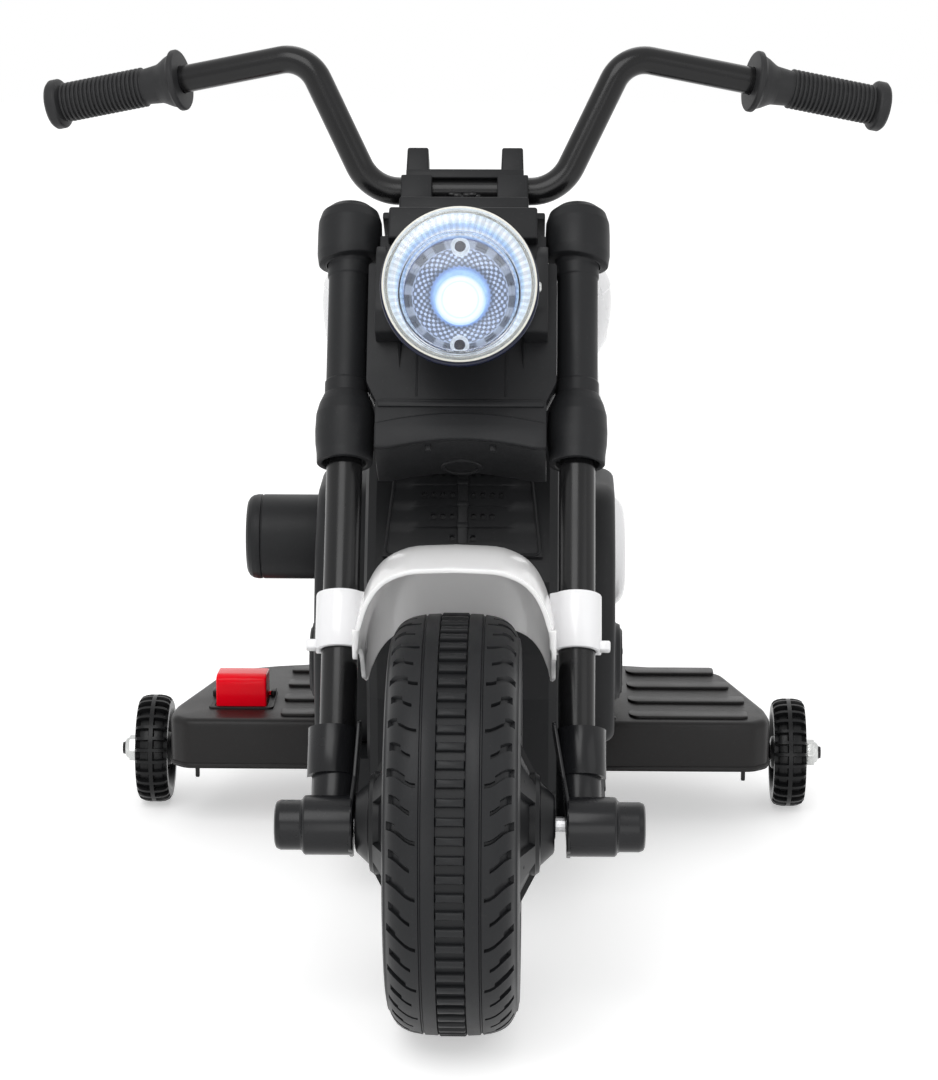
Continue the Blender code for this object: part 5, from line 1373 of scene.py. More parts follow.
@dataclass
class BarClamp:
    """The upper yoke with two square blocks and the eared cap that holds the bar."""

    half: float = LEG_X - 0.0195 - GAP
    plate_half: float = 0.0392
    plate_low: float = 0.3775
    plate_top: float = 0.39
    wing_top: float = 0.3822
    block_in: float = 0.0199
    block_out: float = 0.0388
    cap_half: float = 0.036
    bar_s: float = 0.405
    bar_y: float = -0.01
    half_deep: float = 0.016
    slot_over: float = 0.0042
    cap_back: float = 0.0055
    bridge_over: float = 0.0104
    ear_in: float = 0.022
    ear_top: float = 0.4302

    def build(self) -> None:
        """Makes the base and the cap."""
        bar_y = self.bar_y
        bore = BAR_R + GAP
        front, back = bar_y - self.half_deep, bar_y + self.half_deep
        slot_top = self.bar_s + self.slot_over
        low, far = self.plate_low, STEM_R + 0.005
        plate = block((-self.plate_half, LEG_Y - 0.012, low), (self.plate_half, far, self.plate_top))
        wing = block((-self.half, LEG_Y - 0.006, low), (self.half, far, self.wing_top))
        shape = joined(rounded(plate, 0.0015, 3), rounded(wing, 0.0012, 2))
        saddle = [
            (front, self.plate_top - 0.002), (back, self.plate_top - 0.002), (back, slot_top),
            (bar_y + bore, slot_top), *arc((bar_y, self.bar_s), bore, 0.0, -180.0, 16),
            (bar_y - bore, slot_top), (front, slot_top),
        ]
        for side in Side:
            ends = sorted((side.value * self.block_in, side.value * self.block_out))
            shape = joined(shape, rounded(extruded(saddle, "X", *ends), 0.001, 2, 60.0))
        low = (-self.block_in, front + 0.006, self.plate_top - 0.001)
        middle = block(low, (self.block_in, back - 0.006, self.plate_top + 0.003))
        shape = joined(shape, rounded(middle, 0.001))
        piece("bar_clamp", steered(shape), CHARCOAL, Body.STEERING, ["bar_clamp_base"])
        self._cap(front + self.cap_back, back - 0.002, bore)

    def _cap(self, front: float, back: float, bore: float) -> None:
        """Makes the cap.

        Args:
            front: Its front face.
            back: Its back face.
            bore: The bar's clearance radius.
        """
        seat = self.bar_s + self.slot_over + GAP
        top = self.bar_s + self.bridge_over
        turn = math.degrees(math.asin((self.slot_over + GAP) / bore))
        arch = [
            (front, seat), *arc((self.bar_y, self.bar_s), bore, 180.0 - turn, turn, 12), (back, seat),
            (back, top), (front, top),
        ]
        shape = rounded(extruded(arch, "X", -self.cap_half, self.cap_half), 0.0008, 2, 60.0)
        for side in Side:
            ends = sorted((side.value * self.ear_in, side.value * self.cap_half))
            ear = block((ends[0], front, top - 0.003), (ends[1], back, self.ear_top))
            upper = [v for v in ear.verts if v.co.z > self.ear_top - 0.0001]
            middle = Matrix.Translation(-ear_centre(ends, front, back))
            bmesh.ops.scale(ear, vec=(0.92, 0.94, 1.0), space=middle, verts=upper)
            shape = joined(shape, rounded(ear, 0.0013, 3))
        piece("bar_cap", steered(shape), CHARCOAL, Body.STEERING, ["bar_clamp_cap"])


def ear_centre(ends: Sequence[float], front: float, back: float) -> Vector:
    """The middle of an ear, seen from above."""
    return Vector(((ends[0] + ends[1]) / 2, (front + back) / 2, 0.0))


@dataclass
class Handlebar:
    """The bent bar with its weld and the ribbed grips."""

    low_x: float = 0.0576
    top_x: float = 0.0977
    rise: float = 0.0816
    sweep: float = 0.015
    span: float = 0.26
    drop: float = 0.0352
    grip_back: float = 0.036
    low_bend: float = 0.028
    top_bend: float = 0.022
    grip_length: float = 0.088
    grip_r: float = 0.012
    flange_r: float = 0.019
    end_r: float = 0.0155
    ribs: int = 19
    rib_start: float = 0.0245
    rib_stop: float = 0.009
    weld_lumps: int = 6
    weld_pitch: float = 0.0031

    def corners(self, side: Side) -> list[Vector]:
        """The bar's centre at the clamp, its two bends and its end, in the world."""
        clamp = STEER @ Vector((0.0, BarClamp.bar_y, BarClamp.bar_s))
        low = Vector((side.value * self.low_x, clamp.y, clamp.z))
        top = Vector((side.value * self.top_x, clamp.y + self.sweep, clamp.z + self.rise))
        end = Vector((side.value * self.span, top.y + self.grip_back, top.z - self.drop))
        return [clamp, low, top, end]

    def build(self) -> None:
        """Makes the bar and both grips."""
        halves = {}
        for side in Side:
            points = self.corners(side)
            points[-1] = points[-1] - (points[-1] - points[-2]).normalized() * 0.004
            halves[side] = curved(points, (self.low_bend, self.top_bend), 14)
        path = list(reversed(halves[Side.RIGHT][1:])) + halves[Side.LEFT][1:]
        shape = joined(tube(path, BAR_R, 40), self._weld())
        piece("bar_tube", shape, TUBE_PAINT, Body.STEERING, ["handlebar"])
        for side in Side:
            self._grip(side)

    def _weld(self) -> Shape:
        """The lumpy bead of weld under the bar's middle."""
        lumps = []
        clamp = STEER @ Vector((0.0, BarClamp.bar_y, BarClamp.bar_s))
        count = self.weld_lumps
        for i in range(count):
            lump = bmesh.new()
            bmesh.ops.create_icosphere(lump, subdivisions=3, radius=0.003 + 0.0005 * math.sin(i * 2.3))
            bmesh.ops.scale(lump, vec=(1.15, 0.8, 0.7), verts=lump.verts)
            x = (i - (count - 1) / 2) * self.weld_pitch
            place = Vector((x, -0.0076, -0.0016 + 0.0007 * math.cos(i * 1.7)))
            lumps.append(moved(lump, clamp + place))
        return joined(*lumps)

    def _grip(self, side: Side) -> None:
        """Makes a grip.

        Args:
            side: The rider's side.
        """
        grip_r = self.grip_r
        bore = BAR_R + GAP
        length = self.grip_length
        profile: list[Point2] = [(bore, 0.0), (self.flange_r - 0.001, 0.0), (self.flange_r, 0.001)]
        profile += [(self.flange_r, 0.0034), (self.flange_r - 0.0022, 0.0052)]
        profile += [(grip_r + 0.0034, 0.0085), (grip_r + 0.0008, 0.013), (grip_r, 0.015)]
        start, stop = self.rib_start, length - self.rib_stop
        pitch = (stop - start) / self.ribs
        for i in range(self.ribs):
            low = start + i * pitch
            profile += [(grip_r - 0.001, low), (grip_r - 0.001, low + pitch * 0.22)]
            profile += [(grip_r + 0.0003, low + pitch * 0.4), (grip_r + 0.0003, low + pitch * 0.82)]
        profile += [
            (grip_r - 0.001, stop), (grip_r, stop + 0.0006), (self.end_r - 0.0008, stop + 0.0014),
            (self.end_r, stop + 0.0026), (self.end_r, length - 0.0018), (self.end_r - 0.0016, length),
            (0.007, length), (0.0058, length - 0.001), (0.0, length - 0.001), (0.0, length - 0.0035),
            (bore, length - 0.0035),
        ]
        sleeve = [(bore, 0.0), (bore, length - 0.0035)]
        shape = tidied(joined(lathe(profile, 56, closed=False, soft=0.0003), lathe(sleeve, 56)))
        _, _, top, end = self.corners(side)
        outward = (end - top).normalized()
        turn = Vector((1.0, 0.0, 0.0)).rotation_difference(outward).to_matrix().to_4x4()
        shape = placed(shape, Matrix.Translation(end - outward * length) @ turn)
        piece(f"handle_grip_{side.word}", shape, GRIP, Body.STEERING, [f"grip_{side.word}"], sharp=35.0)


@dataclass
class FrontFender:
    """The white front fender and the clamps that hold it round the legs."""

    radius: float = 0.1585
    half: float = 0.0568
    flank: float = 0.059
    wall: float = 0.0025
    ahead: float = math.radians(10.0)
    behind: float = math.radians(59.0)
    clamp_low: float = 0.106
    clamp_high: float = 0.1405
    clamp_wall: float = 0.0035
    steps: int = 64
    front_round: float = math.radians(5.0)
    back_round: float = math.radians(13.0)
    end_share: float = 0.62

    def build(self) -> None:
        """Makes the fender and its clamps."""
        self._skin()
        for side in Side:
            self._clamp(side)

    def _section(self) -> list[Point2]:
        """Half of the fender's section, as (x, radius), from the crown to the flank's edge."""
        top, wide = self.radius, self.half
        corners = [
            (0.0, top), (wide * 0.48, top - 0.001), (wide * 0.74, top - 0.0085),
            (wide * 0.88, top - 0.021), (wide * 0.97, top - 0.038), (wide, top - self.flank),
        ]
        return softened(softened(corners, 0.008, steps=3), 0.003, steps=1)

    def _skin(self) -> None:
        """Makes the curved skin, its flanks drawn up in a round at both ends."""
        shape = arched(self._section(), self.ahead, self.behind, self.steps)
        for vertex in shape.verts:
            angle = math.atan2(vertex.co.y, vertex.co.z)
            front = self._ease((angle + self.ahead) / self.front_round)
            back = self._ease((self.behind - angle) / self.back_round)
            depth = self.radius - math.hypot(vertex.co.y, vertex.co.z)
            limit = self.flank * (self.end_share + (1.0 - self.end_share) * min(front, back))
            if depth > limit:
                scale = (self.radius - limit) / (self.radius - depth)
                bmesh.ops.scale(shape, vec=(1.0, scale, scale), verts=[vertex])
        rounded(walled(shape, self.wall), 0.0008, 2, 60.0)
        moved(shape, centre_of("front_axle"))
        piece("fender_skin", shape, FENDER_WHITE_PAINTED_LIGHT, Body.STEERING, ["front_fender"], sharp=50.0)

    @staticmethod
    def _ease(share: float) -> float:
        """A quarter round from 0 to 1."""
        held = min(1.0, max(0.0, share))
        return math.sqrt(1.0 - (1.0 - held) ** 2)

    def _clamp(self, side: Side) -> None:
        """Makes the sleeve that hugs a leg.

        Args:
            side: The rider's side.
        """
        leg = (LEG_X, LEG_Y)
        sleeve = LEG_R + GAP + self.clamp_wall
        inner, out = self.half - 0.0038, LEG_X + sleeve
        outline = [(inner, LEG_Y + 0.006), (inner, LEG_Y - 0.006), *arc(leg, sleeve, -145.0, 12.0, 18)]
        outline += [(out, LEG_Y + 0.006), *arc(leg, LEG_R + GAP, 32.0, -212.0, 24)]
        shape = rounded(extruded(outline, "Z", self.clamp_low, self.clamp_high), 0.0009, 2, 60.0)
        low = (out - 0.0015, LEG_Y - 0.006, self.clamp_low)
        tab = block(low, (out + 0.005, LEG_Y + 0.001, self.clamp_low + 0.006))
        shape = joined(shape, rounded(tab, 0.0012, 3))
        piece(f"fender_clamp_{side.word}", steered(flipped(shape, side)), WHITE, Body.STEERING)


@dataclass
class AxleShoes:
    """The glossy shoes at the legs' feet, with the pods that hold the axle's ends."""

    hub_half: float = 0.057
    spread: float = 0.0055
    step: float = 0.0305
    high: float = 0.0588
    low: float = 0.006
    offset: float = 0.0026
    wall: float = 0.0035
    pod_r: float = 0.017
    pod_drop: float = 0.0014
    pod_long: float = 0.0288
    cap_r: float = 0.0143
    cap_long: float = 0.016
    blind: float = 0.0068
    flange: float = 0.0024
    flange_lean: float = 0.003

    def build(self) -> None:
        """Makes both shoes; the rider's left one stands a little further out."""
        for side in Side:
            self._shoe(side, self.spread if side is Side.LEFT else 0.0)

    def _shoe(self, side: Side, spread: float) -> None:
        """Makes a shoe.

        Args:
            side: The rider's side.
            spread: How far further out its pod stands.
        """
        shape = steered(flipped(joined(self._pod(spread), *self._sleeve(), self._flange(spread)), side))
        piece(f"leg_shoe_{side.word}", shape, SHOE_BLACK, Body.STEERING, [f"axle_shoe_{side.word}"])

    def _pod(self, spread: float) -> Shape:
        """The barrel round the axle's end, with its round cap."""
        cap_r = self.cap_r
        inner = self.hub_half + 0.0006 + spread
        pod_out = inner + self.pod_long
        out = pod_out + self.cap_long
        deep = self.hub_half + 0.0438
        profile = [
            (self.blind, inner), (self.pod_r - 0.001, inner), (self.pod_r, inner + 0.001),
            (self.pod_r, pod_out - 0.0012), (self.pod_r - 0.0012, pod_out),
            (cap_r + 0.0006, pod_out + 0.0002), (cap_r, pod_out + 0.0012), (cap_r, out - 0.0034),
            (cap_r - 0.001, out - 0.001), (cap_r - 0.0034, out), (0.0, out),
        ]
        hole = lathe([(self.blind, inner), (self.blind, deep), (0.0, deep)], 64)
        shape = tidied(joined(lathe(profile, 64, soft=0.0006), hole))
        return moved(shape, (0.0, AXLE_Y, -self.pod_drop))

    def _sleeve(self) -> list[Shape]:
        """The half round sleeve in front of the leg, and the narrower waist under it."""
        bore = arc((LEG_X, LEG_Y), LEG_R + GAP, 0.0, -180.0, 20)
        shapes = []
        levels = ((self.step, self.high, 0.0, self.offset), (self.low, self.step + 0.001, -0.0014, 0.0012))
        for low, high, over, offset in levels:
            sleeve = LEG_R + GAP + self.wall + over
            around = arc((LEG_X + offset, LEG_Y), sleeve, -172.0, 4.0, 24)
            outline = [*around, (LEG_X + offset + sleeve, LEG_Y), *bore]
            shapes.append(rounded(extruded(outline, "Z", low, high), 0.0009, 2, 60.0))
        return shapes

    def _flange(self, spread: float) -> Shape:
        """The flat plate down the shoe's inner side, which leans out to the pod."""
        pod_r = self.pod_r
        low, high = -pod_r - self.pod_drop + 0.0004, self.high + 0.0022
        front = LEG_Y - LEG_R - self.wall - 0.0012
        outline = [
            (LEG_Y + 0.004, high), (front, high), (front, self.step - 0.004),
            (AXLE_Y - pod_r * 0.98, 0.004), (AXLE_Y - pod_r * 0.98, -0.006),
            (AXLE_Y - pod_r * 0.6, low), (AXLE_Y + pod_r * 0.6, low), (LEG_Y + 0.004, 0.004),
        ]
        inner = self.hub_half + 0.0007
        plate = extruded(softened(outline, 0.003, closed=True), "X", inner, inner + self.flange)
        for vertex in plate.verts:
            share = min(1.0, max(0.0, (vertex.co.z - 0.01) / (high - 0.01)))
            vertex.co.x += spread * (1.0 - share) - self.flange_lean * share
        return rounded(plate, 0.0006, 2, 50.0)


@dataclass
class RoadWheel:
    """A moulded tyre with a laddered crown and slit shoulders, on a dished hub."""

    word: str
    body: Body
    reach: dict[Side, float]
    radius: float = 0.12
    half: float = 0.0375
    rim_r: float = 0.078
    rim_half: float = 0.03
    bore_r: float = 0.0049
    flat_slope: float = 0.28
    full_reach: float = 0.057
    slits: int = 48
    slit_steps: int = 6
    rung_steps: int = 4
    tread_depth: float = 0.0118
    band_half: float = 0.0078
    shoulder_x: float = 0.0185
    edge_x: float = 0.0345
    twist: float = 0.07
    windows: int = 5
    window_steps: int = 24

    def build(self) -> None:
        """Makes the tyre and the hub at the wheel's axle."""
        self.axle = centre_of(f"{self.word}_tyre")
        self._tyre()
        self._hub()

    def _tyre_profile(self) -> list[Point2]:
        """Half of the tyre's section, from the crown to the bead and back inside, as (radius, x)."""
        crown = self.radius
        outer = [
            (crown - 0.0032, 0.0), (crown - 0.0032, self.band_half),
            (crown - 0.0012, self.band_half + 0.0004), (crown - 0.0008, self.band_half + 0.001),
            (crown - 0.0011, 0.0155), (crown - 0.0022, 0.016), (crown - 0.0022, 0.0167),
            (crown - 0.0013, 0.0172), (crown - 0.0016, self.shoulder_x), (crown - 0.0021, 0.0215),
            (crown - 0.0028, 0.0242), (crown - 0.0038, 0.0268), (crown - 0.0052, 0.0292),
            (crown - 0.007, 0.0314), (crown - 0.0092, 0.0331), (crown - 0.0116, self.edge_x),
            (crown - 0.0142, 0.0355), (crown - 0.0148, 0.0363), (crown - 0.016, 0.0366),
            (crown - 0.02, 0.0373), (crown - 0.027, self.half), (crown - 0.032, 0.0371),
            (crown - 0.0326, 0.0364), (crown - 0.0338, 0.0362), (crown - 0.0344, 0.0368),
            (crown - 0.039, 0.036), (self.rim_r + 0.001, 0.0345), (self.rim_r + 0.0002, 0.033),
            (self.rim_r, 0.029),
        ]
        return outer + [(crown - 0.016, 0.029), (crown - 0.008, 0.0195), (crown - 0.0075, 0.0)]

    def _tyre(self) -> None:
        """Makes the tyre."""
        half = self._tyre_profile()
        loop = half[:-1] + [(half[-1][0], 0.0)] + [(r, -x) for r, x in reversed(half[1:-1])]
        steps = self.slits * self.slit_steps
        shape = lathe(loop, steps, closed=True)
        tread = [face for face in shape.faces if off_axis(face) > self.radius - self.tread_depth]
        tread = [face for face in tread if self._facing_out(face)]
        rungs = [face for face in tread if self._in_rung(face)]
        slits = [face for face in tread if self._in_slit(face)]
        for thickness, depth in ((0.0003, -0.0012), (0.0004, -0.001)):
            bmesh.ops.inset_region(shape, faces=slits, thickness=thickness, depth=depth)
        for thickness, depth in ((0.0002, 0.0019), (0.0005, 0.0007), (0.0006, 0.0003)):
            bmesh.ops.inset_region(shape, faces=rungs, thickness=thickness, depth=depth)
        self._twist(shape)
        placed(shape, Matrix.Translation(self.axle))
        piece(f"{self.word}_wheel_tyre", shape, TYRE, self.body, [f"{self.word}_tyre"], sharp=38.0)

    @staticmethod
    def _facing_out(face: bmesh.types.BMFace) -> bool:
        """Whether a face looks away from the axle."""
        middle = face.calc_center_median()
        return face.normal.dot(Vector((0.0, middle.y, middle.z))) > 0.0

    def _step(self, face: bmesh.types.BMFace) -> int:
        """Which angular step a face lies in, counted from the bottom."""
        return int(turned(face) * self.slits * self.slit_steps)

    def _in_rung(self, face: bmesh.types.BMFace) -> bool:
        """Whether a crown face belongs to a rung of the ladder."""
        side = abs(face.calc_center_median().x)
        return side < self.band_half - 0.0001 and self._step(face) % self.rung_steps < 2

    def _in_slit(self, face: bmesh.types.BMFace) -> bool:
        """Whether a shoulder face belongs to a long, hooked or short slit."""
        side = abs(face.calc_center_median().x)
        step = self._step(face)
        turn, part = divmod(step, self.slit_steps)
        if turn % 2 == 0 and part == 1:
            return self.shoulder_x < side < self.edge_x
        if turn % 2 == 0 and part == 0:
            return side < self.edge_x and side > (0.025 if turn % 4 == 0 else 0.029)
        starts = {1: 0.0215, 0: 0.0265}
        return turn % 2 == 1 and part in starts and starts[part] < side < 0.0331

    def _twist(self, shape: Shape) -> None:
        """Turns the shoulders and sides round the axle, so that the slits lean and curve.

        Args:
            shape: The tyre.
        """
        for vertex in shape.verts:
            share = (abs(vertex.co.x) - self.shoulder_x) / (self.edge_x - self.shoulder_x)
            held = min(1.0, max(0.0, share))
            angle = -self.twist * (held - 0.11 * math.sin(math.tau * held))
            if held > 0.0:
                vertex.co = Matrix.Rotation(angle, 3, "X") @ vertex.co

    def _slope(self, reach: float) -> float:
        """How steep a side of the hub is: full on the front wheel, and flatter on the rear one."""
        return 1.0 if abs(reach - self.full_reach) < 0.001 else self.flat_slope

    def _face(self, reach: float) -> list[Point2]:
        """One side of the hub from rim to bore, as (radius, x)."""
        rim_r, slope = self.rim_r, self._slope(reach)
        rim = rim_r - GAP
        base = self.rim_half
        return [
            (rim, base - 0.0006), (rim - 0.001, base + 0.0004), (rim - 0.005, base + 0.0006),
            (rim - 0.0062, base - 0.0012), (rim - 0.0085, base - 0.0012), (rim - 0.01, base + 0.0008),
            (rim_r * 0.66, base + 0.0058 * slope), (rim_r * 0.64, base + 0.0074 * slope),
            (rim_r * 0.6, base + 0.0074 * slope), (rim_r * 0.58, base + 0.0072 * slope),
            (rim_r * 0.37, base + 0.0158 * slope), (rim_r * 0.35, base + 0.018 * slope),
            (rim_r * 0.3, base + 0.0186 * slope), (rim_r * 0.215, base + 0.0258 * slope),
            (rim_r * 0.19, base + 0.0265 * slope), (0.009, base + 0.0265 * slope),
            (0.009, reach - 0.0008), (0.0082, reach), (self.bore_r, reach),
        ]

    def _hub(self) -> None:
        """Makes the hub, its pressed windows and its ring of bolts."""
        left = self._face(self.reach[Side.LEFT])
        right = self._face(self.reach[Side.RIGHT])
        outer = list(reversed(left)) + [(radius, -x) for radius, x in right]
        shape = lathe(outer, self.windows * self.window_steps, closed=True, soft=0.0004)
        pockets = [face for face in shape.faces if self._in_window(face)]
        bmesh.ops.inset_region(shape, faces=pockets, thickness=0.0016, depth=-0.003)
        bolts = []
        for side in Side:
            for i in range(self.windows):
                angle = math.tau * (i / self.windows)
                rise = 0.008 * self._slope(self.reach[side])
                place = Vector((side.value * (self.rim_half + rise), 0.0, -self.rim_r * 0.5))
                bolt = screw_head(0.003, 0.0018)
                if side is Side.RIGHT:
                    placed(bolt, Matrix.Rotation(math.pi, 4, "Z"))
                bolts.append(placed(bolt, Matrix.Rotation(angle, 4, "X") @ Matrix.Translation(place)))
        shape = joined(shape, *bolts)
        placed(shape, Matrix.Translation(self.axle))
        piece(f"{self.word}_wheel_hub", shape, HUB_BLACK, self.body, [f"{self.word}_hub"], sharp=32.0)

    def _in_window(self, face: bmesh.types.BMFace) -> bool:
        """Whether a face of the hub's cone belongs to a pressed window."""
        on_cone = self.rim_r * 0.385 < off_axis(face) < self.rim_r * 0.57 and abs(face.normal.x) > 0.3
        return on_cone and 4 <= int(turned(face, self.windows) * self.window_steps) < 20


@dataclass
class TrainingWheel:
    """A small cleated wheel on its bracket, held by a lock nut."""

    side: Side
    radius: float = 0.037
    wide: float = 0.023
    x: float = 0.218
    y: float = 0.158
    pin_r: float = 0.0048
    cleats: int = 28
    cleat_steps: int = 4
    spokes: int = 7
    threads: int = 6
    plate_in: float = 0.154
    plate_out: float = 0.188
    plate_top: float = 0.0437
    nut_flats: float = 0.016
    nut_thick: float = 0.0085

    def build(self) -> None:
        """Makes the wheel, its bracket and its nut."""
        self._wheel()
        self._bracket()
        self._nut()

    def _wheel(self) -> None:
        """Makes the wheel."""
        half = self.wide / 2
        bore = self.pin_r + 0.0004
        side = [
            (bore, half), (bore * 1.9, half), (bore * 2.1, half - 0.0008), (bore * 2.3, half - 0.004),
            (self.radius * 0.66, half - 0.004), (self.radius * 0.7, half - 0.0022),
            (self.radius * 0.76, half - 0.0006), (self.radius * 0.9, half - 0.0006),
            (self.radius * 0.955, half - 0.002), (self.radius * 0.985, half - 0.0046),
            (self.radius, 0.0035), (self.radius, 0.0014),
        ]
        loop = side + [(radius, -x) for radius, x in reversed(side)]
        shape = lathe(loop, self.cleats * self.cleat_steps, closed=True)
        pockets = []
        for face in shape.faces:
            part = int(turned(face) * self.cleats * self.cleat_steps)
            beside = abs(face.calc_center_median().x) > 0.0014
            if off_axis(face) > self.radius * 0.9 and beside and part % self.cleat_steps != 3:
                pockets.append(face)
        bmesh.ops.inset_region(shape, faces=pockets, thickness=0.0007, depth=-0.0032)
        wells = []
        for face in shape.faces:
            on_disc = bore * 2.3 < off_axis(face) < self.radius * 0.66 and abs(face.normal.x) > 0.9
            if on_disc and turned(face, self.spokes) < 0.72:
                wells.append(face)
        bmesh.ops.inset_region(shape, faces=wells, thickness=0.0012, depth=-0.0028)
        moved(shape, (self.side.value * self.x, self.y, self.radius))
        name = f"training_wheel_{self.side.word}"
        piece(f"side_wheel_{self.side.word}", shape, TRAINER_BLACK, f"{name}_body", [name], sharp=30.0)

    def _bracket(self) -> None:
        """Makes the plate under the footboard with its pin, collar and prong."""
        y, pin_r = self.y, self.pin_r
        top, low = self.plate_top, self.plate_top - 0.003
        corners = [
            (self.plate_in, y - 0.042), (self.plate_out, y - 0.042),
            (self.plate_out, y + 0.018), (self.plate_in, y + 0.018),
        ]
        plate = rounded(extruded(softened(corners, 0.006, closed=True), "Z", low, top), 0.0006, 2)
        start = self.x - self.wide / 2
        end = self.x + self.wide / 2 + self.nut_thick + 0.0028
        pin = [(0.0, self.plate_in + 0.004), (pin_r, self.plate_in + 0.005), (pin_r, end - 0.007)]
        for i in range(self.threads):
            x = end - 0.0068 + i * 0.001
            pin += [(pin_r, x), (pin_r - 0.0005, x + 0.0005)]
        pin += [(pin_r - 0.0008, end), (0.0, end)]
        collar = [(pin_r, start - 0.011), (pin_r * 1.6, start - 0.0106), (pin_r * 1.6, start - 0.0012)]
        collar += [(pin_r * 1.5, start - 0.0006), (pin_r, start - 0.0006)]
        axle = joined(lathe(pin, 40), lathe(collar, 40, closed=True))
        moved(axle, (0.0, y, self.radius))
        prong_low = (self.plate_out - 0.004, y - 0.041, self.radius - 0.008)
        prong = block(prong_low, (self.plate_out - 0.0012, y - 0.0372, top - 0.001))
        rib_low = (self.plate_in + 0.004, y - 0.0036, low - 0.003)
        rib = block(rib_low, (self.plate_out - 0.001, y + 0.0036, low + 0.001))
        shape = joined(plate, axle, rounded(prong, 0.0007, 2), rounded(rib, 0.0008, 2))
        name = f"training_bracket_{self.side.word}"
        piece(f"side_bracket_{self.side.word}", flipped(shape, self.side), TUBE_PAINT, Body.CHASSIS, [name])

    def _nut(self) -> None:
        """Makes the zinc lock nut and its washer."""
        start = self.x + self.wide / 2 + 0.0008
        corner_r = self.nut_flats / 2 / math.cos(math.pi / 6)
        nut = bmesh.new()
        tall = self.nut_thick * 0.74
        bmesh.ops.create_cone(nut, cap_ends=True, segments=6, radius1=corner_r, radius2=corner_r, depth=tall)
        bmesh.ops.rotate(nut, cent=(0, 0, 0), matrix=Matrix.Rotation(math.pi / 2, 3, "Y"), verts=nut.verts)
        rounded(nut, 0.0009, 3)
        moved(nut, (start + tall / 2, 0.0, 0.0))
        collar = [
            (self.pin_r + GAP, start + tall - 0.0005), (corner_r * 0.8, start + tall - 0.0005),
            (corner_r * 0.74, start + self.nut_thick - 0.001), (corner_r * 0.62, start + self.nut_thick),
            (self.pin_r + GAP, start + self.nut_thick),
        ]
        washer = [
            (self.pin_r + GAP, start - 0.0006), (corner_r * 1.04, start - 0.0006),
            (corner_r * 1.04, start + 0.0005), (self.pin_r + GAP, start + 0.0005),
        ]
        shape = joined(nut, lathe(collar, 40, closed=True, soft=0.0003), lathe(washer, 40, closed=True))
        moved(shape, (0.0, self.y, self.radius))
        name = f"training_nut_{self.side.word}"
        piece(f"lock_nut_{self.side.word}", flipped(shape, self.side), ZINC, Body.CHASSIS, [name])


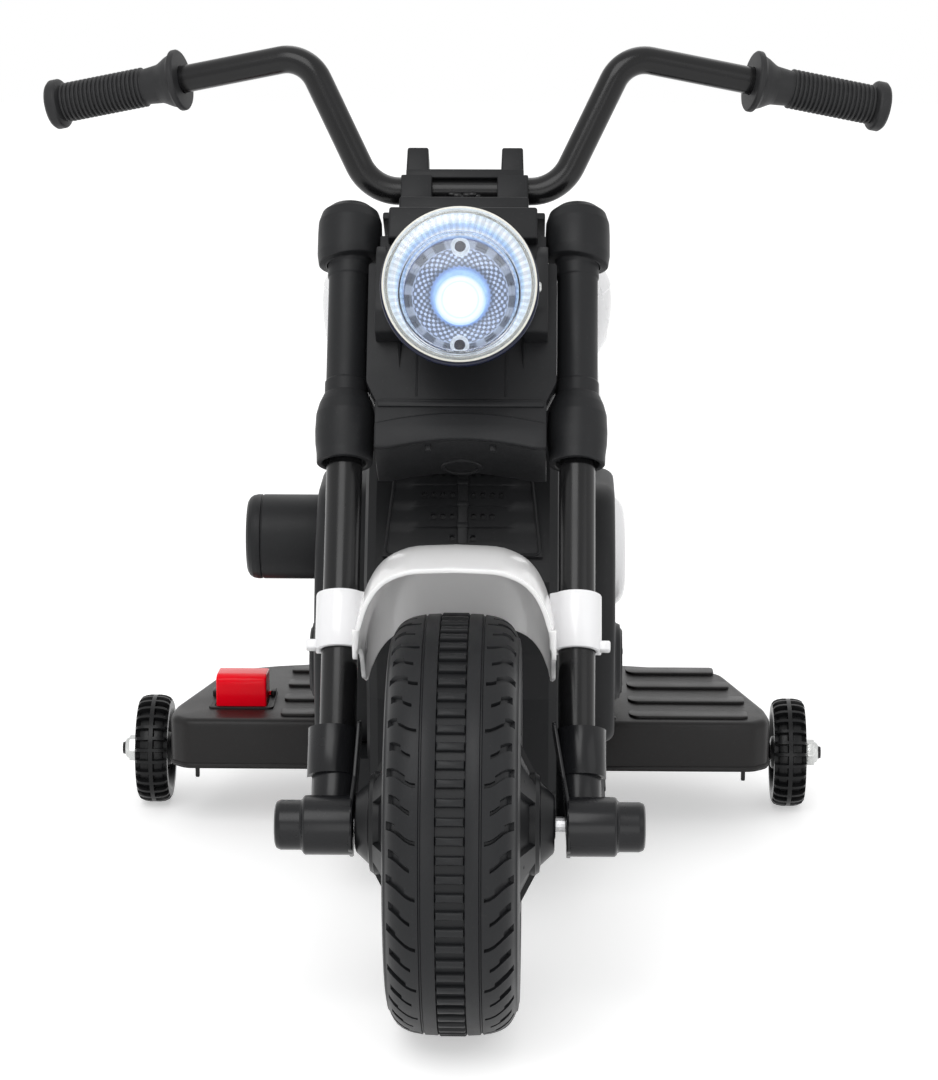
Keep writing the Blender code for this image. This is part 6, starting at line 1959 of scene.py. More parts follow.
@dataclass
class FrontGrille:
    """The louvred panel over the speaker, with its rows of holes, centre rib and beaded frame."""

    low: float = 0.185
    top: float = 0.2612
    half_low: float = 0.0485
    half_top: float = 0.0405
    back: float = 0.0417
    thick: float = 0.003
    rib_half: float = 0.00355
    hole_pitch: float = 0.0057
    hole_r: float = 0.0017
    louvre: float = 0.0138
    louvre_depth: float = 0.0013
    counts: tuple[int, ...] = (1, 3, 4, 3, 1)
    first_row: float = 0.003

    def build(self) -> None:
        """Makes the panel."""
        shape = self._panel()
        front = self.back - self.thick
        rib_low = (-0.003, front - 0.002, self.low + 0.004)
        shape = joined(shape, rounded(block(rib_low, (0.003, front + 0.001, self.top - 0.003)), 0.0006, 2))
        rows = len(self.counts)
        for i in range(rows):
            height = self.top - self.first_row - self.louvre * (i + 1)
            low = (-0.0034, front - 0.0025, height)
            shape = joined(shape, rounded(block(low, (0.0034, front + 0.001, height + 0.0034)), 0.0006, 2))
        shape = joined(shape, self._bead(front))
        piece("grille_panel", steered(shape), CHARCOAL, Body.CHASSIS, ["front_grille"], sharp=30.0)

    def _half_at(self, height: float) -> float:
        """The panel's half width at a height."""
        share = (height - self.low) / (self.top - self.low)
        return self.half_low + (self.half_top - self.half_low) * share

    def _panel(self) -> Shape:
        """The louvred sheet with its round holes, closed behind."""
        lines = [self.rib_half + self.hole_pitch * k for k in range(6)] + [0.0365]
        columns = [-1.0] + [-x for x in reversed(lines)] + lines + [1.0]
        heights = [self.top]
        depths = [0.0]
        for i in range(len(self.counts)):
            start = self.top - self.first_row - self.louvre * i
            for share in (0.0, 0.25, 0.66, 0.94):
                heights.append(start - share * self.louvre)
                depths.append(share * self.louvre_depth)
        heights.append(self.low)
        depths.append(0.0)
        shape = bmesh.new()
        across, up = len(columns) - 1, len(heights) - 1
        bmesh.ops.create_grid(shape, x_segments=across, y_segments=up, size=1.0)
        front = self.back - self.thick
        for vertex in shape.verts:
            i = round((vertex.co.x + 1.0) / 2.0 * across)
            j = round((1.0 - vertex.co.y) / 2.0 * up)
            edge = self._half_at(heights[j])
            x = columns[i] * edge if abs(columns[i]) == 1.0 else columns[i]
            fade = 1.0 if abs(x) < 0.03 else 0.25
            vertex.co = Vector((x, front - depths[j] * fade, heights[j]))
        self._holes(shape)
        rim = [edge for edge in shape.edges if edge.is_boundary]
        made = bmesh.ops.extrude_edge_only(shape, edges=rim)
        behind = [item for item in made["geom"] if isinstance(item, bmesh.types.BMVert)]
        for vertex in behind:
            vertex.co.y = self.back
        bmesh.ops.holes_fill(shape, edges=[edge for edge in shape.edges if edge.is_boundary])
        return tidied(shape)

    def _holes(self, shape: Shape) -> None:
        """Sinks a round hole in each chosen cell.

        Args:
            shape: The sheet.
        """
        chosen = []
        for face in shape.faces:
            middle = face.calc_center_median()
            column = (abs(middle.x) - self.rib_half) / self.hole_pitch
            row = (self.top - self.first_row - middle.z) / self.louvre
            index = int(row)
            if row > 0.0 and index < len(self.counts) and 0.0 < column < self.counts[index]:
                if 0.25 < row - index < 0.66:
                    chosen.append(face)
        bmesh.ops.inset_individual(shape, faces=chosen, thickness=0.0008, depth=0.0)
        edges = {edge for face in chosen for edge in face.edges}
        bmesh.ops.subdivide_edges(shape, edges=list(edges), cuts=2)
        for face in chosen:
            middle = face.calc_center_median()
            for vertex in face.verts:
                away = (vertex.co - middle).normalized()
                vertex.co = middle + away * self.hole_r
        bmesh.ops.inset_individual(shape, faces=chosen, thickness=0.0001, depth=-0.0024)

    def _bead(self, front: float) -> Shape:
        """The raised bead round the panel's edge.

        Args:
            front: The panel's face.

        Returns:
            The bead.
        """
        corners = [
            (-self.half_low, self.low), (self.half_low, self.low), (self.half_top, self.top),
            (-self.half_top, self.top),
        ]
        ring = softened(inset(corners, 0.0012), 0.004, closed=True, steps=4)
        return bead([(x, front - 0.0004, z) for x, z in ring], 0.0009, 8)


@dataclass
class BodyShells:
    """The two body halves as the frame holds them, dressed, with their screws and ribs."""

    half: float = 0.06
    tub_half: float = 0.088
    tub_low: float = 0.052
    ribs: int = 3
    rib_pitch: float = 0.012
    rib_tall: float = 0.0036
    rib_span: Point2 = (-0.052, 0.086)
    screws: tuple[Point2, ...] = ((0.03, 0.286), (0.092, 0.272), (-0.02, 0.318), (0.005, 0.384))

    def build(self) -> None:
        """Dresses the halves and adds their screws and ribs."""
        for side in Side:
            dress(f"body_shell_{side.word}", CHARCOAL)
        self._screws()
        self._tub_ribs()

    def _screws(self) -> None:
        """Makes the row of screws along each shell."""
        cup = [(0.002, -0.001), (0.0052, -0.001), (0.0046, 0.001), (0.0026, 0.001)]
        for side in Side:
            heads = []
            for y, z in self.screws:
                head = joined(lathe(cup, 28, closed=True), screw_head(0.0026, 0.0009))
                heads.append(moved(head, (self.half + 0.0002, y, z)))
            shape = flipped(joined(*heads), side)
            piece(f"shell_screws_{side.word}", shape, ZINC_DARK, Body.CHASSIS)

    def _tub_ribs(self) -> None:
        """Makes the raised ribs along the tub's sides."""
        for side in Side:
            ribs = []
            for i in range(self.ribs):
                height = self.tub_low + 0.011 + i * self.rib_pitch
                low = (self.tub_half - 0.001, self.rib_span[0], height)
                high = (self.tub_half + 0.0012, self.rib_span[1], height + self.rib_tall)
                ribs.append(rounded(block(low, high), 0.0011, 3))
            piece(f"tub_ribs_{side.word}", flipped(joined(*ribs), side), CHARCOAL, Body.CHASSIS)


def dress(node: str, finish: Finish) -> None:
    """Gives a frame node a finish in place of its plain one.

    Args:
        node: The node.
        finish: Its finish.
    """
    carried = frame["nodes"][node]
    material = finish.build(node)
    if carried.material_slots:
        for held in carried.material_slots:
            held.material = material
    else:
        carried.data.materials.append(material)
    LOG.info("%s: carried over, %s", node, finish.slot)


@dataclass
class Tank:
    """The glossy tank cover, with its side panels, filler cap and the tab on which it rests."""

    half: float = 0.092
    low: float = 0.336
    top: float = 0.405
    front: float = -0.02
    back: float = 0.112
    wall: float = 0.0025
    round_r: float = 0.0045
    dash_half: float = 0.0313
    dash_front: float = 0.0297
    dash_back: float = 0.0883

    def build(self) -> None:
        """Makes the cover."""
        half_arch = [(0.85, 0.0), (0.96, 0.2), (1.0, 0.45), (0.985, 0.66)]
        half_arch += [(0.89, 0.84), (0.68, 0.94), (0.38, 0.99), (0.0, 1.0)]
        fine = smoothed([*half_arch, (-0.38, 0.99)], 4)[: 4 * (len(half_arch) - 1) + 1]
        arch = fine + [(-x, rise) for x, rise in reversed(fine[:-1])]
        stations = [
            (-0.03, 0.8, -0.013, 1.0), (0.08, 0.93, -0.003, 0.9), (0.3, 1.0, 0.0, 0.6),
            (0.57, 0.98, 0.0, 0.3), (0.8, 0.86, -0.005, 0.1), (0.95, 0.71, -0.02, 0.0),
            (1.0, 0.63, -0.038, 0.0),
        ]
        rings = [self._ring(arch, *station) for station in smoothed(stations, 6)]
        shape = lofted(rings, closed=False)
        ends = [edge for edge in shape.edges if edge.calc_face_angle(0.0) > math.radians(35.0)]
        bmesh.ops.bevel(
            shape, geom=ends, offset=self.round_r, segments=4, profile=0.5, affect="EDGES", clamp_overlap=True
        )
        bottom = [
            face for face in shape.faces if abs(face.normal.z) > 0.99 and face.calc_center_median().z < 0.337
        ]
        bmesh.ops.delete(shape, geom=bottom, context="FACES")
        self._panels(shape)
        walled(shape, self.wall)
        hole_low = (-self.dash_half, self.dash_front, self.top - 0.02)
        shape = carved(shape, block(hole_low, (self.dash_half, self.dash_back, self.top + 0.02)))
        piece("tank_shell", shape, WHITE, Body.CHASSIS, ["tank_cover"], sharp=32.0)
        self._cap()
        self._foot()

    def _ring(self, arch: Sequence[Point2], share: float, width: float, lower: float, slant: float) -> list:
        """One cross-section of the cover.

        Args:
            arch: Its shape, as shares of the half width and the height.
            share: Where along the cover.
            width: Its half width as a share of the widest.
            lower: Its top against the highest.
            slant: How far it leans with the steering axis.

        Returns:
            Its points.
        """
        top = self.top + lower
        start = self.front + share * (self.back - self.front)
        ring = []
        for x, rise in arch:
            z = self.low + rise * (top - self.low)
            ring.append((x * width * self.half, start + (z - self.low) * math.tan(RAKE) * slant, z))
        return ring

    def _panels(self, shape: Shape) -> None:
        """Sinks a knee panel in each side.

        Args:
            shape: The skin.
        """
        for side in Side:
            chosen = []
            for face in shape.faces:
                middle = face.calc_center_median()
                rise = (middle.z - self.low) / (self.top - self.low)
                along = (middle.y - self.front) / (self.back - self.front)
                if middle.x * side.value > self.half * 0.6 and 0.2 < rise < 0.66 and 0.26 < along < 0.86:
                    chosen.append(face)
            bmesh.ops.inset_region(
                shape, faces=chosen, thickness=0.0012, depth=-0.001, use_even_offset=True
            )

    def _cap(self) -> None:
        """Makes the moulded filler cap ahead of the dash."""
        profile = [
            (0.0, 0.003), (0.007, 0.0028), (0.0078, 0.002), (0.0098, 0.002), (0.0104, 0.0008),
            (0.0112, 0.0006), (0.0116, -0.003), (0.0, -0.003),
        ]
        shape = upright(lathe(profile, 48, soft=0.0003), (0.0, 0.0165))
        notches = [
            face for face in shape.faces if abs(face.normal.z) < 0.6 and face.calc_center_median().z > 0.0008
        ]
        bmesh.ops.inset_individual(shape, faces=notches[::2], thickness=0.0001, depth=-0.0002)
        piece("tank_cap", moved(shape, (0.0, 0.0, self.top - 0.0012)), CHARCOAL, Body.CHASSIS)

    def _foot(self) -> None:
        """Makes the tab by which the cover rests on the neck."""
        low = (-0.03, 0.001, 0.3453)
        tab = rounded(block(low, (0.03, 0.016, 0.361)), 0.0015, 3)
        ribs = []
        for x in (-0.018, 0.0, 0.018):
            ribs.append(rounded(block((x - 0.0012, -0.0005, 0.347), (x + 0.0012, 0.002, 0.359)), 0.0005, 2))
        piece("tank_foot", joined(tab, *ribs), WHITE, Body.CHASSIS)


@dataclass
class Dash:
    """The small switch panel in the tank's top."""

    half: float = 0.031
    front: float = 0.03
    back: float = 0.088
    top: float = 0.4095
    depth: float = 0.017
    thick: float = 0.003
    rocker_x: float = 0.0145
    rocker_y: float = 0.046
    rocker_wide: float = 0.013
    rocker_long: float = 0.019
    button_y: float = 0.073
    button_r: float = 0.0062
    slack: float = 0.0007
    rail_r: float = 0.0008
    screw_r: float = 0.0021
    grip_bars: int = 3
    grip_pitch: float = 0.0018

    def build(self) -> None:
        """Makes the panel, both rockers and the button."""
        self._panel()
        self._rocker("power", Side.RIGHT, Body.POWER, "power_switch")
        self._rocker("direction", Side.LEFT, Body.DIRECTION, "direction_switch")
        self._button()

    def _panel(self) -> None:
        """Makes the panel."""
        half, top = self.half, self.top
        corners = [(-half, self.front), (half, self.front), (half, self.back), (-half, self.back)]
        outline = softened(corners, 0.006, closed=True, steps=6)
        base = rounded(extruded(outline, "Z", top - self.depth, top - 0.0012), 0.0012, 3, 60.0)
        room = extruded(inset(outline, 0.0025), "Z", top - self.depth - 0.01, top - self.thick)
        holes, rails = [], []
        for side in Side:
            x = side.value * self.rocker_x
            half_wide, half_long = self.rocker_wide / 2 + self.slack, self.rocker_long / 2 + self.slack
            hole_low = (x - half_wide, self.rocker_y - half_long, top - 0.02)
            holes.append(block(hole_low, (x + half_wide, self.rocker_y + half_long, top + 0.01)))
            wide, long = half_wide + self.rail_r, half_long + self.rail_r
            rail = [(x + p * wide, self.rocker_y + q * long) for p, q in CORNERS]
            rail = softened(rail, 0.0015, closed=True)
            rails.append(bead([(px, py, top - 0.0009) for px, py in rail], self.rail_r, 10))
            for y in (self.front + 0.0045, self.back - 0.0045):
                screw = upright(screw_head(self.screw_r, 0.0011))
                rails.append(moved(screw, (side.value * (half - 0.0055), y, top - 0.0012)))
        hole_r = self.button_r + 0.0006
        hole = lathe([(0.0, -0.02), (hole_r, -0.02), (hole_r, 0.01), (0.0, 0.01)], 48)
        holes.append(moved(upright(hole), (0.0, self.button_y, top)))
        bezel = [
            (hole_r, -0.002), (hole_r + 0.0034, -0.002), (hole_r + 0.003, -0.0003), (hole_r + 0.002, 0.0),
            (hole_r, -0.0002),
        ]
        rails.append(moved(upright(lathe(bezel, 48, closed=True)), (0.0, self.button_y, top)))
        shape = joined(carved(base, room, *holes), *rails)
        piece("dash", shape, CHARCOAL, Body.CHASSIS, ["dash_panel"], sharp=35.0)

    def _rocker(self, word: str, side: Side, body: Body, node: str) -> None:
        """Makes a rocker.

        Args:
            word: What it switches.
            side: The rider's side that it lies on.
            body: The body it rides on.
            node: The frame's node.
        """
        half_wide, half_long = self.rocker_wide / 2, self.rocker_long / 2
        dish = [
            (half_long * (1.0 - k / 8), 0.0052 - 0.0012 * math.sin(math.pi * k / 16)) for k in range(17)
        ]
        outline = [(-half_long, -0.005), (half_long, -0.005), *dish]
        shape = rounded(extruded(outline, "X", -half_wide, half_wide), 0.0007, 2, 50.0)
        bars = []
        for end in (-1.0, 1.0):
            for i in range(self.grip_bars):
                y = end * (half_long - 0.0022 - self.grip_pitch * i)
                low = (-half_wide + 0.0022, y - 0.0004, 0.0036)
                bars.append(rounded(block(low, (half_wide - 0.0022, y + 0.0004, 0.005)), 0.0002, 1))
        shape = joined(shape, *bars)
        moved(shape, (side.value * self.rocker_x, self.rocker_y, self.top - 0.003))
        piece(f"{word}_rocker_cap", shape, SHOE_BLACK, body, [node], sharp=40.0)

    def _button(self) -> None:
        """Makes the round sound button."""
        button_r = self.button_r
        profile = [
            (0.0, 0.0019), (button_r * 0.55, 0.0017), (button_r * 0.62, 0.0013), (button_r * 0.7, 0.0018),
            (button_r * 0.88, 0.0022), (button_r, 0.0014), (button_r, -0.0084), (0.0, -0.0085),
        ]
        shape = moved(upright(lathe(profile, 48, soft=0.0003)), (0.0, self.button_y, self.top))
        piece("sound_button_cap", shape, RED, Body.BUTTON, ["sound_button"])


@dataclass
class Saddle:
    """The moulded saddle with its pleats and lower bead."""

    front: float = 0.118
    back: float = 0.33
    half: float = 0.074
    tall: float = 0.044
    bottom: float = 0.2903
    pleats: int = 6
    pleat_start: float = 0.24
    pleat_end: float = 0.88
    pleat_depth: float = 0.0009
    bolt_x: float = 0.03

    def build(self) -> None:
        """Makes the saddle."""
        stations = [
            (0.0, 0.52, 0.5), (0.035, 0.6, 0.8), (0.16, 0.72, 0.92), (0.4, 0.92, 0.8),
            (0.64, 1.0, 0.84), (0.86, 0.96, 1.06), (0.965, 0.8, 1.02), (1.0, 0.66, 0.7),
        ]
        half_ring = [(0.8, 0.0), (0.93, 0.03), (0.965, 0.1), (0.95, 0.17), (0.935, 0.2), (0.97, 0.3)]
        half_ring += [(1.0, 0.42), (0.93, 0.72), (0.74, 0.9), (0.4, 0.98), (0.0, 1.0)]
        fine = smoothed([*half_ring, (-0.4, 0.98)], 3)[: 3 * (len(half_ring) - 1) + 1]
        ring_shape = fine + [(-x, rise) for x, rise in reversed(fine[:-1])]
        rings = []
        for share, width, height in smoothed(stations, 9):
            y = self.front + share * (self.back - self.front)
            ring = []
            for x, rise in ring_shape:
                sink = self._pleat(share, x, rise)
                ring.append((x * width * self.half, y, self.bottom + rise * height * self.tall - sink))
            rings.append(ring)
        shape = rounded(lofted(rings, closed=True), 0.0022, 3, 50.0)
        piece("saddle", shape, CHARCOAL_FINE, Body.CHASSIS, ["seat"], sharp=60.0)
        self._bolts()

    def _pleat(self, share: float, x: float, rise: float) -> float:
        """How far the pleats sink a point.

        Args:
            share: Where along the saddle.
            x: Where across it, from -1 to 1.
            rise: Where up it, from 0 to 1.

        Returns:
            The depth in metres.
        """
        start, end = self.pleat_start, self.pleat_end
        if rise < 0.85 or not start < share < end:
            return 0.0
        wave = math.cos((share - start) / 0.64 * math.tau * self.pleats)
        edge = min(1.0, (share - start) / 0.06, (end - share) / 0.06)
        across = min(1.0, max(0.0, (0.8 - abs(x)) / 0.14))
        return self.pleat_depth * (0.5 + 0.5 * wave) ** 3 * edge * across + 0.0007 * edge * across

    def _bolts(self) -> None:
        """Makes the two bolts through the saddle's back edge."""
        y, z = self.back - 0.0125, self.bottom + self.tall * 1.035
        bolts = []
        for side in Side:
            bolt = upright(screw_head(0.0036, 0.0018))
            bolts.append(moved(bolt, (side.value * self.bolt_x, y, z)))
        piece("saddle_bolts", joined(*bolts), ZINC, Body.CHASSIS)


@dataclass
class RearFender:
    """The glossy rear fender with a raised spine and a turned-out edge."""

    half: float = 0.047
    radius: float = 0.132
    wall: float = 0.0025
    ahead: float = math.radians(45.0)
    behind: float = math.radians(90.0)
    spine: float = 0.0085
    steps: int = 72

    def build(self) -> None:
        """Makes the fender."""
        wide, top = self.half, self.radius
        half = [
            (0.0, top), (self.spine, top), (self.spine + 0.0014, top - 0.0011), (wide * 0.6, top - 0.0013),
            (wide * 0.78, top - 0.0028), (wide * 0.9, top - 0.0058), (wide * 0.975, top - 0.011),
            (wide - 0.0004, top - 0.017), (wide - 0.0004, top - 0.0275), (wide, top - 0.0283),
            (wide, top - 0.031),
        ]
        shape = arched(softened(half, 0.0016, steps=2), self.ahead, self.behind, self.steps)
        rounded(walled(shape, self.wall), 0.0008, 2, 60.0)
        moved(shape, centre_of("rear_axle"))
        piece("rear_fender_skin", shape, WHITE, Body.CHASSIS, ["rear_fender"], sharp=50.0)


def pillow(outline: Sequence[Point2], low: float, high: float, edge: Point2, steps: int = 6) -> Shape:
    """A flat outline given a thickness along X, with a rounded outer edge.

    Args:
        outline: Its points, as (y, z).
        low: Its inner face.
        high: Its outer face.
        edge: The round's reach along X and inwards.
        steps: Facets in the round.

    Returns:
        The solid.
    """
    levels = [(low, 0.0), (high - edge[0], 0.0)]
    for k in range(1, steps + 1):
        turn = math.pi / 2 * k / steps
        levels.append((high - edge[0] * (1 - math.sin(turn)), edge[1] * (1 - math.cos(turn))))
    shape = lofted([[(x, *point) for point in inset(outline, depth)] for x, depth in levels], closed=True)
    bmesh.ops.recalc_face_normals(shape, faces=shape.faces[:])
    shape.normal_update()
    return shape


@dataclass
class EngineCovers:
    """The side covers of the dummy engine, with sunken fins and a round cover, and the air cleaner."""

    inner: float = 0.0603
    out: float = 0.0945
    edge: Point2 = (0.01, 0.007)
    front: float = -0.038
    back: float = 0.109
    low: float = 0.1004
    top: float = 0.256
    sunk: float = 0.0036
    disc_r: float = 0.028
    disc_out: float = 0.1
    cleaner_r: float = 0.0275
    cleaner_y: float = 0.06
    cleaner_z: float = 0.212
    cleaner_out: float = 0.143
    parting: float = 0.01
    fins: int = 5
    fin_pitch: float = 0.0105
    fin_tall: float = 0.0045
    rods: int = 2
    rod_r: float = 0.0029
    disc_screws: int = 5

    def build(self) -> None:
        """Makes both covers and the air cleaner."""
        for side in Side:
            self._cover(side)
        self._air_cleaner()

    def _outline(self) -> list[Point2]:
        """The cover's outline, as (y, z)."""
        front, back, top = self.front, self.back, self.top
        corners = [
            (front - 0.002, self.low), (back, self.low), (back, top - 0.026), (back - 0.026, top),
            (front + 0.052, top), (front + 0.018, top - 0.03), (front, top - 0.076),
            (front - 0.005, self.low + 0.04),
        ]
        return softened(corners, 0.014, closed=True, steps=5)

    def _cover(self, side: Side) -> None:
        """Makes a cover.

        Args:
            side: The rider's side.
        """
        front = self.front
        shape = pillow(self._outline(), self.inner, self.out, self.edge)
        crown = max(shape.faces, key=lambda face: (round(face.normal.x, 3), face.calc_area()))
        bmesh.ops.inset_region(shape, faces=[crown], thickness=0.005, depth=0.0)
        bmesh.ops.inset_region(shape, faces=[crown], thickness=0.0012, depth=-self.sunk)
        disc_at = (front + 0.058, self.low + 0.04)
        floor = self.out - self.sunk
        shapes = [shape, moved(self._disc(), (0.0, *disc_at))]
        for i in range(self.fins):
            height = disc_at[1] + self.disc_r + 0.008 + i * self.fin_pitch
            high = (self.out - 0.0003, front + 0.066, height + self.fin_tall)
            shapes.append(rounded(block((floor - 0.001, front + 0.03, height), high), 0.0014, 3))
        for k in range(self.rods):
            foot = Vector((floor + 0.0006, front + 0.08 + 0.012 * k, self.low + 0.052))
            head = foot + Vector((0.0, -0.006 + 0.012 * k, 0.08))
            shapes.append(tube([foot, (foot + head) / 2, head], self.rod_r, 20))
            collar = [(0.0, -0.003), (0.004, -0.003), (0.0044, 0.0), (0.004, 0.004), (0.0, 0.004)]
            shapes.append(moved(upright(lathe(collar, 28, soft=0.0004)), foot))
        for y, z in ((front + 0.018, self.low + 0.018), (self.back - 0.018, self.low + 0.018)):
            shapes.append(moved(screw_head(0.0034, 0.0018), (floor - 0.0002, y, z)))
        name = f"engine_cover_{side.word}"
        shape = flipped(joined(*shapes), side)
        piece(f"engine_side_{side.word}", shape, CHARCOAL, Body.CHASSIS, [name], sharp=35.0)

    def _disc(self) -> Shape:
        """The round cover with its rings and rim screws, its axis along X."""
        out, radius = self.disc_out, self.disc_r
        profile = [
            (0.0, out - 0.0014), (radius * 0.2, out - 0.0014), (radius * 0.24, out - 0.0004),
            (radius * 0.34, out - 0.0004), (radius * 0.38, out - 0.0016), (radius * 0.52, out - 0.0016),
            (radius * 0.56, out - 0.0002), (radius * 0.72, out), (radius * 0.76, out - 0.0012),
            (radius * 0.84, out - 0.0014), (radius * 0.88, out - 0.004), (radius * 0.94, out - 0.0046),
            (radius, out - 0.0075), (radius, self.out - self.sunk - 0.001),
            (0.0, self.out - self.sunk - 0.001),
        ]
        screws = []
        for i in range(self.disc_screws):
            angle = math.tau * i / self.disc_screws
            spot = (out - 0.0005, radius * 0.64 * math.cos(angle), radius * 0.64 * math.sin(angle))
            screws.append(moved(screw_head(0.0022, 0.0008), spot))
        return joined(lathe(profile, 72, soft=0.0004), *screws)

    def _air_cleaner(self) -> None:
        """Makes the smooth drum on the rider's right, with its parting line and end rings."""
        radius, out = self.cleaner_r, self.cleaner_out
        line = out - self.parting
        foot = self.out - self.sunk + GAP
        profile: list[Point2] = [
            (0.0, out - 0.0008), (radius * 0.3, out - 0.0008), (radius * 0.33, out - 0.0002),
            (radius * 0.62, out - 0.0002), (radius * 0.65, out - 0.0007), (radius * 0.7, out - 0.0007),
            (radius * 0.73, out), (radius * 0.84, out - 0.0003), (radius * 0.93, out - 0.0018),
            (radius * 0.98, out - 0.004), (radius, out - 0.0068), (radius, line + 0.0006),
            (radius - 0.0006, line + 0.0003), (radius - 0.0006, line - 0.0003), (radius, line - 0.0006),
            (radius, foot + 0.0045), (radius - 0.001, foot + 0.004), (radius - 0.001, foot),
            (radius - 0.004, foot), (radius - 0.004, out - 0.006), (0.0, out - 0.006),
        ]
        screw = moved(screw_head(0.004, 0.0009), (out - 0.0008, 0.0, 0.0))
        shape = joined(lathe(profile, 72, soft=0.0003), screw)
        shape = flipped(moved(shape, (0.0, self.cleaner_y, self.cleaner_z)), Side.RIGHT)
        piece("air_cleaner_drum", shape, CHARCOAL, Body.CHASSIS, ["air_cleaner"], sharp=35.0)


@dataclass
class SideCovers:
    """The glossy panels below the saddle, each with its rounded bulge."""

    inner: float = 0.0603
    out: float = 0.088
    edge: Point2 = (0.01, 0.007)
    bulge_out: float = 0.105
    bulge_round: float = 0.014
    bulge_half: Point2 = (0.055, 0.038)
    front: float = 0.113
    top: float = 0.287
    axle_y: float = 0.238
    deck_back: float = 0.318
    bars: int = 3
    bar_pitch: float = 0.013
    bar_lean: float = 0.01
    steps: int = 64

    def build(self) -> None:
        """Makes both panels and their screws."""
        front, top = self.front, self.top
        outline = [
            (front, 0.16), (front + 0.02, 0.1475), (self.axle_y - 0.005, 0.1475),
            (self.axle_y + 0.03, 0.168), (self.deck_back - 0.01, top - 0.034),
            (self.deck_back - 0.016, top - 0.012), (self.deck_back - 0.036, top), (front + 0.02, top),
            (front, top - 0.02),
        ]
        outline = softened(outline, 0.01, closed=True, steps=4)
        spots = ((front + 0.026, top - 0.02), (self.axle_y + 0.018, 0.185), (self.deck_back - 0.034, 0.262))
        cup = [(0.003, -0.0006), (0.005, -0.0006), (0.0046, 0.0005), (0.0034, 0.0005)]
        for side in Side:
            shape = joined(pillow(outline, self.inner, self.out, self.edge), self._bulge(), *self._bars())
            screws = []
            for y, z in spots:
                screws.append(moved(lathe(cup, 28, closed=True), (self.out, y, z)))
                screws.append(moved(screw_head(0.0028, 0.001), (self.out - 0.0004, y, z)))
            name = f"side_panel_{side.word}"
            piece(name, flipped(shape, side), WHITE, Body.CHASSIS, [f"side_cover_{side.word}"])
            piece(f"side_panel_screws_{side.word}", flipped(joined(*screws), side), ZINC_DARK, Body.CHASSIS)

    def _bulge(self) -> Shape:
        """The oval bulge over the motor, with a sunken line round its face."""
        motor = centre_of("drive_motor")
        y, z = motor.y - 0.014, motor.z + 0.01
        half_long, half_tall = self.bulge_half
        turns = [math.tau * i / self.steps for i in range(self.steps)]
        oval = [(y + half_long * math.cos(a), z + half_tall * math.sin(a)) for a in turns]
        edge = (self.bulge_round, self.bulge_round)
        shape = pillow(oval, self.out - self.edge[0], self.bulge_out, edge, 8)
        crown = max(shape.faces, key=lambda face: (round(face.normal.x, 3), face.calc_area()))
        for thickness, depth in ((0.004, 0.0), (0.0006, -0.0006), (0.001, 0.0), (0.0006, 0.0006)):
            bmesh.ops.inset_region(shape, faces=[crown], thickness=thickness, depth=depth)
        return shape

    def _bars(self) -> list[Shape]:
        """The slanted bars on the panel over the bulge."""
        bars = []
        for i in range(self.bars):
            low = (self.out - 0.001, self.front + 0.048 + self.bar_pitch * i, 0.228)
            bar = rounded(block(low, (self.out + 0.001, low[1] + 0.006, 0.262)), 0.0009, 3)
            upper = [v for v in bar.verts if v.co.z > 0.245]
            bmesh.ops.translate(bar, vec=(0.0, self.bar_lean, 0.0), verts=upper)
            bars.append(bar)
        return bars


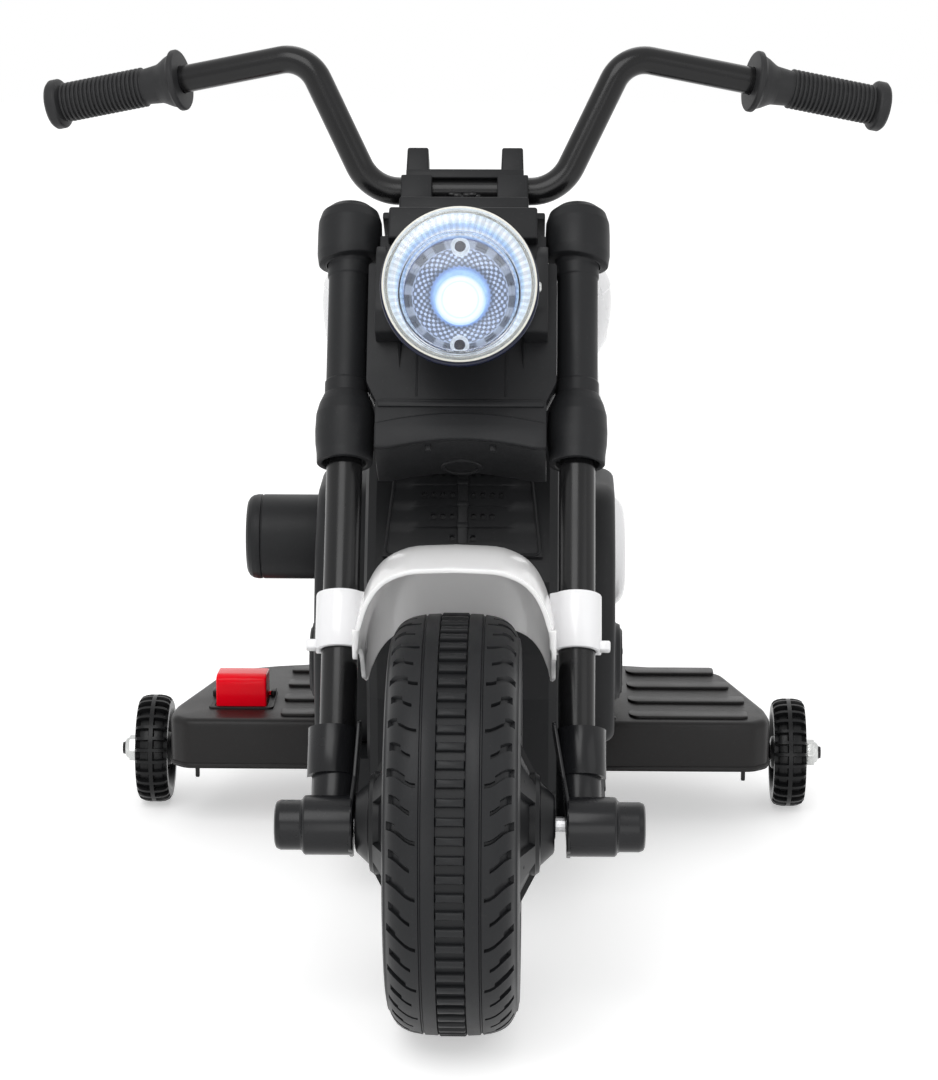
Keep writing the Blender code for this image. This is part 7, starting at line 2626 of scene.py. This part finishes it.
@dataclass
class Footboards:
    """The ledged boards under the rider's feet, and the red drive pedal in the right-hand one."""

    inner: float = 0.0883
    out: float = 0.202
    front: float = 0.09
    back: float = 0.237
    low: float = 0.044
    top: float = 0.078
    wall: float = 0.003
    bend_y: float = 0.126
    round_r: float = 0.005
    ledges: int = 4
    ledge_ahead: float = 0.009
    ledge_pitch: float = 0.0355
    ledge_long: float = 0.018
    ledge_rise: float = 0.0019
    pedal_x: float = 0.155
    pedal_y: float = 0.135
    pedal_wide: float = 0.034
    pedal_long: float = 0.03
    pedal_top: float = 0.1
    plate_rise: float = 0.0012
    plate_over: float = 0.005
    ear_rise: float = 0.005
    ear_thick: float = 0.0034
    lip_r: float = 0.0014

    def build(self) -> None:
        """Makes both boards and the pedal."""
        for side in Side:
            self._board(side)
        self._pedal()

    def _outline(self) -> list[Point2]:
        """The board's outline on the rider's left, as (x, y)."""
        out, front, back = self.out, self.front, self.back
        corners = [
            (self.inner, front), (out - 0.012, front), (out - 0.002, front + 0.008), (out, front + 0.018),
            (out - 0.002, self.bend_y), (out - 0.0265, back - 0.0275), (out - 0.034, back - 0.02),
            (out - 0.064, back - 0.0095), (self.inner, back),
        ]
        return softened(corners, 0.004, closed=True, steps=4)

    def _board(self, side: Side) -> None:
        """Makes a board.

        Args:
            side: The rider's side.
        """
        outline = self._outline()
        upright_turn = Matrix(((0, 1, 0, 0), (0, 0, 1, 0), (1, 0, 0, 0), (0, 0, 0, 1)))
        shell = placed(pillow(outline, self.low, self.top, (self.round_r, self.round_r), 4), upright_turn)
        shell.normal_update()
        floor = min(shell.faces, key=lambda face: face.calc_center_median().z)
        bmesh.ops.inset_region(shell, faces=[floor], thickness=self.wall, depth=0.0)
        room = self.top - self.wall - self.low
        bmesh.ops.inset_region(shell, faces=[floor], thickness=0.0005, depth=-room)
        shapes = [shell]
        if side is Side.RIGHT:
            shapes = [carved(shell, self._pocket()), carved(self._plate(), self._pocket()), *self._ears()]
        shapes.append(bead([(x, y, self.low + 0.0022) for x, y in inset(outline, 0.0002)], self.lip_r, 10))
        for y in (self.front + 0.01, self.back - 0.014):
            bolt = upright(screw_head(0.0038, 0.0018))
            shapes.append(moved(bolt, (self.inner + 0.0065, y, self.top - 0.0002)))
        shape = flipped(joined(*shapes, *self._ledges(side)), side)
        piece(f"board_{side.word}", shape, BOARD, Body.CHASSIS, [f"footboard_{side.word}"], sharp=35.0)

    def _ledges(self, side: Side) -> list[Shape]:
        """The raised ledges across the board, which rise to their front edges.

        Args:
            side: The rider's side.

        Returns:
            The ledges, built on the rider's left.
        """
        start = self.inner + (0.019 if side is Side.LEFT else 0.01)
        end = self.out - 0.015 if side is Side.LEFT else self.pedal_x - 0.028
        result = []
        for i in range(self.ledges):
            y = self.front + self.ledge_ahead + i * self.ledge_pitch
            reach = min(end, self.out - 0.015 - max(0.0, (y - self.front - 0.043) * 0.25))
            back = y + self.ledge_long
            corners = [(start + 0.004, y), (reach, y), (reach, back), (start, back), (start, y + 0.006)]
            outline = softened(corners, 0.0045, True, 4)
            ledge = extruded(outline, "Z", self.top - 0.0008, self.top + self.ledge_rise)
            for vertex in ledge.verts:
                if vertex.co.z > self.top:
                    vertex.co.z -= 0.0011 * (vertex.co.y - y) / self.ledge_long
            result.append(rounded(ledge, 0.0006, 2, 60.0))
        return result

    def _plate(self) -> Shape:
        """The low plate round the pedal."""
        half_wide, half_long = self.pedal_wide / 2 + self.plate_over, self.pedal_long / 2
        low_y, high_y = self.pedal_y - half_long - 0.004, self.pedal_y + half_long + 0.01
        corners = [(self.pedal_x + p * half_wide, low_y if q < 0 else high_y) for p, q in CORNERS]
        outline = softened(corners, 0.004, closed=True, steps=4)
        plate = extruded(outline, "Z", self.top - 0.001, self.top + self.plate_rise)
        return rounded(plate, 0.0005, 2, 60.0)

    def _ears(self) -> list[Shape]:
        """The two ears that hold the pedal's pins."""
        ears = []
        for end in (-1.0, 1.0):
            near = self.pedal_x + end * (self.pedal_wide / 2 + 0.0012)
            far = near + end * self.ear_thick
            back = self.pedal_y + self.pedal_long / 2 + 0.0025
            low = (min(near, far), back - 0.01, self.top - 0.001)
            ears.append(rounded(block(low, (max(near, far), back, self.top + self.ear_rise)), 0.001, 3))
        return ears

    def _pocket(self) -> Shape:
        """The room that the pedal moves in."""
        half_wide, half_long = self.pedal_wide / 2 + 0.001, self.pedal_long / 2 + 0.0012
        low = (self.pedal_x - half_wide, self.pedal_y - half_long, self.low + 0.01)
        return block(low, (self.pedal_x + half_wide, self.pedal_y + half_long, self.top + 0.02))

    def _pedal(self) -> None:
        """Makes the red pedal."""
        half_wide, half_long = self.pedal_wide / 2, self.pedal_long / 2
        front, back = self.pedal_y - half_long, self.pedal_y + half_long
        outline = [
            (front, self.top - 0.0012), (back, self.top - 0.0012), (back, self.pedal_top - 0.004),
            (back - 0.003, self.pedal_top - 0.0018), (front + 0.006, self.pedal_top),
            (front + 0.0014, self.pedal_top - 0.0014), (front, self.pedal_top - 0.005),
        ]
        outline = softened(outline, 0.0016, closed=True, steps=3)
        shape = extruded(outline, "X", self.pedal_x - half_wide, self.pedal_x + half_wide)
        rounded(shape, 0.0022, 5, 60.0)
        profile = [(0.0, -0.001), (0.0015, -0.001), (0.0015, 0.002), (0.0012, 0.0024), (0.0, 0.0024)]
        pins = []
        for end in (-1.0, 1.0):
            pin = lathe(profile, 24)
            if end < 0.0:
                placed(pin, Matrix.Rotation(math.pi, 4, "Z"))
            pins.append(moved(pin, (self.pedal_x + end * half_wide, back - 0.0025, self.top + 0.0022)))
        shape = flipped(joined(shape, *pins), Side.RIGHT)
        piece("pedal_cap", shape, RED, Body.PEDAL, ["drive_pedal"], sharp=50.0)


@dataclass
class Electrics:
    """The charging socket and the looks of what the body hides."""

    socket_y: float = 0.07
    socket_z: float = 0.3
    face_x: float = 0.06

    def build(self) -> None:
        """Makes the socket and dresses the hidden parts."""
        face_x = self.face_x
        profile = [
            (0.0026, face_x - 0.008), (0.0026, face_x + 0.0026), (0.0036, face_x + 0.0036),
            (0.0052, face_x + 0.004), (0.006, face_x + 0.0034), (0.0075, face_x + 0.003),
            (0.0075, face_x + 0.0003), (0.005, face_x + 0.0003), (0.005, face_x - 0.012),
            (0.0034, face_x - 0.012), (0.0026, face_x - 0.011),
        ]
        socket = lathe(profile, 48, closed=True, soft=0.0003)
        pin = lathe([(0.0, -0.012), (0.0009, -0.012), (0.0009, 0.0005), (0.0, 0.0012)], 16)
        socket = joined(socket, moved(pin, (face_x, 0.0, 0.0)))
        moved(socket, (0.0, self.socket_y, self.socket_z))
        piece("charging_jack", socket, SHOE_BLACK, Body.CHASSIS, ["charging_socket"])
        for node in ("speaker", "battery", "gear_case", "gear_case_cover"):
            dress(node, GREY)
        for node in ("control_box", "idler_gear", "output_gear"):
            dress(node, GEAR_WHITE)
        for node in ("drive_motor", "motor_pinion", "steering_stem", "front_axle", "rear_axle"):
            dress(node, STEEL)


@dataclass
class Studio:
    """The pale floor, the soft lamps and the camera at the photograph's angle."""

    camera_at: Point3 = (0.0497, -2.0774, 0.731)
    pitch: float = math.radians(13.69)
    yaw: float = math.radians(-1.311)
    lens: float = 112.73
    sensor: float = 36.0
    floor_size: float = 9.0
    ambient: float = 0.78
    floor_lift: float = 0.46

    def build(self) -> None:
        """Makes everything round the object."""
        bpy.context.scene.view_settings.view_transform = "Standard"
        self._floor()
        self._world()
        self._lamps()
        self._camera()

    def _floor(self) -> None:
        """Makes the floor, which shows white but keeps the object's shadow."""
        shape = bmesh.new()
        bmesh.ops.create_grid(shape, x_segments=8, y_segments=8, size=self.floor_size / 2)
        mesh = bpy.data.meshes.new("floor")
        shape.to_mesh(mesh)
        shape.free()
        floor = bpy.data.objects.new("floor", mesh)
        bpy.context.scene.collection.objects.link(floor)
        graph = Graph("floor")
        graph.set(Base_Color=(0.8, 0.8, 0.8, 1.0), Roughness=0.9, Specular_IOR_Level=0.1)
        path = graph.add("LightPath")
        direct = graph.math("MAXIMUM", path.outputs["Is Camera Ray"], path.outputs["Is Transmission Ray"])
        seen = graph.math("MAXIMUM", direct, path.outputs["Is Glossy Ray"])
        lift = graph.math("MULTIPLY", seen, self.floor_lift)
        graph.set(Emission_Color=(1.0, 1.0, 1.0, 1.0), Emission_Strength=lift)
        mesh.materials.append(graph.material)

    def _world(self) -> None:
        """Sets a plain world, white where it is seen."""
        world = bpy.data.worlds.new("studio")
        bpy.context.scene.world = world
        world.use_nodes = True
        tree = world.node_tree
        path = tree.nodes.new("ShaderNodeLightPath")
        direct = tree.nodes.new("ShaderNodeMath")
        direct.operation = "MAXIMUM"
        tree.links.new(path.outputs["Is Camera Ray"], direct.inputs[0])
        tree.links.new(path.outputs["Is Transmission Ray"], direct.inputs[1])
        seen = tree.nodes.new("ShaderNodeMath")
        seen.operation = "MAXIMUM"
        tree.links.new(direct.outputs["Value"], seen.inputs[0])
        tree.links.new(path.outputs["Is Glossy Ray"], seen.inputs[1])
        strength = tree.nodes.new("ShaderNodeMapRange")
        strength.inputs["To Min"].default_value = self.ambient
        strength.inputs["To Max"].default_value = 1.0
        tree.links.new(seen.outputs["Value"], strength.inputs["Value"])
        shade = tree.nodes["Background"]
        shade.inputs["Color"].default_value = (1.0, 1.0, 1.0, 1.0)
        tree.links.new(strength.outputs["Result"], shade.inputs["Strength"])

    def _lamps(self) -> None:
        """Adds a broad key above, a low front lamp, a fill from the rider's left and a lamp behind."""
        self._lamp("key", (-0.5, -1.5, 2.0), 1.4, 19.0)
        self._lamp("front", (0.1, -2.3, 0.35), 1.2, 6.5)
        self._lamp("fill", (1.6, -1.2, 1.1), 1.2, 3.0)
        self._lamp("back", (0.2, 1.6, 1.8), 1.2, 3.0)

    def _lamp(self, name: str, place: Point3, size: float, power: float) -> None:
        """Adds a square lamp that faces the object.

        Args:
            name: Its name.
            place: Where it hangs.
            size: Its side.
            power: In watts.
        """
        light = bpy.data.lights.new(name, "AREA")
        light.shape = "SQUARE"
        light.size = size
        light.energy = power
        lamp = bpy.data.objects.new(name, light)
        bpy.context.scene.collection.objects.link(lamp)
        lamp.location = place
        aim = Vector((0.0, 0.0, 0.25)) - Vector(place)
        lamp.rotation_euler = aim.to_track_quat("-Z", "Y").to_euler()

    def _camera(self) -> None:
        """Sets the camera."""
        data = bpy.data.cameras.new("camera")
        data.lens = self.lens
        data.sensor_fit = "VERTICAL"
        data.sensor_height = self.sensor
        data.clip_start = 0.05
        camera = bpy.data.objects.new("camera", data)
        bpy.context.scene.collection.objects.link(camera)
        level = math.cos(self.pitch)
        aim = Vector((math.sin(self.yaw) * level, math.cos(self.yaw) * level, -math.sin(self.pitch)))
        camera.location = self.camera_at
        camera.rotation_euler = aim.to_track_quat("-Z", "Y").to_euler()
        bpy.context.scene.camera = camera


def main() -> None:
    """Builds every sub-assembly and the studio."""
    logging.basicConfig(level=logging.INFO, format="%(message)s")
    front_reach = {Side.LEFT: 0.057, Side.RIGHT: 0.057}
    rear_reach = {Side.LEFT: 0.0755, Side.RIGHT: 0.0385}
    assemblies = [
        ForkLegs(), Yoke(), LampBracket(), HeadLamp(), BarClamp(), Handlebar(), FrontFender(), AxleShoes(),
        RoadWheel("front", Body.FRONT_WHEEL, front_reach), RoadWheel("rear", Body.REAR_WHEEL, rear_reach),
        TrainingWheel(Side.LEFT), TrainingWheel(Side.RIGHT), FrontGrille(), BodyShells(), Tank(), Dash(),
        Saddle(), RearFender(), EngineCovers(), SideCovers(), Footboards(), Electrics(), Studio(),
    ]
    for assembly in assemblies:
        assembly.build()


if __name__ == "__main__":
    main()
